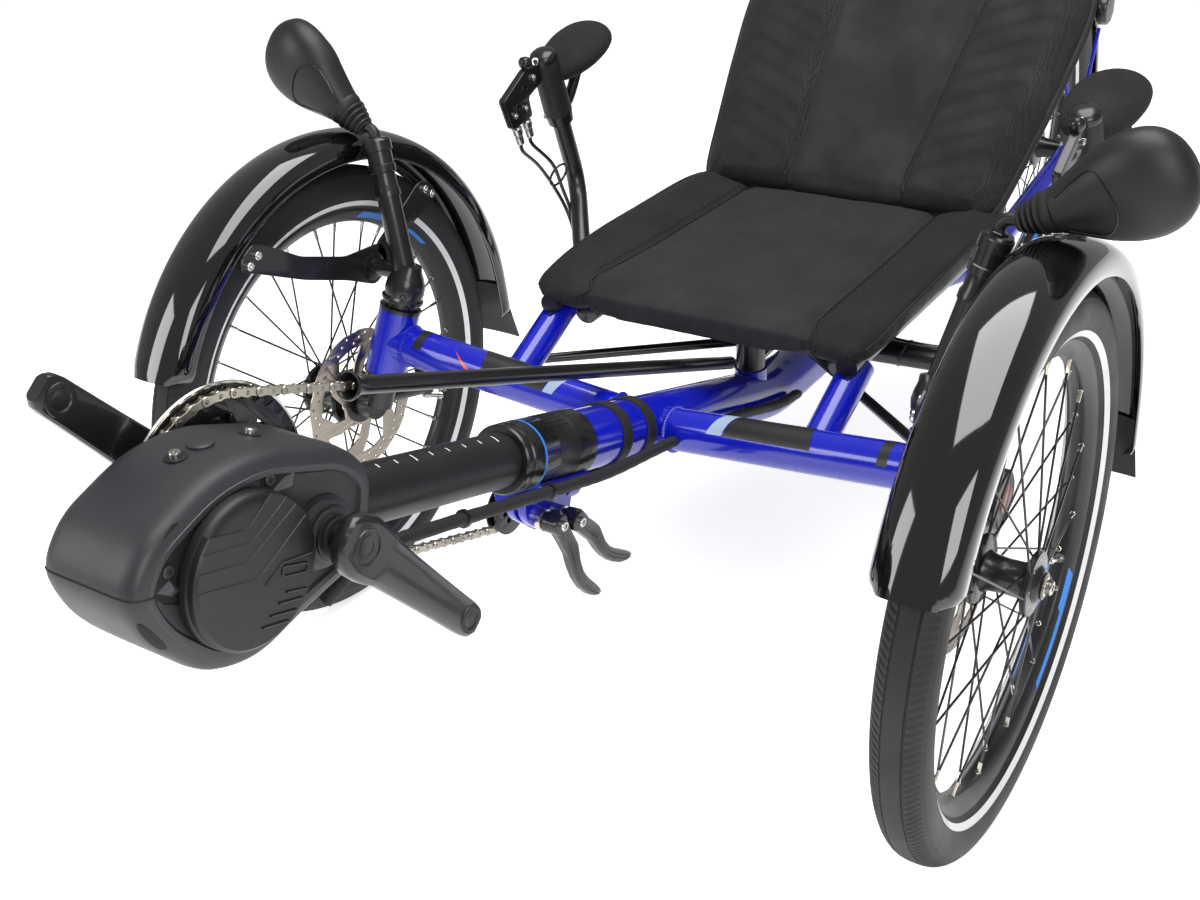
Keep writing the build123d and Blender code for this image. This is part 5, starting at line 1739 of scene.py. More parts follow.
def build_casting() -> None:
    """Clamp casting under the collar with its ears, ribs and barrel ends."""
    origin = Place.boom(134.0, 0.0, -31.3)
    mesh = bmesh.new()
    outline = rounded(((-40, 2), (36, 2), (33, 22), (24, 31), (-4, 44), (-34, 48), (-40, 40)), 7)
    for y in (11.0, -2.0):
        side = Basis(origin + Vector((0, y, 0)) * MM, BOOM_U, BOOM_V)
        add_plate(mesh, side, [(a, -b) for a, b in reversed(outline)], 9.0, 1.2)
    core = Basis(origin + Vector((0, 3.0, 0)) * MM, BOOM_U, BOOM_V)
    inner = [(a * 0.9, -b * 0.86) for a, b in reversed(outline)]
    add_plate(mesh, core, inner, 6.0, 0.6)
    for x, drop in ((172.0, 35.0), (96.0, 39.0)):
        end = Place.boom(x, 0.0, -drop)
        add_turned(mesh, end - BOOM_U * 12 * MM, BOOM_U, ((0, 11), (2, 13.4), (20, 13.4), (23, 11)), 28)
    # Saddle that follows the collar.
    rows = []
    for share in (0.0, 0.04, 0.96, 1.0):
        x = 98.0 + share * 72.0
        row = []
        for inner_side in (0, 1):
            for k in range(13):
                step = k if inner_side == 0 else 12 - k
                angle = math.radians(-90 - 52 + step * 104 / 12)
                radius = 31.4 if inner_side else (36.5 if 0.01 < share < 0.99 else 34.0)
                out = Vector((0, math.cos(angle), 0)) + BOOM_V * math.sin(angle)
                row.append(Place.boom(x) + out * radius * MM)
        rows.append(row)
    add_rings(mesh, rows)
    for x in (104.0, 164.0):
        for side in (1, -1):
            angle = math.radians(-90 + side * 44)
            out = Vector((0, math.cos(angle), 0)) + BOOM_V * math.sin(angle)
            add_bolt(mesh, Place.boom(x) + out * 36.4 * MM, out, 3.2, 1)
    make_piece("clamp_body", mesh, (BLUE_COAT, BOLT_STEEL), "frame", ("clamp_casting",), 30.0)


def around_tube(along: Vector) -> tuple[Vector, Vector]:
    """Return the directions up and sideways across a leaning tube."""
    up = (UP - along * along.z).normalized()
    return up, up.cross(along)


def add_weld(
    mesh: bmesh.types.BMesh,
    middle: Vector,
    along: Vector,
    radius: float,
    beads: int,
    slope: float,
    sides: int,
) -> None:
    """Add a ring of overlapping weld beads round a tube.

    Args:
        mesh: Mesh to add to.
        middle: Middle of the ring, on the tube's axis.
        along: Direction of the tube.
        radius: Radius on which the beads' middles lie, in millimetres.
        beads: Number of beads.
        slope: Length of a bead's sloping ends in millimetres.
        sides: Facets round a bead.
    """
    up, side = around_tube(along)
    bead = ((0, slope), (slope, slope + 1.2), (slope + 2, slope + 1.2), (slope * 2 + 2, slope))
    for k in range(beads):
        a = math.tau * k / beads
        spot = middle + (up * math.sin(a) + side * math.cos(a)) * radius * MM
        add_turned(mesh, spot - along * (slope + 1) * MM, along, bead, sides, 3)


def add_decal(
    mesh: bmesh.types.BMesh,
    start: Vector,
    along: Vector,
    radius: float,
    corners: Sequence[tuple[float, float]],
    index: int,
) -> None:
    """Add a film patch that wraps a tube.

    Args:
        mesh: Mesh to add to.
        start: Point on the tube's axis where along = 0.
        along: Direction of the tube.
        radius: Tube radius in millimetres.
        corners: Four (along mm, angle deg) corners in order round the patch.
        index: Material index.
    """
    along = along.normalized()
    up, side = around_tube(along)
    steps = 10
    rows = []
    for i in range(steps + 1):
        row = []
        for j in range(steps + 1):
            s, t = i / steps, j / steps
            a = [
                (corners[0][k] * (1 - s) + corners[1][k] * s) * (1 - t)
                + (corners[3][k] * (1 - s) + corners[2][k] * s) * t
                for k in (0, 1)
            ]
            angle = math.radians(a[1])
            out = up * math.sin(angle) + side * math.cos(angle)
            row.append(mesh.verts.new(start + along * a[0] * MM + out * (radius + 0.25) * MM))
        rows.append(row)
    for first, second in zip(rows, rows[1:]):
        for i in range(steps):
            face = mesh.faces.new((first[i], first[i + 1], second[i + 1], second[i]))
            face.material_index = index


def build_frame_details() -> None:
    """Weld beads, reflective films, plain black bands and a strap on the frame tubes."""
    mesh = bmesh.new()
    main_axis = BOOM_U * -1
    start = Place.boom(60.0)
    # Pale wedge on the main tube's left flank and black bands on the cross tubes.
    add_decal(mesh, start, main_axis, 29.0, ((60, 10), (104, 2), (128, -34), (96, -34)), 1)
    for side in (1, -1):
        foot = Place.at(-40, side * 8, 286)
        head = Place.kingpin(side, 322.0)
        arm = (head - foot).normalized()
        up_first, up_last = (28, 150)
        add_decal(
            mesh,
            foot,
            arm,
            21.0,
            ((104, up_first), (176, up_first), (186, up_last), (92, up_last)),
            0,
        )
        add_decal(
            mesh,
            foot,
            arm,
            21.0,
            ((92, up_first), (103, up_first), (91, up_last), (74, up_last)),
            1,
        )
        add_decal(mesh, foot, arm, 21.0, ((190, 20), (212, 60), (214, 64), (196, 20)), 2)
        add_decal(mesh, foot, arm, 21.0, ((252, 30), (262, 30), (262, 160), (252, 160)), 0)
        # Welds where the cross tube meets its head tube and the main tube.
        add_weld(mesh, foot + arm * ((head - foot).length - 24 * MM), arm, 21.2, 40, 1.2, 8)
        add_weld(mesh, foot + arm * 26 * MM, arm, 21.4, 48, 1.0, 6)
    make_piece(
        "frame_films_and_welds", mesh, (RIM_ANODISED, DECAL_GREY, REFLECTOR_ORANGE, BLUE_COAT), "frame"
    )
    straps = bmesh.new()
    for x in (-8.0, 34.0):
        rows = []
        for d, r in ((0, 29.3), (0.6, 31.2), (14.4, 31.2), (15, 29.3)):
            rows.append(circle(Place.boom(x) + BOOM_U * d * MM, BOOM_U, r, 56))
        add_rings(straps, rows, capped=False)
    make_piece("hook_and_loop_straps", straps, (EDGE_CLOTH,), "frame")


SLEEVE_ROUTE = (
    (430, 18, 366), (405, 34, 392), (378, 40, 393), (330, 41, 380), (236, 42, 352), (160, 44, 330),
    (96, 45, 312), (20, 44, 296), (-56, 44, 280), (-150, 44, 256), (-240, 42, 226), (-300, 38, 212),
)


def build_cable_sleeve() -> None:
    """Braided sleeve from the motor along the boom and under the seat."""
    line = smooth_path([Place.at(*p) for p in SLEEVE_ROUTE], 8)
    mesh = bmesh.new()
    add_sweep(mesh, line, lambda share: 6.6 + 0.25 * math.sin(share * 300), 18, 0.82)
    for x in (300.0, 190.0):
        spot = min(line, key=lambda p: abs(p.x - Place.at(x, 0, 0).x))
        place = line.index(spot)
        axis = line[place + 1] - line[place - 1]
        add_turned(
            mesh,
            spot - axis.normalized() * 2 * MM,
            axis,
            ((0, 6.4), (0.3, 7.6), (3.7, 7.6), (4, 6.4)),
            20,
            1,
        )
    make_piece("motor_cable_sleeve", mesh, (BRAID_SLEEVE, TUBE_POLY), "frame")


# ------------------------------------------------------------------ steered ends
# Side view of the fender's stays, ahead of the axle and above the floor.
FRONT_STAY = (
    (141, 452), (136, 464), (120, 473), (108, 469), (59, 439), (-4, 417), (-58, 414), (-66, 400),
    (-60, 380), (-42, 372), (-2, 391), (60, 414), (124, 444),
)
REAR_STAY = (
    (-52, 414), (-66, 422), (-94, 438), (-128, 459), (-142, 458), (-156, 446), (-153, 433),
    (-140, 429), (-110, 417), (-84, 402), (-66, 382), (-54, 380),
)
STAY_SCREWS = ((118, 461), (130, 454), (-137, 450), (-147, 442), (-94, 424))


def build_post(side: int, name: str) -> None:
    """Post above a head tube: base casting, headset cap, clamp head and stay plates."""
    mesh = bmesh.new()
    pin = (Place.kingpin(side, 357.0) - Place.kingpin(side, 287.0)).normalized()
    # A point of the head tube's top face.
    head_top = Place.kingpin(side, 322.0) + pin * 35 * MM
    top = Place.at(-58.0, side * 328.0, 528.0)
    # Headset cap, dust seal and bearing cup rings.
    rings = (
        (0.4, 21.0), (0.6, 22.4), (4.4, 22.4), (5.0, 20.6), (5.4, 17.4), (9.6, 17.4), (9.8, 21.0),
        (12.2, 22.4), (14.6, 22.4), (17.0, 20.0),
    )
    add_turned(mesh, head_top, pin, rings, 48, 1)
    # Base casting: a bulb that leans into the post.
    foot = head_top + pin * 15 * MM
    bulb = ((0, 17.5), (1.5, 20.0), (7, 21.2), (16, 20.6), (23, 17.6), (30, 13.8), (36, 12.4))
    add_turned(mesh, foot, pin, bulb, 48)
    waist = head_top + pin * 34 * MM
    length = (top - waist).length / MM
    axis = (top - waist).normalized()
    lower, upper = length * 0.6, length * 0.64 + 4
    shaft = (
        (0, 12.2), (lower, 12.0), (lower + 0.4, 13.6), (length * 0.62 + 4, 13.6), (upper, 12.2),
        (length - 34, 12.2), (length - 33, 14.2), (length - 26, 14.4), (length - 25, 13.2),
        (length - 12, 13.2), (length - 11, 14.8), (length - 1.5, 14.8), (length, 13.6),
        (length + 1.6, 13.0), (length + 2.0, 9.0),
    )
    add_turned(mesh, waist, axis, shaft, 40)
    add_turned(mesh, top + axis * 1.6 * MM, axis, ((0, 8.0), (1.6, 8.0), (2.2, 7.0)), 6, 1)
    inward = Vector((0, -side, 0))
    facing = AHEAD * 0.7 + inward * 0.5
    add_bolt(mesh, foot + pin * 6 * MM + facing.normalized() * 20.4 * MM, facing, 3.6, 1)
    # Stay plates: a long swept front arm and a short raised rear arm.
    inner_y = side * (TRACK / 2 - 40.4)
    plate_y = max(inner_y, inner_y + side * 3.0)
    plane = Basis(Place.at(0, plate_y, 0), SIDE_VIEW_U, SIDE_VIEW_V)
    for outline in (FRONT_STAY, REAR_STAY):
        add_plate(mesh, plane, counter_clockwise(rounded(outline, 7)), 3.0, 0.5)
    for x, z in STAY_SCREWS:
        add_bolt(mesh, Place.at(x, inner_y, z), inward, 4.4, 2)
    lug = Place.kingpin(side, 394.0)
    add_turned(mesh, lug, -inward, ((0, 9), (abs(inner_y) - abs(lug.y) / MM, 9)), 24)
    flange = Place.at((lug.x - Place.axle_x) / MM, inner_y, 394.0)
    add_turned(mesh, flange, inward, ((0, 15), (2.4, 15), (3.4, 13)), 32)
    make_piece(
        f"fender_post_{name}",
        mesh,
        (BLACK_COAT, BLACK_ANODISED, BOLT_STEEL),
        f"knuckle_{name}",
        (f"post_{name}",),
        30.0,
    )


# Tilt above level of each mirror's shell and the rise of its arm over the post.
MIRROR_POSE = {"left": (25.0, 12.0), "right": (38.0, 8.0)}


MIRROR_SHELL = (
    # (along from the boot, half width, depth ahead, depth behind)
    (28.0, 15.5, 15.0, 12.0), (34.0, 18.5, 17.0, 12.5), (44.0, 22.5, 18.6, 13.0),
    (58.0, 29.0, 21.0, 13.4), (74.0, 36.0, 23.6, 13.8), (92.0, 41.0, 25.4, 14.0),
    (108.0, 42.4, 25.6, 14.0), (122.0, 40.6, 23.6, 13.8), (134.0, 35.0, 19.6, 13.0),
    (143.0, 25.5, 14.0, 12.0), (148.0, 14.0, 8.0, 10.0), (149.6, 4.0, 4.0, 8.0),
)


def add_mirror_shell(
    mesh: bmesh.types.BMesh, start: Vector, along: Vector, across: Vector
) -> None:
    """Add a mirror's egg-shaped shell, which is deep ahead and flat behind.

    Args:
        mesh: Mesh to add to.
        start: Foot of the boot.
        along: Direction from the boot to the tip.
        across: Direction over the shell's width.
    """
    ahead = AHEAD
    count = 36
    rings = []
    for reach, half, front, back in MIRROR_SHELL:
        middle = start + along * reach * 0.94 * MM
        ring = []
        for k in range(count):
            a = math.tau * k / count
            c, s = math.cos(a), math.sin(a)
            depth = front if s > 0 else back
            bulge = math.copysign(abs(s) ** (0.9 if s > 0 else 0.45), s)
            width = half * math.copysign(abs(c) ** 0.85, c)
            ring.append(middle + (across * width + ahead * depth * bulge) * MM)
        rings.append(ring)
    add_rings(mesh, smooth_rings(rings, 3), index=0)


def build_mirror(side: int, name: str) -> None:
    """Mirror on a bent arm: ribbed boot, egg-shaped shell with a panel line, and its glass."""
    tilt, rise = MIRROR_POSE[name]
    mesh = bmesh.new()
    top = Place.at(-58.0, side * 328.0, 530.0)
    bend = top + Vector((-2, -side * 2, rise)) * MM
    elbow = bend + Vector((0, side * 20, 2)) * MM
    add_sweep(mesh, filleted([top, bend, elbow + Vector((0, side * 6, 0)) * MM], 10), 5.6, 16)
    along = Vector((0, side * math.cos(math.radians(tilt)), math.sin(math.radians(tilt))))
    ahead = AHEAD
    across = along.cross(ahead).normalized()
    start = elbow - along * 4 * MM
    boot = [(-1.0, 6.0), (0.0, 9.6)]
    for k in range(4):
        base = 1.5 + k * 5.6
        grow = 1.9 * k
        boot += [
            (base, 9.2 + grow), (base + 1.2, 11.4 + grow), (base + 3.2, 11.8 + grow),
            (base + 4.4, 9.8 + grow),
        ]
    boot += [(25.0, 17.2), (29.0, 18.4), (32.0, 18.6)]
    add_turned(mesh, start, along, boot, 40, 1)
    add_mirror_shell(mesh, start, along, across)
    # Panel line on the front of the shell's neck.
    line = []
    for reach, spread in (
        (40, -0.5), (58, -0.62), (74, -0.58), (82, -0.2), (84, 0.25), (72, 0.62), (56, 0.66),
        (42, 0.6),
    ):
        half = 20 + (reach - 40) * 0.44
        front = 18 + (reach - 40) * 0.17
        depth = front * math.sqrt(max(0.0, 1 - spread * spread * 0.9)) + 0.3
        aside = across * half * spread * 1.25
        line.append(start + (along * reach + aside + ahead * depth) * MM)
    add_sweep(mesh, smooth_path(line, 6), 0.7, 6, index=2)
    glass = []
    for k in range(48):
        a = math.tau * k / 48
        glass.append((92 + 42 * math.cos(a), (34 + 2 * math.cos(a)) * math.sin(a)))
    behind = Basis(start - ahead * 13.8 * MM, along, across)
    rows = []
    for inset, depth in ((0.0, 0.0), (0.0, 1.2), (0.12, 1.2)):
        scale = 1 - inset
        rows.append(
            [behind.point(92 + (a - 92) * scale, b * scale) - ahead * depth * MM for a, b in glass]
        )
    add_rings(mesh, rows, capped=False, index=2)
    face = [mesh.verts.new(p) for p in rows[-1]]
    mesh.faces.new(face).material_index = 3
    make_piece(
        f"mirror_{name}_shell",
        mesh,
        (SHELL_PLASTIC, BOOT_RUBBER, BLACK_ANODISED, MIRROR_GLASS),
        f"knuckle_{name}",
        (f"mirror_{name}",),
        40.0,
    )


def smooth_rings(rings: Sequence[Sequence[Vector]], steps: int) -> list[list[Vector]]:
    """Return the rings with smooth in-between rings added."""
    tracks = [smooth_path([ring[i] for ring in rings], steps) for i in range(len(rings[0]))]
    return [[track[k] for track in tracks] for k in range(len(tracks[0]))]


def build_caliper(side: int, name: str) -> None:
    """Disc caliper with cooling grooves, two bolts, a red cam arm and its cable arm."""
    center = Place.at(0, side * (TRACK / 2 + DISC_OFFSET), AXLE_HEIGHT)
    angle = math.radians(148)
    out = Vector((math.cos(angle), 0, math.sin(angle)))
    round_the = Vector((-math.sin(angle), 0, math.cos(angle)))
    across = LEFT
    spot = center + out * 72 * MM
    mesh = bmesh.new()
    basis = Basis(spot - across * 10.3 * MM, round_the, out)
    body = rounded(
        ((-22, -24), (22, -24), (26, -4), (20, 18), (8, 24), (-8, 24), (-20, 18), (-26, -4)), 8
    )
    for y in (-10.2, 2.2):
        add_plate(mesh, Basis(spot + across * y * MM, round_the, out), body, 8.0, 1.6)
    add_plate(mesh, basis, rounded(((-17, 12), (17, 12), (14, 21), (-14, 21)), 3), 20.0, 1.0)
    for k in range(4):
        groove = spot + out * (6 + k * 4) * MM
        start = groove - round_the * 15 * MM - across * side * 10.6 * MM
        add_sweep(mesh, [start, groove + round_the * 15 * MM - across * side * 10.6 * MM], 0.9, 6)
    inboard = Vector((0, -side, 0))
    cam = spot + inboard * 10.2 * MM
    add_turned(mesh, cam, inboard, ((0, 11), (5, 11), (6.4, 9.8), (8.5, 9.4), (9.4, 8)), 32, 1)
    add_bolt(mesh, cam + inboard * 9.4 * MM, inboard, 4.2, 2)
    arm = Basis(cam + inboard * 6.2 * MM, round_the, out)
    path = rounded(((-8, -6), (8, -8), (34, 10), (30, 18), (-4, 10)), 4)
    add_plate(mesh, arm, path, 3.0 if arm.w.dot(inboard) > 0 else -3.0, 0.4)
    outer = spot + across * side * 10.2 * MM
    pad_wheel = ((0, 14), (3.6, 14), (4.4, 12.6), (4.6, 3))
    add_turned(mesh, outer - across * side * 3 * MM, across * side, pad_wheel, 32, 1)
    # Bracket from the stub axle's shoulder.
    bracket_y = side * 336.4
    bracket = Basis(Place.at(0, bracket_y, AXLE_HEIGHT), out, round_the)
    ring = arc_points(14, 90, 270, 16) + arc_points(14, -90, 90, 16, (58.0, 0.0))
    bore = round_hole(7.6, 345, 23)
    slot = arc_points(7.5, 90, 270, 8, (26.0, 0.0)) + arc_points(6.5, -90, 90, 8, (38.0, 0.0))
    slot.reverse()
    flat = Basis(bracket.origin + across * side * 1.75 * MM, bracket.u, bracket.v)
    add_cutout(mesh, flat, [ring, bore, slot], 3.4, 0.4, 0)
    for offset in (-16.0, 16.0):
        bolt = spot + (out * -20 + round_the * offset + inboard * 10.6) * MM
        add_bolt(mesh, bolt, inboard, 3.8, 2)
    make_piece(
        f"disc_caliper_{name}",
        mesh,
        (BLACK_ANODISED, CALIPER_RED, BOLT_STEEL),
        f"knuckle_{name}",
        (f"caliper_{name}",),
        30.0,
    )


def build_fender_fittings(side: int, name: str) -> None:
    """Rubber flap at a front fender's tail and the dust seal under its head tube."""
    center = Place.at(-12.0, side * TRACK / 2, AXLE_HEIGHT + 6)
    mesh = bmesh.new()
    rings = []
    for step in range(12):
        share = step / 11
        angle = math.radians(176.0 + share * 14.0)
        radius = 276.0 + 26.0 * max(0.0, share - 0.3) ** 1.4
        half = 29.0 + 5.0 * share
        row = []
        for k in range(13):
            across = -1 + k / 6
            droop = 6.0 * (1 - across * across) * (1 - share * 0.5)
            row.append(swing(center, radius + droop - 4, angle, half * across))
        low = [p - Vector((math.cos(angle), 0, math.sin(angle))) * 1.8 * MM for p in reversed(row)]
        rings.append(row + low)
    add_rings(mesh, rings)
    make_piece(f"fender_flap_{name}", mesh, (BOOT_RUBBER,), f"knuckle_{name}")
    seal = bmesh.new()
    pin = (Place.kingpin(side, 357.0) - Place.kingpin(side, 287.0)).normalized()
    bottom = Place.kingpin(side, 322.0) - pin * 35 * MM
    rings_low = ((-0.4, 22.2), (-3.6, 22.2), (-4.0, 20.0), (-5.0, 18.2), (-9.0, 17.4), (-9.2, 14.0))
    add_turned(seal, bottom, pin, rings_low, 44)
    make_piece(f"lower_headset_{name}", seal, (BLACK_ANODISED,), f"knuckle_{name}")


# ------------------------------------------------------------------ seat
PanelCorners = tuple[tuple[float, float], ...]


def pad_mesh(
    stations: Sequence[tuple[float, PanelCorners]], place: Callable[..., Vector], corner: float
) -> bmesh.types.BMesh:
    """Return a closed pad lofted through four-cornered sections.

    Args:
        stations: (along, four (across, up) corners) from one end to the other.
        place: Turns along, across and up into a point in metres.
        corner: Rounding of the sections' corners in millimetres.
    """
    mesh = bmesh.new()
    rings = [[place(along, a, b) for a, b in rounded(corners, corner)] for along, corners in stations]
    add_rings(mesh, rings)
    return mesh


def inflate(pad: bpy.types.Object, cap: float, voxel: float = 6.0) -> None:
    """Puff a pad up with a cloth simulation and keep the result.

    Args:
        pad: Closed mesh object, a little smaller than the pad.
        cap: How far a point may move, in millimetres.
        voxel: Remesh size in millimetres.
    """
    def settle() -> None:
        shape = pad.evaluated_get(bpy.context.evaluated_depsgraph_get())
        old, fresh = pad.data, bpy.data.meshes.new_from_object(shape)
        pad.modifiers.clear()
        pad.data = fresh
        bpy.data.meshes.remove(old)
        fresh.shade_smooth()

    remesh = pad.modifiers.new("voxels", "REMESH")
    remesh.mode = "VOXEL"
    remesh.voxel_size = voxel * MM * 1
    settle()
    scene = bpy.context.scene
    start = [v.co.copy() for v in pad.data.vertices]
    cloth = pad.modifiers.new("stuffing", "CLOTH")
    cloth.settings.use_pressure = True
    cloth.settings.uniform_pressure_force = 4.0
    cloth.settings.effector_weights.gravity = 0.0
    cloth.point_cache.frame_start = 1
    cloth.point_cache.frame_end = 20
    for number in range(1, 21):
        scene.frame_set(number)
    shape = pad.evaluated_get(bpy.context.evaluated_depsgraph_get())
    puffed = [v.co.copy() for v in shape.data.vertices]
    pad.modifiers.clear()
    for vertex, first, last in zip(pad.data.vertices, start, puffed):
        move = last - first
        if move.length > cap * MM:
            move = move.normalized() * cap * MM
        vertex.co = first + move
    scene.frame_set(1)
    smooth = pad.modifiers.new("smooth", "SUBSURF")
    smooth.levels = 1
    settle()


def between(table: Sequence[tuple[float, ...]], spot: float, column: int) -> float:
    """Return one column of a table at a spot, in a straight line between its rows."""
    rows = sorted(table)
    if spot <= rows[0][0]:
        return rows[0][column]
    for low, high in zip(rows, rows[1:]):
        if spot <= high[0]:
            share = (spot - low[0]) / (high[0] - low[0])
            return low[column] + (high[column] - low[column]) * share
    return rows[-1][column]


def sew(
    pad: bpy.types.Object, off_seam: Callable[[Vector], float], grow: float, depth: float = 4.5
) -> None:
    """Let a stuffed form out evenly and pull it in along its seams.

    Args:
        pad: Stuffed mesh object.
        off_seam: Distance from a point to the nearest seam, in millimetres.
        grow: How far the cover lies outside the form, in millimetres.
        depth: Depth of the seams in millimetres.
    """
    moved = []
    for vertex in pad.data.vertices:
        pull = depth * math.exp(-((off_seam(vertex.co) / 7.0) ** 2))
        moved.append(vertex.co + vertex.normal * (grow - pull) * MM)
    for vertex, spot in zip(pad.data.vertices, moved):
        vertex.co = spot


def near(pad: bpy.types.Object, spot: Vector, lift: float = 0.0) -> Vector:
    """Return the pad's surface point nearest to a place, lifted off it by millimetres."""
    _, found, normal, _ = pad.closest_point_on_mesh(spot)
    return found + normal * lift * MM


SEAT_STATIONS = (
    # (x, half panel, outer edge, top at the seam, top at the edge, bottom at the edge)
    (-122.0, 129.0, 188.0, 368.0, 367.0, 356.0),
    (-130.0, 129.0, 196.0, 373.0, 374.0, 354.0),
    (-150.0, 128.0, 201.0, 374.0, 380.0, 358.0),
    (-200.0, 127.0, 204.0, 373.0, 387.0, 364.0),
    (-270.0, 125.0, 205.0, 371.0, 392.0, 370.0),
    (-350.0, 123.0, 205.0, 371.0, 394.0, 371.0),
    (-430.0, 121.0, 204.0, 372.0, 395.0, 371.0),
    (-470.0, 120.0, 203.0, 373.0, 395.0, 371.0),
    (-503.0, 119.0, 199.0, 376.0, 393.0, 371.0),
)


def build_seat_cushion() -> None:
    """Seat cushion: a flat middle panel between two raised bolsters, with seams and skirts."""
    stations = []
    for x, half, edge, top, rim, low in SEAT_STATIONS:
        near_side = ((half - 30, 348.0), (edge - 3, low), (edge - 3, rim - 3), (half, top - 2))
        far_side = tuple((-a, b) for a, b in reversed(near_side))
        stations.append((x, near_side + far_side))
    pad = make_piece(
        "seat_cushion_cover",
        pad_mesh(stations, Place.at, 9.0),
        (SEAT_CLOTH, SEAT_MESH, RIB_CLOTH),
        "frame",
        ("seat_cushion",),
        60.0,
    )
    inflate(pad, 7.0)

    def off_seam(spot: Vector) -> float:
        x = (spot.x - Place.axle_x) / MM
        return abs(abs(spot.y) / MM - between(SEAT_STATIONS, x, 1))

    sew(pad, off_seam, 2.6)
    cover_panels(
        pad,
        (SEAT_CLOTH, SEAT_MESH, RIB_CLOTH),
        lambda p: between(SEAT_STATIONS, (p.x - Place.axle_x) / MM, 1),
    )
    for polygon in pad.data.polygons:
        if polygon.material_index == 0 and polygon.normal.x > 0.6:
            polygon.material_index = 2
    seams = bmesh.new()
    skirts = bmesh.new()
    for side in (1, -1):
        seam = [near(pad, Place.at(-100.0, side * 129.0, z)) for z in (352.0, 360.0, 367.0)]
        seam += [
            near(pad, Place.at(x, side * half, top + 8), 0.4)
            for x, half, _, top, _, _ in SEAT_STATIONS[1:]
        ]
        add_sweep(seams, smooth_path(seam, 6), 1.1, 8)
        stitch = []
        for x in range(-146, -480, -6):
            half = between(SEAT_STATIONS, float(x), 1) + 4.5
            stitch.append(near(pad, Place.at(x, side * half, 384.0), 0.3))
        for first, last in zip(stitch[::2], stitch[1::2]):
            add_sweep(seams, [first, first.lerp(last, 0.8)], 0.5, 5)
        edges = [
            near(pad, Place.at(x, side * (edge + 14), rim + 2), 0.8)
            for x, _, edge, _, rim, _ in SEAT_STATIONS
        ]
        add_sweep(seams, smooth_path(edges, 6), 2.0, 10)
        rows = []
        for step, spot in enumerate(smooth_path(edges, 8)):
            ripple = 1.2 * math.sin(step * 0.7) + 0.8 * math.sin(step * 1.9)
            outer_row = []
            for share in (0.0, 0.25, 0.5, 0.75, 1.0):
                fall = spot.z - (spot.z - 0.352) * share
                bulge = 2.4 * math.sin(share * math.pi) + ripple * share * (1 - share) * 3
                bow = bulge - 14 * share * share
                outer_row.append(Vector((spot.x, spot.y + side * bow * MM, fall)))
            inner_row = [p - Vector((0, side * 2.0, 0)) * MM for p in reversed(outer_row)]
            rows.append(outer_row + inner_row)
        add_rings(skirts, rows)
    make_piece("seat_seams", seams, (PIPING,), "frame", (), 60.0)
    make_piece("seat_side_skirts", skirts, (EDGE_CLOTH,), "frame", (), 60.0)


def cover_panels(
    pad: bpy.types.Object, finishes: Sequence[Finish], half_at: Callable[[Vector], float]
) -> None:
    """Give a pad's middle panel the first finish and its sides the second.

    Args:
        pad: Stuffed mesh object.
        finishes: Cloths in the order of the material indices.
        half_at: Half width of the middle panel at a point, in millimetres.
    """
    pad.data.materials.clear()
    for finish in finishes:
        pad.data.materials.append(SHELF.get(finish))
    for polygon in pad.data.polygons:
        polygon.material_index = 0 if abs(polygon.center.y) / MM < half_at(polygon.center) else 1


BACK_FOOT = (-505.0, 384.0)
# (along the back, half panel, outer edge)
BACK_STATIONS = (
    (-19.0, 70.0, 180.0), (-6.0, 70.0, 190.0), (20.0, 70.0, 196.0), (70.0, 74.0, 204.0),
    (160.0, 82.0, 216.0), (256.0, 90.0, 223.0),
    (360.0, 88.0, 208.0), (470.0, 82.0, 188.0), (580.0, 76.0, 166.0), (626.0, 74.0, 154.0),
    (637.0, 73.0, 144.0),
)


def on_back(along: float, across: float, proud: float) -> Vector:
    """Return a point on the seat back: along it, across it and out from its middle plane."""
    x = BACK_FOOT[0] - along * math.cos(BACK_ANGLE) + proud * math.sin(BACK_ANGLE)
    z = BACK_FOOT[1] + along * math.sin(BACK_ANGLE) + proud * math.cos(BACK_ANGLE)
    return Place.at(x, across, z)


def along_back(spot: Vector) -> float:
    """Return how far up the seat back a point lies, in millimetres."""
    x, z = (spot.x - Place.axle_x) / MM - BACK_FOOT[0], spot.z / MM - BACK_FOOT[1]
    return z * math.sin(BACK_ANGLE) - x * math.cos(BACK_ANGLE)


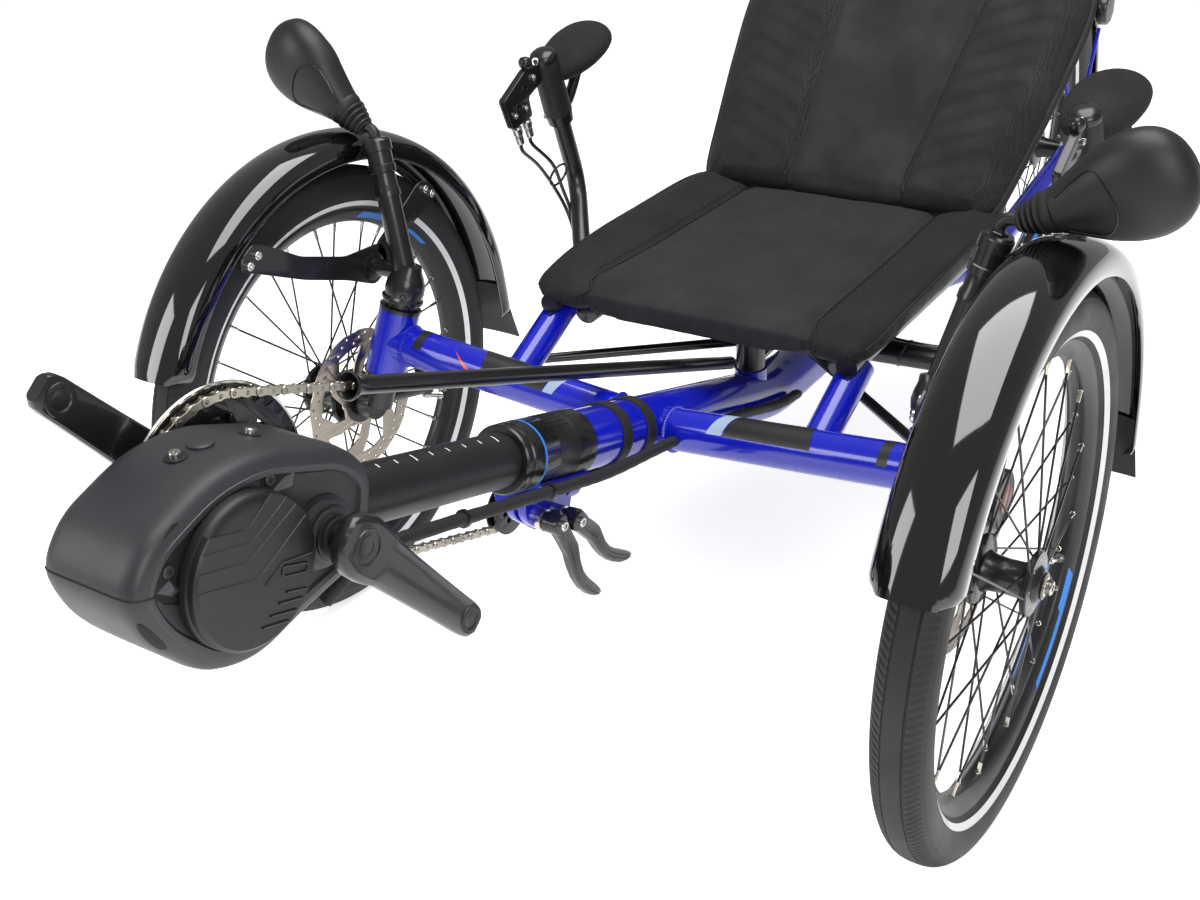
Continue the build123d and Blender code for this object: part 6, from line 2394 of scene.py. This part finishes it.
def build_back_cushion() -> None:
    """Seat back: a woven middle panel between mesh side panels, with seams and a bound edge."""
    stations = []
    for s, half, edge in BACK_STATIONS:
        near_side = ((half, -16.0), (edge - 4, -13.0), (edge - 4, 16.0), (half, 14.0))
        stations.append((s, near_side + tuple((-a, b) for a, b in reversed(near_side))))
    finishes = (BACK_CLOTH, BACK_MESH)
    mesh = pad_mesh(stations, on_back, 9.0)
    pad = make_piece("back_cushion_cover", mesh, finishes, "frame", ("back_cushion",), 60.0)
    inflate(pad, 7.0)
    sew(pad, lambda p: abs(abs(p.y) / MM - between(BACK_STATIONS, along_back(p), 1)), 2.6)
    cover_panels(pad, finishes, lambda p: between(BACK_STATIONS, along_back(p), 1))
    seams = bmesh.new()
    for side in (1, -1):
        seam = [near(pad, on_back(s, side * half, 26.0), 0.4) for s, half, _ in BACK_STATIONS[1:-1]]
        add_sweep(seams, smooth_path(seam, 6), 1.1, 8)
        stitch = [
            near(pad, on_back(float(s), side * (between(BACK_STATIONS, float(s), 1) + 4.5), 26.0), 0.3)
            for s in range(20, 620, 6)
        ]
        for first, last in zip(stitch[::2], stitch[1::2]):
            add_sweep(seams, [first, first.lerp(last, 0.8)], 0.5, 5)
        binding = [near(pad, on_back(s, side * (edge + 20), 4.0), 0.6) for s, _, edge in BACK_STATIONS]
        add_sweep(seams, smooth_path(binding, 6), 3.4, 10, 1.5)
    make_piece("back_seams_and_binding", seams, (EDGE_CLOTH,), "frame", (), 60.0)


def build_seat_fittings() -> None:
    """Rail clamps under the seat, lacing behind the seat back and a knob on the back's edge."""
    mesh = bmesh.new()
    for side in (1, -1):
        for x in (-170.0, -430.0):
            spot = Place.at(x, side * 150.0, 331.0)
            add_turned(
                mesh,
                spot - Vector((9, 0, 0)) * MM,
                AHEAD,
                ((0, 13), (1, 14.6), (17, 14.6), (18, 13)),
                28,
            )
        for s in range(60, 600, 60):
            reach = 150 - 0.05 * s
            path = [
                on_back(s, side * 20, -21.5), on_back(s + 4, side * reach * 0.6, -22.5),
                on_back(s, side * reach, -24.0),
            ]
            add_sweep(mesh, smooth_path(path, 5), 5.5, 8, 0.2, index=1)
    # The knob sits on the edge of the seat back, just outside its cover.
    knob = on_back(280.0, 208.0, -14.0)
    add_turned(mesh, knob, LEFT, ((0, 7), (6, 7), (7, 17), (9, 18.5), (18, 18.5), (20, 17), (20.5, 6)), 9)
    make_piece("seat_clamps_and_lacing", mesh, (BLACK_ANODISED, EDGE_CLOTH), "frame", (), 40.0)


# ------------------------------------------------------------------ handles
PALM_REST = (
    # (share of the length, half width, half height)
    (0.0, 6.0, 4.0), (0.03, 15.0, 8.5), (0.1, 25.0, 13.0), (0.25, 33.5, 17.0), (0.45, 38.5, 19.0),
    (0.65, 39.0, 18.6),
    (0.82, 34.0, 16.4), (0.93, 24.0, 12.0), (0.985, 12.0, 6.6), (1.0, 2.0, 2.0),
)


def handle_ends(side: int) -> tuple[Vector, Vector]:
    """Return the lower and the upper end of a handle's grip."""
    return Place.at(-366.0, side * 313.8, 478.0), Place.at(-339.0, side * 312.1, 552.0)


def grip_mesh(side: int) -> bmesh.types.BMesh:
    """Return a rubber grip with its padded palm rest, the rest's arm, cap and screw."""
    low, high = handle_ends(side)
    axis = (high - low).normalized()
    length = (high - low).length / MM
    grip = bmesh.new()
    steps = (
        (2.0, 14.0), (3.0, 17.0), (8.0, 17.2), (length * 0.5, 16.6), (length - 10, 16.8),
        (length - 3, 15.2), (length, 11.0),
    )
    add_turned(grip, low, axis, steps, 36)
    # Palm rest: a wide padded egg on an arm behind the grip.
    rest_from, rest_to = Place.at(-347.0, side * 310.0, 527.0), Place.at(-458.0, side * 315.0, 561.0)
    span = rest_to - rest_from
    lean = span.cross(LEFT).normalized()
    lean = lean if lean.z > 0 else -lean
    rings = []
    for share, width, height in PALM_REST:
        middle = rest_from + span * share
        rings.append([
            middle + (Vector((0, math.cos(turn) * width, 0)) + lean * math.sin(turn) * height) * MM
            for turn in (math.tau * k / 32 for k in range(32))
        ])
    add_rings(grip, smooth_rings(rings, 3), index=1)
    arm = [
        low.lerp(high, 0.06),
        low.lerp(high, 0.1) + Vector((-24, 0, 4)) * MM,
        rest_from.lerp(rest_to, 0.6) - lean * 14 * MM,
    ]
    add_sweep(grip, smooth_path(arm, 6), 6.5, 16, index=2)
    cap = ((-6, 15.6), (-1, 16.4), (3, 15.0), (6, 11.0), (7.4, 4.0))
    add_turned(grip, high, axis, cap, 32, 2)
    screw = high.lerp(low, 0.08) + Vector((15, 0, 2)) * MM
    add_bolt(grip, screw, Vector((1, 0, 0.25)), 4.6, 3)
    return grip


LEVER_BRACKET = (
    (-301, 545), (-330, 545), (-338, 530), (-325, 522), (-303, 513), (-308, 490), (-269, 483),
    (-255, 519),
)
LEVER_BALL = ((0, 4.0), (4, 3.6), (6, 6.4), (10, 8.2), (14, 8.0), (17, 6.0), (18.4, 2.0))
CABLE_ADJUSTER = ((0, 4.6), (2, 6.4), (9, 6.4), (10, 4.8), (13, 5.4), (22, 5.0), (24, 3.2))


def cable_run(side: int, start: Vector, fall: Vector, offset: float) -> list[Vector]:
    """Return a brake cable's course from its adjuster down the handle to the pivot.

    Args:
        side: 1 for the left handle, -1 for the right one.
        start: Upper end of the adjuster.
        fall: Direction of the adjuster.
        offset: Distance from the middle between the handle's two cables.
    """
    run = [start + fall * 22 * MM, start + fall * 34 * MM]
    run += [
        Place.at(x, side * y + offset * aside, z + offset * lift)
        for x, y, z, aside, lift in (
            (-332 - offset, 314, 424, 1.0, 0.0), (-362, 318, 384, 1.0, 0.0),
            (-366, 306, 352, 0.5, 0.0), (-332, 266, 314, 0.4, 0.0), (-296, 222, 306, 0.0, 0.4),
            (-281, 170, 309, 0.0, 0.4), (-284, 112, 312, 0.0, 0.4), (-280, 30, 313, 0.0, 0.4),
        )
    ]
    return run


def lever_mesh(side: int) -> bmesh.types.BMesh:
    """Return a handle's brake bracket, ball-ended lever, clamps, adjusters and cables."""
    low, high = handle_ends(side)
    axis = (high - low).normalized()
    lever = bmesh.new()
    clamp = low - axis * 2 * MM
    band = ((0, 14), (1, 15.6), (8, 15.6), (8.2, 16.4), (15, 16.4), (16, 15))
    add_turned(lever, clamp - axis * 9 * MM, axis, band, 36)
    screw = clamp + Vector((13, side * 9, 0)) * MM
    add_bolt(lever, screw, Vector((1, side * 0.6, 0)), 3.6, 1)
    flat = Basis(Place.at(0, side * 314.0, 0), SIDE_VIEW_U, SIDE_VIEW_V)
    holes = [round_hole(2.6, 330, 11, spot) for spot in ((-298.0, 525.0), (-281.0, 506.0))]
    add_cutout(lever, flat, [rounded(LEVER_BRACKET, 4), *holes], 9.0, 1.0)
    neck, ball = (Place.at(x, side * 314.0, z) for x, z in ((-304.0, 540.0), (-306.0, 549.0)))
    add_turned(lever, neck, ball - neck, LEVER_BALL, 24)
    for x, z in ((-312.0, 534.0), (-294.0, 503.0), (-273.0, 499.0)):
        for face_side in (1, -1):
            face = Place.at(x, side * 314.0 + face_side * 4.6, z)
            add_bolt(lever, face, Vector((0, face_side, 0)), 3.6, 1)
    fall = Vector((-0.3, 0, -0.95)).normalized()
    for offset in (-6.0, 6.0):
        spot = Place.at(-289.0 - offset * 1.6, side * 314.0, 486.0 + offset * 0.3)
        add_turned(lever, spot, fall, CABLE_ADJUSTER, 12, 1)
        add_sweep(lever, smooth_path(cable_run(side, spot, fall, offset), 8), 2.3, 8, index=2)
    # Loops of wire that hold the cables to the handlebar.
    turns = [math.tau * k / 24 for k in range(25)]
    for low_at in (Place.at(-357.0, side * 314.0, 404.0), Place.at(-282.0, side * 170.0, 298.0)):
        ring = [
            low_at + Vector((17 * math.cos(a), 4 * math.sin(a), 13 * math.sin(a))) * MM
            for a in turns
        ]
        add_sweep(lever, ring, 1.5, 6, index=2)
    return lever


def shifter_mesh() -> bmesh.types.BMesh:
    """Return the gear shifter under the left grip: ring, paddle and cable boss."""
    low, high = handle_ends(1)
    shifter = bmesh.new()
    body = Place.at(-386.0, 316.0, 506.0)
    barrel = ((0, 14), (3, 20), (22, 21.5), (27, 20), (30, 12))
    add_turned(shifter, body + Vector((2, 0, -16)) * MM, (high - low).normalized(), barrel, 36)
    paddle = [body, body + Vector((-16, 8, 4)) * MM, body + Vector((-30, 20, 16)) * MM]
    add_sweep(shifter, paddle, 5.2, 12, 0.6)
    boss = ((0, 13), (4, 13), (5, 11))
    add_turned(shifter, body + Vector((-8, 16, 0)) * MM, LEFT, boss, 28, 1)
    return shifter


def build_handle(side: int, name: str) -> list[bpy.types.Object]:
    """Handle top: rubber grip, palm rest, clamp bands, cable adjusters and cables."""
    pieces = [
        (f"grip_and_palm_rest_{name}", grip_mesh(side),
         (BOOT_RUBBER, SEAT_MESH, BLACK_ANODISED, BOLT_STEEL), 36.0),
        (f"brake_lever_{name}", lever_mesh(side), (BLACK_ANODISED, BOLT_STEEL, TUBE_POLY), 34.0),
    ]
    if side > 0:
        pieces.append(("gear_shifter", shifter_mesh(), (SHELL_PLASTIC, BOLT_STEEL), 34.0))
    return [
        make_piece(piece_name, mesh, finishes, "handlebar", (), crease)
        for piece_name, mesh, finishes, crease in pieces
    ]


def build_handles() -> None:
    """Both handle tops; they stand for the CAD grips and levers together."""
    left = build_handle(1, "left")
    build_handle(-1, "right")
    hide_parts("grips")
    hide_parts("brake_levers")


def build_steering_details() -> None:
    """Ball joints with rubber boots at the tie rods' ends, and the pivot's cap."""
    for side, name, height in ((1, "left", 275.0), (-1, "right", 260.0)):
        mesh = bmesh.new()
        outer = Place.kingpin(side, height) - Vector((75, 0, 0)) * MM
        inner = Place.at(-335.0, 0.0, height)
        along = (outer - inner).normalized()
        add_sweep(mesh, [inner + along * 12 * MM, outer - along * 12 * MM], 5.6, 20)
        for spot, lead in ((inner, along), (outer, -along)):
            add_turned(
                mesh,
                spot + lead * 9 * MM,
                lead,
                ((0, 5.6), (2, 6.6), (20, 6.6), (21, 6.1), (30, 6.1), (31, 5.6)),
                6,
                1,
            )
            rows = []
            for step in range(17):
                a = math.tau * step / 16
                rows.append((8.6 + 1.4 * math.cos(a), 3.8 * math.sin(a)))
            for first, last in zip(rows, rows[1:]):
                ring_low = circle(spot + Vector((0, 0, first[1])) * MM, UP, first[0], 32)
                ring_high = circle(spot + Vector((0, 0, last[1])) * MM, UP, last[0], 32)
                add_rings(mesh, [ring_low, ring_high], capped=False)
        make_piece(
            f"tie_rod_{name}_joints",
            mesh,
            (BLACK_COAT, BOLT_STEEL),
            f"tie_rod_{name}",
            (f"tie_rod_{name}",),
            34.0,
        )
    cap = bmesh.new()
    top = Place.at(-260.0, 0.0, 313.4)
    add_turned(cap, top, UP, ((0, 16.4), (0.6, 17.4), (2.6, 17.4), (3.4, 16.0)), 40)
    add_bolt(cap, top + Vector((0, 0, 3.2)) * MM, UP, 5.2, 1)
    make_piece("steering_pivot_cap", cap, (BLACK_ANODISED, BOLT_STEEL), "handlebar")


# ------------------------------------------------------------------ rear drive
def toothed(teeth: int) -> list[tuple[float, float]]:
    """Return the outline of a sprocket for half-inch chain."""
    radius = CHAIN_PITCH / (2 * math.sin(math.pi / teeth))
    wave = (
        (0.0, -4.2), (0.14, -3.8), (0.32, -0.6), (0.44, 2.4), (0.56, 2.4), (0.68, -0.6),
        (0.86, -3.8), (0.97, -4.2),
    )
    outline = []
    for tooth in range(teeth):
        for share, lift in wave:
            a = math.tau * (tooth + share) / teeth
            outline.append(on_circle(radius + lift, a))
    return outline


def build_cassette() -> None:
    """Six sprockets with windows, spacers and a lock ring."""
    mesh = bmesh.new()
    axle = Place.at(-WHEELBASE, 0.0, AXLE_HEIGHT)
    for teeth, y in ((11, -58.0), (14, -54.5), (26, CHAIN_Y), (22, -47.5), (26, -43.5), (30, -39.5)):
        outlines = [toothed(teeth), round_hole(15.5, 350, 35)]
        radius = CHAIN_PITCH / (2 * math.sin(math.pi / teeth))
        if radius > 40:
            for k in range(8):
                outlines.append(round_hole(5.0, 330, 11, on_circle(radius - 15, math.tau * k / 8)))
        base = Basis(axle + Vector((0, y, 0)) * MM, SIDE_VIEW_U, SIDE_VIEW_V)
        add_cutout(mesh, base, outlines, 1.9, 0.3)
    add_turned(mesh, axle + Vector((0, -59.5, 0)) * MM, LEFT, ((0, 15.0), (0.6, 17.0), (25, 17.0)), 32, 1)
    make_piece(
        "cassette_sprockets", mesh, (CHAIN_STEEL, BLACK_ANODISED), "wheel_rear", ("cassette",), 30.0
    )


def build_idlers() -> None:
    """Chain idlers and derailleur pulleys: toothed wheels between guide plates with bolts."""
    mesh = bmesh.new()
    for (x, z, radius, _), big in zip((chain_wheels()[1], chain_wheels()[5]), (True, False)):
        teeth = 12 if big else 9
        base = Basis(Place.at(x, CHAIN_Y, z), SIDE_VIEW_U, SIDE_VIEW_V)
        corners = teeth * 4
        outline = [
            on_circle(radius - 4.5 + (2.6 if k % 4 in (1, 2) else 0), math.tau * k / corners)
            for k in range(corners)
        ]
        add_cutout(mesh, base, [outline], 4.4, 0.4, 1)
        for y in (-4.9, 4.9):
            plate = Basis(base.origin + Vector((0, y, 0)) * MM, SIDE_VIEW_U, SIDE_VIEW_V)
            rim = arc_points(radius + (7.0 if big else 6.0), 0, 352, 44)
            holes = [
                round_hole(3.0, 324, 9, on_circle(radius * 0.55, math.tau * k / 6)) for k in range(6)
            ]
            add_cutout(mesh, plate, [rim, *holes], 1.8, 0.3)
        end = -26.0 if big else -15.0
        add_turned(
            mesh,
            base.origin - Vector((0, 7.4, 0)) * MM,
            LEFT,
            ((0, 5), (abs(CHAIN_Y) + end + 7.4, 5)),
            24,
            2,
        )
        add_turned(
            mesh,
            base.origin - Vector((0, 8.6, 0)) * MM,
            LEFT,
            ((0, 8), (1.6, 8.4), (2.4, 8.4)),
            24,
            2,
        )
        add_bolt(mesh, base.origin - Vector((0, 8.6, 0)) * MM, Vector((0, -1, 0)), 4.6, 2)
    make_piece(
        "chain_idlers", mesh, (BLACK_ANODISED, BOOT_RUBBER, BOLT_STEEL), "frame", ("idlers",), 30.0
    )


def build_battery() -> None:
    """Battery case: split line, rubber plug cover, carrying handle and side ribs."""
    mesh = bmesh.new()
    low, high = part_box("battery")
    middle = (low + high) / 2
    size = (high - low) / MM
    half_x, half_y = size.x / 2, size.y / 2
    corners = [(-half_x, -half_y), (half_x, -half_y), (half_x, half_y), (-half_x, half_y)]
    outline = rounded(corners, 14, 8)
    foot = Vector((middle.x, middle.y, low.z))
    split = size.z * 0.62
    levels = (
        (0, 1.5), (1.5, 0), (split, 0), (split + 0.4, 1.2), (split + 2.4, 1.2), (split + 2.8, 0),
        (size.z - 9, 0.2), (size.z - 4, 1.8), (size.z - 1.2, 5.0), (size.z, 10.0),
    )
    rings = []
    for height, inset in levels:
        kx, ky = 1 - inset / half_x, 1 - inset / half_y
        rings.append([foot + Vector((a * kx, b * ky, height)) * MM for a, b in outline])
    add_rings(mesh, rings)
    for side in (1, -1):
        for k in range(6):
            x = -30 + k * 12
            start = Vector((middle.x + x * MM, middle.y + side * size.y / 2 * MM, low.z + 16 * MM))
            add_sweep(mesh, [start, start + Vector((0, 0, 50)) * MM], 1.8, 8)
    plug = foot + Vector((0, half_y - 1, 96)) * MM
    add_turned(mesh, plug, LEFT, ((0, 9), (2, 9), (2.6, 8)), 28, 1)
    bow = ((-36, -3), (-32, 5), (-18, 8), (18, 8), (32, 5), (36, -3))
    grip = [Vector((middle.x + x * MM, middle.y, high.z + h * MM)) for x, h in bow]
    add_sweep(mesh, smooth_path(grip, 6), 5.5, 12, 0.7, index=1)
    make_piece("battery_case", mesh, (SHELL_PLASTIC, BOOT_RUBBER), "frame", ("battery",), 34.0)


# ------------------------------------------------------------------ CAD node finishes
NODE_FINISHES = {
    "main_tube": BLUE_COAT,
    "boom": BOOM_ANODISED,
    "boom_collar": BLACK_ANODISED,
    "clamp_casting": BLUE_COAT,
    "clamp_levers": BLACK_ANODISED,
    "cross_member": BLUE_COAT,
    "seat_struts": BLUE_COAT,
    "rear_frame": BLUE_COAT,
    "motor_housing": MOTOR_NYLON,
    "motor_cover": COVER_NYLON,
    "chain": CHAIN_STEEL,
    "chain_tubes": TUBE_POLY,
    "idlers": BLACK_ANODISED,
    "idler_arm": BLACK_ANODISED,
    "derailleur": BLACK_ANODISED,
    "seat_frame": BLACK_COAT,
    "seat_cushion": SEAT_MESH,
    "back_cushion": BACK_MESH,
    "steering_pivot": BLUE_COAT,
    "battery": SHELL_PLASTIC,
    "cranks": BLACK_COAT,
    "chainring": BLACK_ANODISED,
    "handlebar": BLACK_COAT,
    "grips": BOOT_RUBBER,
    "brake_levers": BLACK_ANODISED,
    "cassette": CHAIN_STEEL,
}
PAIRED_FINISHES = {
    "tie_rod": BLACK_COAT,
    "knuckle": BLACK_COAT,
    "post": BLACK_COAT,
    "mirror": SHELL_PLASTIC,
    "caliper": BLACK_ANODISED,
    "tyre": TYRE_RUBBER,
    "rim": RIM_ANODISED,
    "hub": BLACK_ANODISED,
    "disc": DISC_STEEL,
    "fender": FENDER_GLOSS,
}


def dress_nodes(nodes: dict[str, bpy.types.Object]) -> None:
    """Give every CAD node its material and soften its shading.

    Args:
        nodes: CAD objects by name.
    """
    for name, node in nodes.items():
        finish = NODE_FINISHES.get(name) or PAIRED_FINISHES[name.rsplit("_", 1)[0]]
        node.data.materials.clear()
        node.data.materials.append(SHELF.get(finish))
        node.data.shade_smooth()
        node.data.set_sharp_from_angle(angle=math.radians(34))


def build_camera() -> None:
    """Place the camera ahead of and above the left front wheel."""
    yaw, pitch, roll = math.radians(214.39), math.radians(28.66), math.radians(-3.18)
    forward = Vector(
        (math.cos(yaw) * math.cos(pitch), math.sin(yaw) * math.cos(pitch), -math.sin(pitch))
    )
    level = forward.cross(UP).normalized()
    upright = level.cross(forward)
    right = level * math.cos(roll) + upright * math.sin(roll)
    up = upright * math.cos(roll) - level * math.sin(roll)
    data = bpy.data.cameras.new("camera")
    data.lens = 42.9
    data.sensor_width = 36.0
    data.sensor_fit = "HORIZONTAL"
    camera = bpy.data.objects.new("camera", data)
    turn = Matrix((right, up, -forward)).transposed().to_4x4()
    camera.matrix_world = Matrix.Translation(Place.at(1019.8, 667.3, 943.3)) @ turn
    bpy.context.scene.collection.objects.link(camera)
    bpy.context.scene.camera = camera


def add_softbox(name: str, spot: Point, size: tuple[float, float], power: float) -> None:
    """Add a rectangular light that faces the trike's middle.

    Args:
        name: Object name.
        spot: Place in trike millimetres.
        size: Width and height in metres.
        power: Watts.
    """
    data = bpy.data.lights.new(name, "AREA")
    data.shape = "RECTANGLE"
    data.size, data.size_y = size
    data.energy = power
    lamp = bpy.data.objects.new(name, data)
    lamp.location = Place.at(*spot)
    aim = Place.at(-100.0, 0.0, 330.0) - lamp.location
    lamp.rotation_euler = aim.to_track_quat("-Z", "Y").to_euler()
    bpy.context.scene.collection.objects.link(lamp)


# Strength of the white sky where it lights the room and where it shows in a reflection.
SKY_AS_LIGHT = 0.32
SKY_IN_REFLECTIONS = 0.3
# Glow of the floor in the camera's eye, and the share of it that anything else sees.
FLOOR_GLOW = 0.66
FLOOR_GLOW_SHARE = 0.5


def floor_material() -> bpy.types.Material:
    """Return a floor that is white to the camera apart from the shadows on it."""
    material = bpy.data.materials.new("studio_floor_white")
    material.use_nodes = True
    tree = material.node_tree
    shader = tree.nodes["Principled BSDF"]
    shader.inputs["Base Color"].default_value = linear("FFFFFF")
    shader.inputs["Roughness"].default_value = 0.9
    shader.inputs["Emission Color"].default_value = linear("FFFFFF")
    rays = add_node(tree, "ShaderNodeLightPath")
    seen = add_node(tree, "ShaderNodeMath", operation="MAXIMUM")
    tree.links.new(rays.outputs["Is Camera Ray"], seen.inputs[0])
    seen.inputs[1].default_value = FLOOR_GLOW_SHARE
    share = add_node(tree, "ShaderNodeMath", operation="MULTIPLY")
    tree.links.new(seen.outputs["Value"], share.inputs[0])
    share.inputs[1].default_value = FLOOR_GLOW
    tree.links.new(share.outputs["Value"], shader.inputs["Emission Strength"])
    return material


def build_studio() -> None:
    """Pale floor, soft sky and three soft lights."""
    scene = bpy.context.scene
    scene.view_settings.view_transform = "Standard"
    world = bpy.data.worlds.new("studio")
    world.use_nodes = True
    background = world.node_tree.nodes["Background"]
    background.inputs["Color"].default_value = linear("FFFFFF")
    # White to the camera, softer in reflections and as the light of the room.
    tree = world.node_tree
    rays = add_node(tree, "ShaderNodeLightPath")
    shown = add_node(tree, "ShaderNodeMath", operation="MULTIPLY_ADD")
    mirrored = add_node(tree, "ShaderNodeMath", operation="MULTIPLY_ADD")
    tree.links.new(rays.outputs["Is Glossy Ray"], mirrored.inputs[0])
    mirrored.inputs[1].default_value = SKY_IN_REFLECTIONS - SKY_AS_LIGHT
    mirrored.inputs[2].default_value = SKY_AS_LIGHT
    tree.links.new(rays.outputs["Is Camera Ray"], shown.inputs[0])
    shown.inputs[1].default_value = 1.0 - SKY_AS_LIGHT
    tree.links.new(mirrored.outputs["Value"], shown.inputs[2])
    tree.links.new(shown.outputs["Value"], background.inputs["Strength"])
    scene.world = world
    mesh = bmesh.new()
    add_plate(
        mesh,
        Basis(Place.at(-300.0, 0.0, -2.0), AHEAD, LEFT),
        arc_points(9000.0, 0, 350, 35),
        2.0,
        0.5,
    )
    data = bpy.data.meshes.new("floor")
    mesh.to_mesh(data)
    mesh.free()
    floor = bpy.data.objects.new("floor", data)
    data.materials.append(floor_material())
    scene.collection.objects.link(floor)
    add_softbox("overhead", (-200.0, 200.0, 2600.0), (2.4, 1.6), 60.0)
    add_softbox("front_left", (1900.0, 2200.0, 1900.0), (1.4, 1.4), 32.0)
    add_softbox("front_right", (2100.0, -1700.0, 1500.0), (1.0, 1.4), 22.0)


def build_all(frame: dict) -> None:
    """Add every piece of the trike."""
    dress_nodes(frame["nodes"])
    for wheel in WHEELS:
        build_tyre(wheel)
        build_rim(wheel)
        build_hub(wheel)
        arc = wheel.middle + Vector((-12, 0, 6)) * MM
        if wheel.name == "rear":
            build_fender("rear", "frame", arc, 38.0, 196.0)
        else:
            build_disc(wheel)
            build_fender(wheel.name, f"knuckle_{wheel.name}", arc, 24.0, 184.0)
    build_motor()
    build_motor_cover()
    build_cranks()
    build_chainring()
    build_chain()
    build_chain_tubes()
    build_collar()
    build_boom_ticks()
    build_levers()
    build_casting()
    build_frame_details()
    build_cable_sleeve()
    for name, side in (("left", 1), ("right", -1)):
        build_post(side, name)
        build_mirror(side, name)
        build_caliper(side, name)
        build_fender_fittings(side, name)
    build_seat_cushion()
    build_back_cushion()
    build_seat_fittings()
    build_handles()
    build_steering_details()
    build_cassette()
    build_idlers()
    build_battery()


def main() -> None:
    """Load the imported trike, dress it and hand it to the renderer."""
    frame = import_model()
    low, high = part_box("hub_left")
    Place.axle_x = (low.x + high.x) / 2
    LOG.info("front axle lies %.5f m ahead of the origin", Place.axle_x)
    build_camera()
    build_studio()
    build_all(frame)


if __name__ == "__main__":
    main()
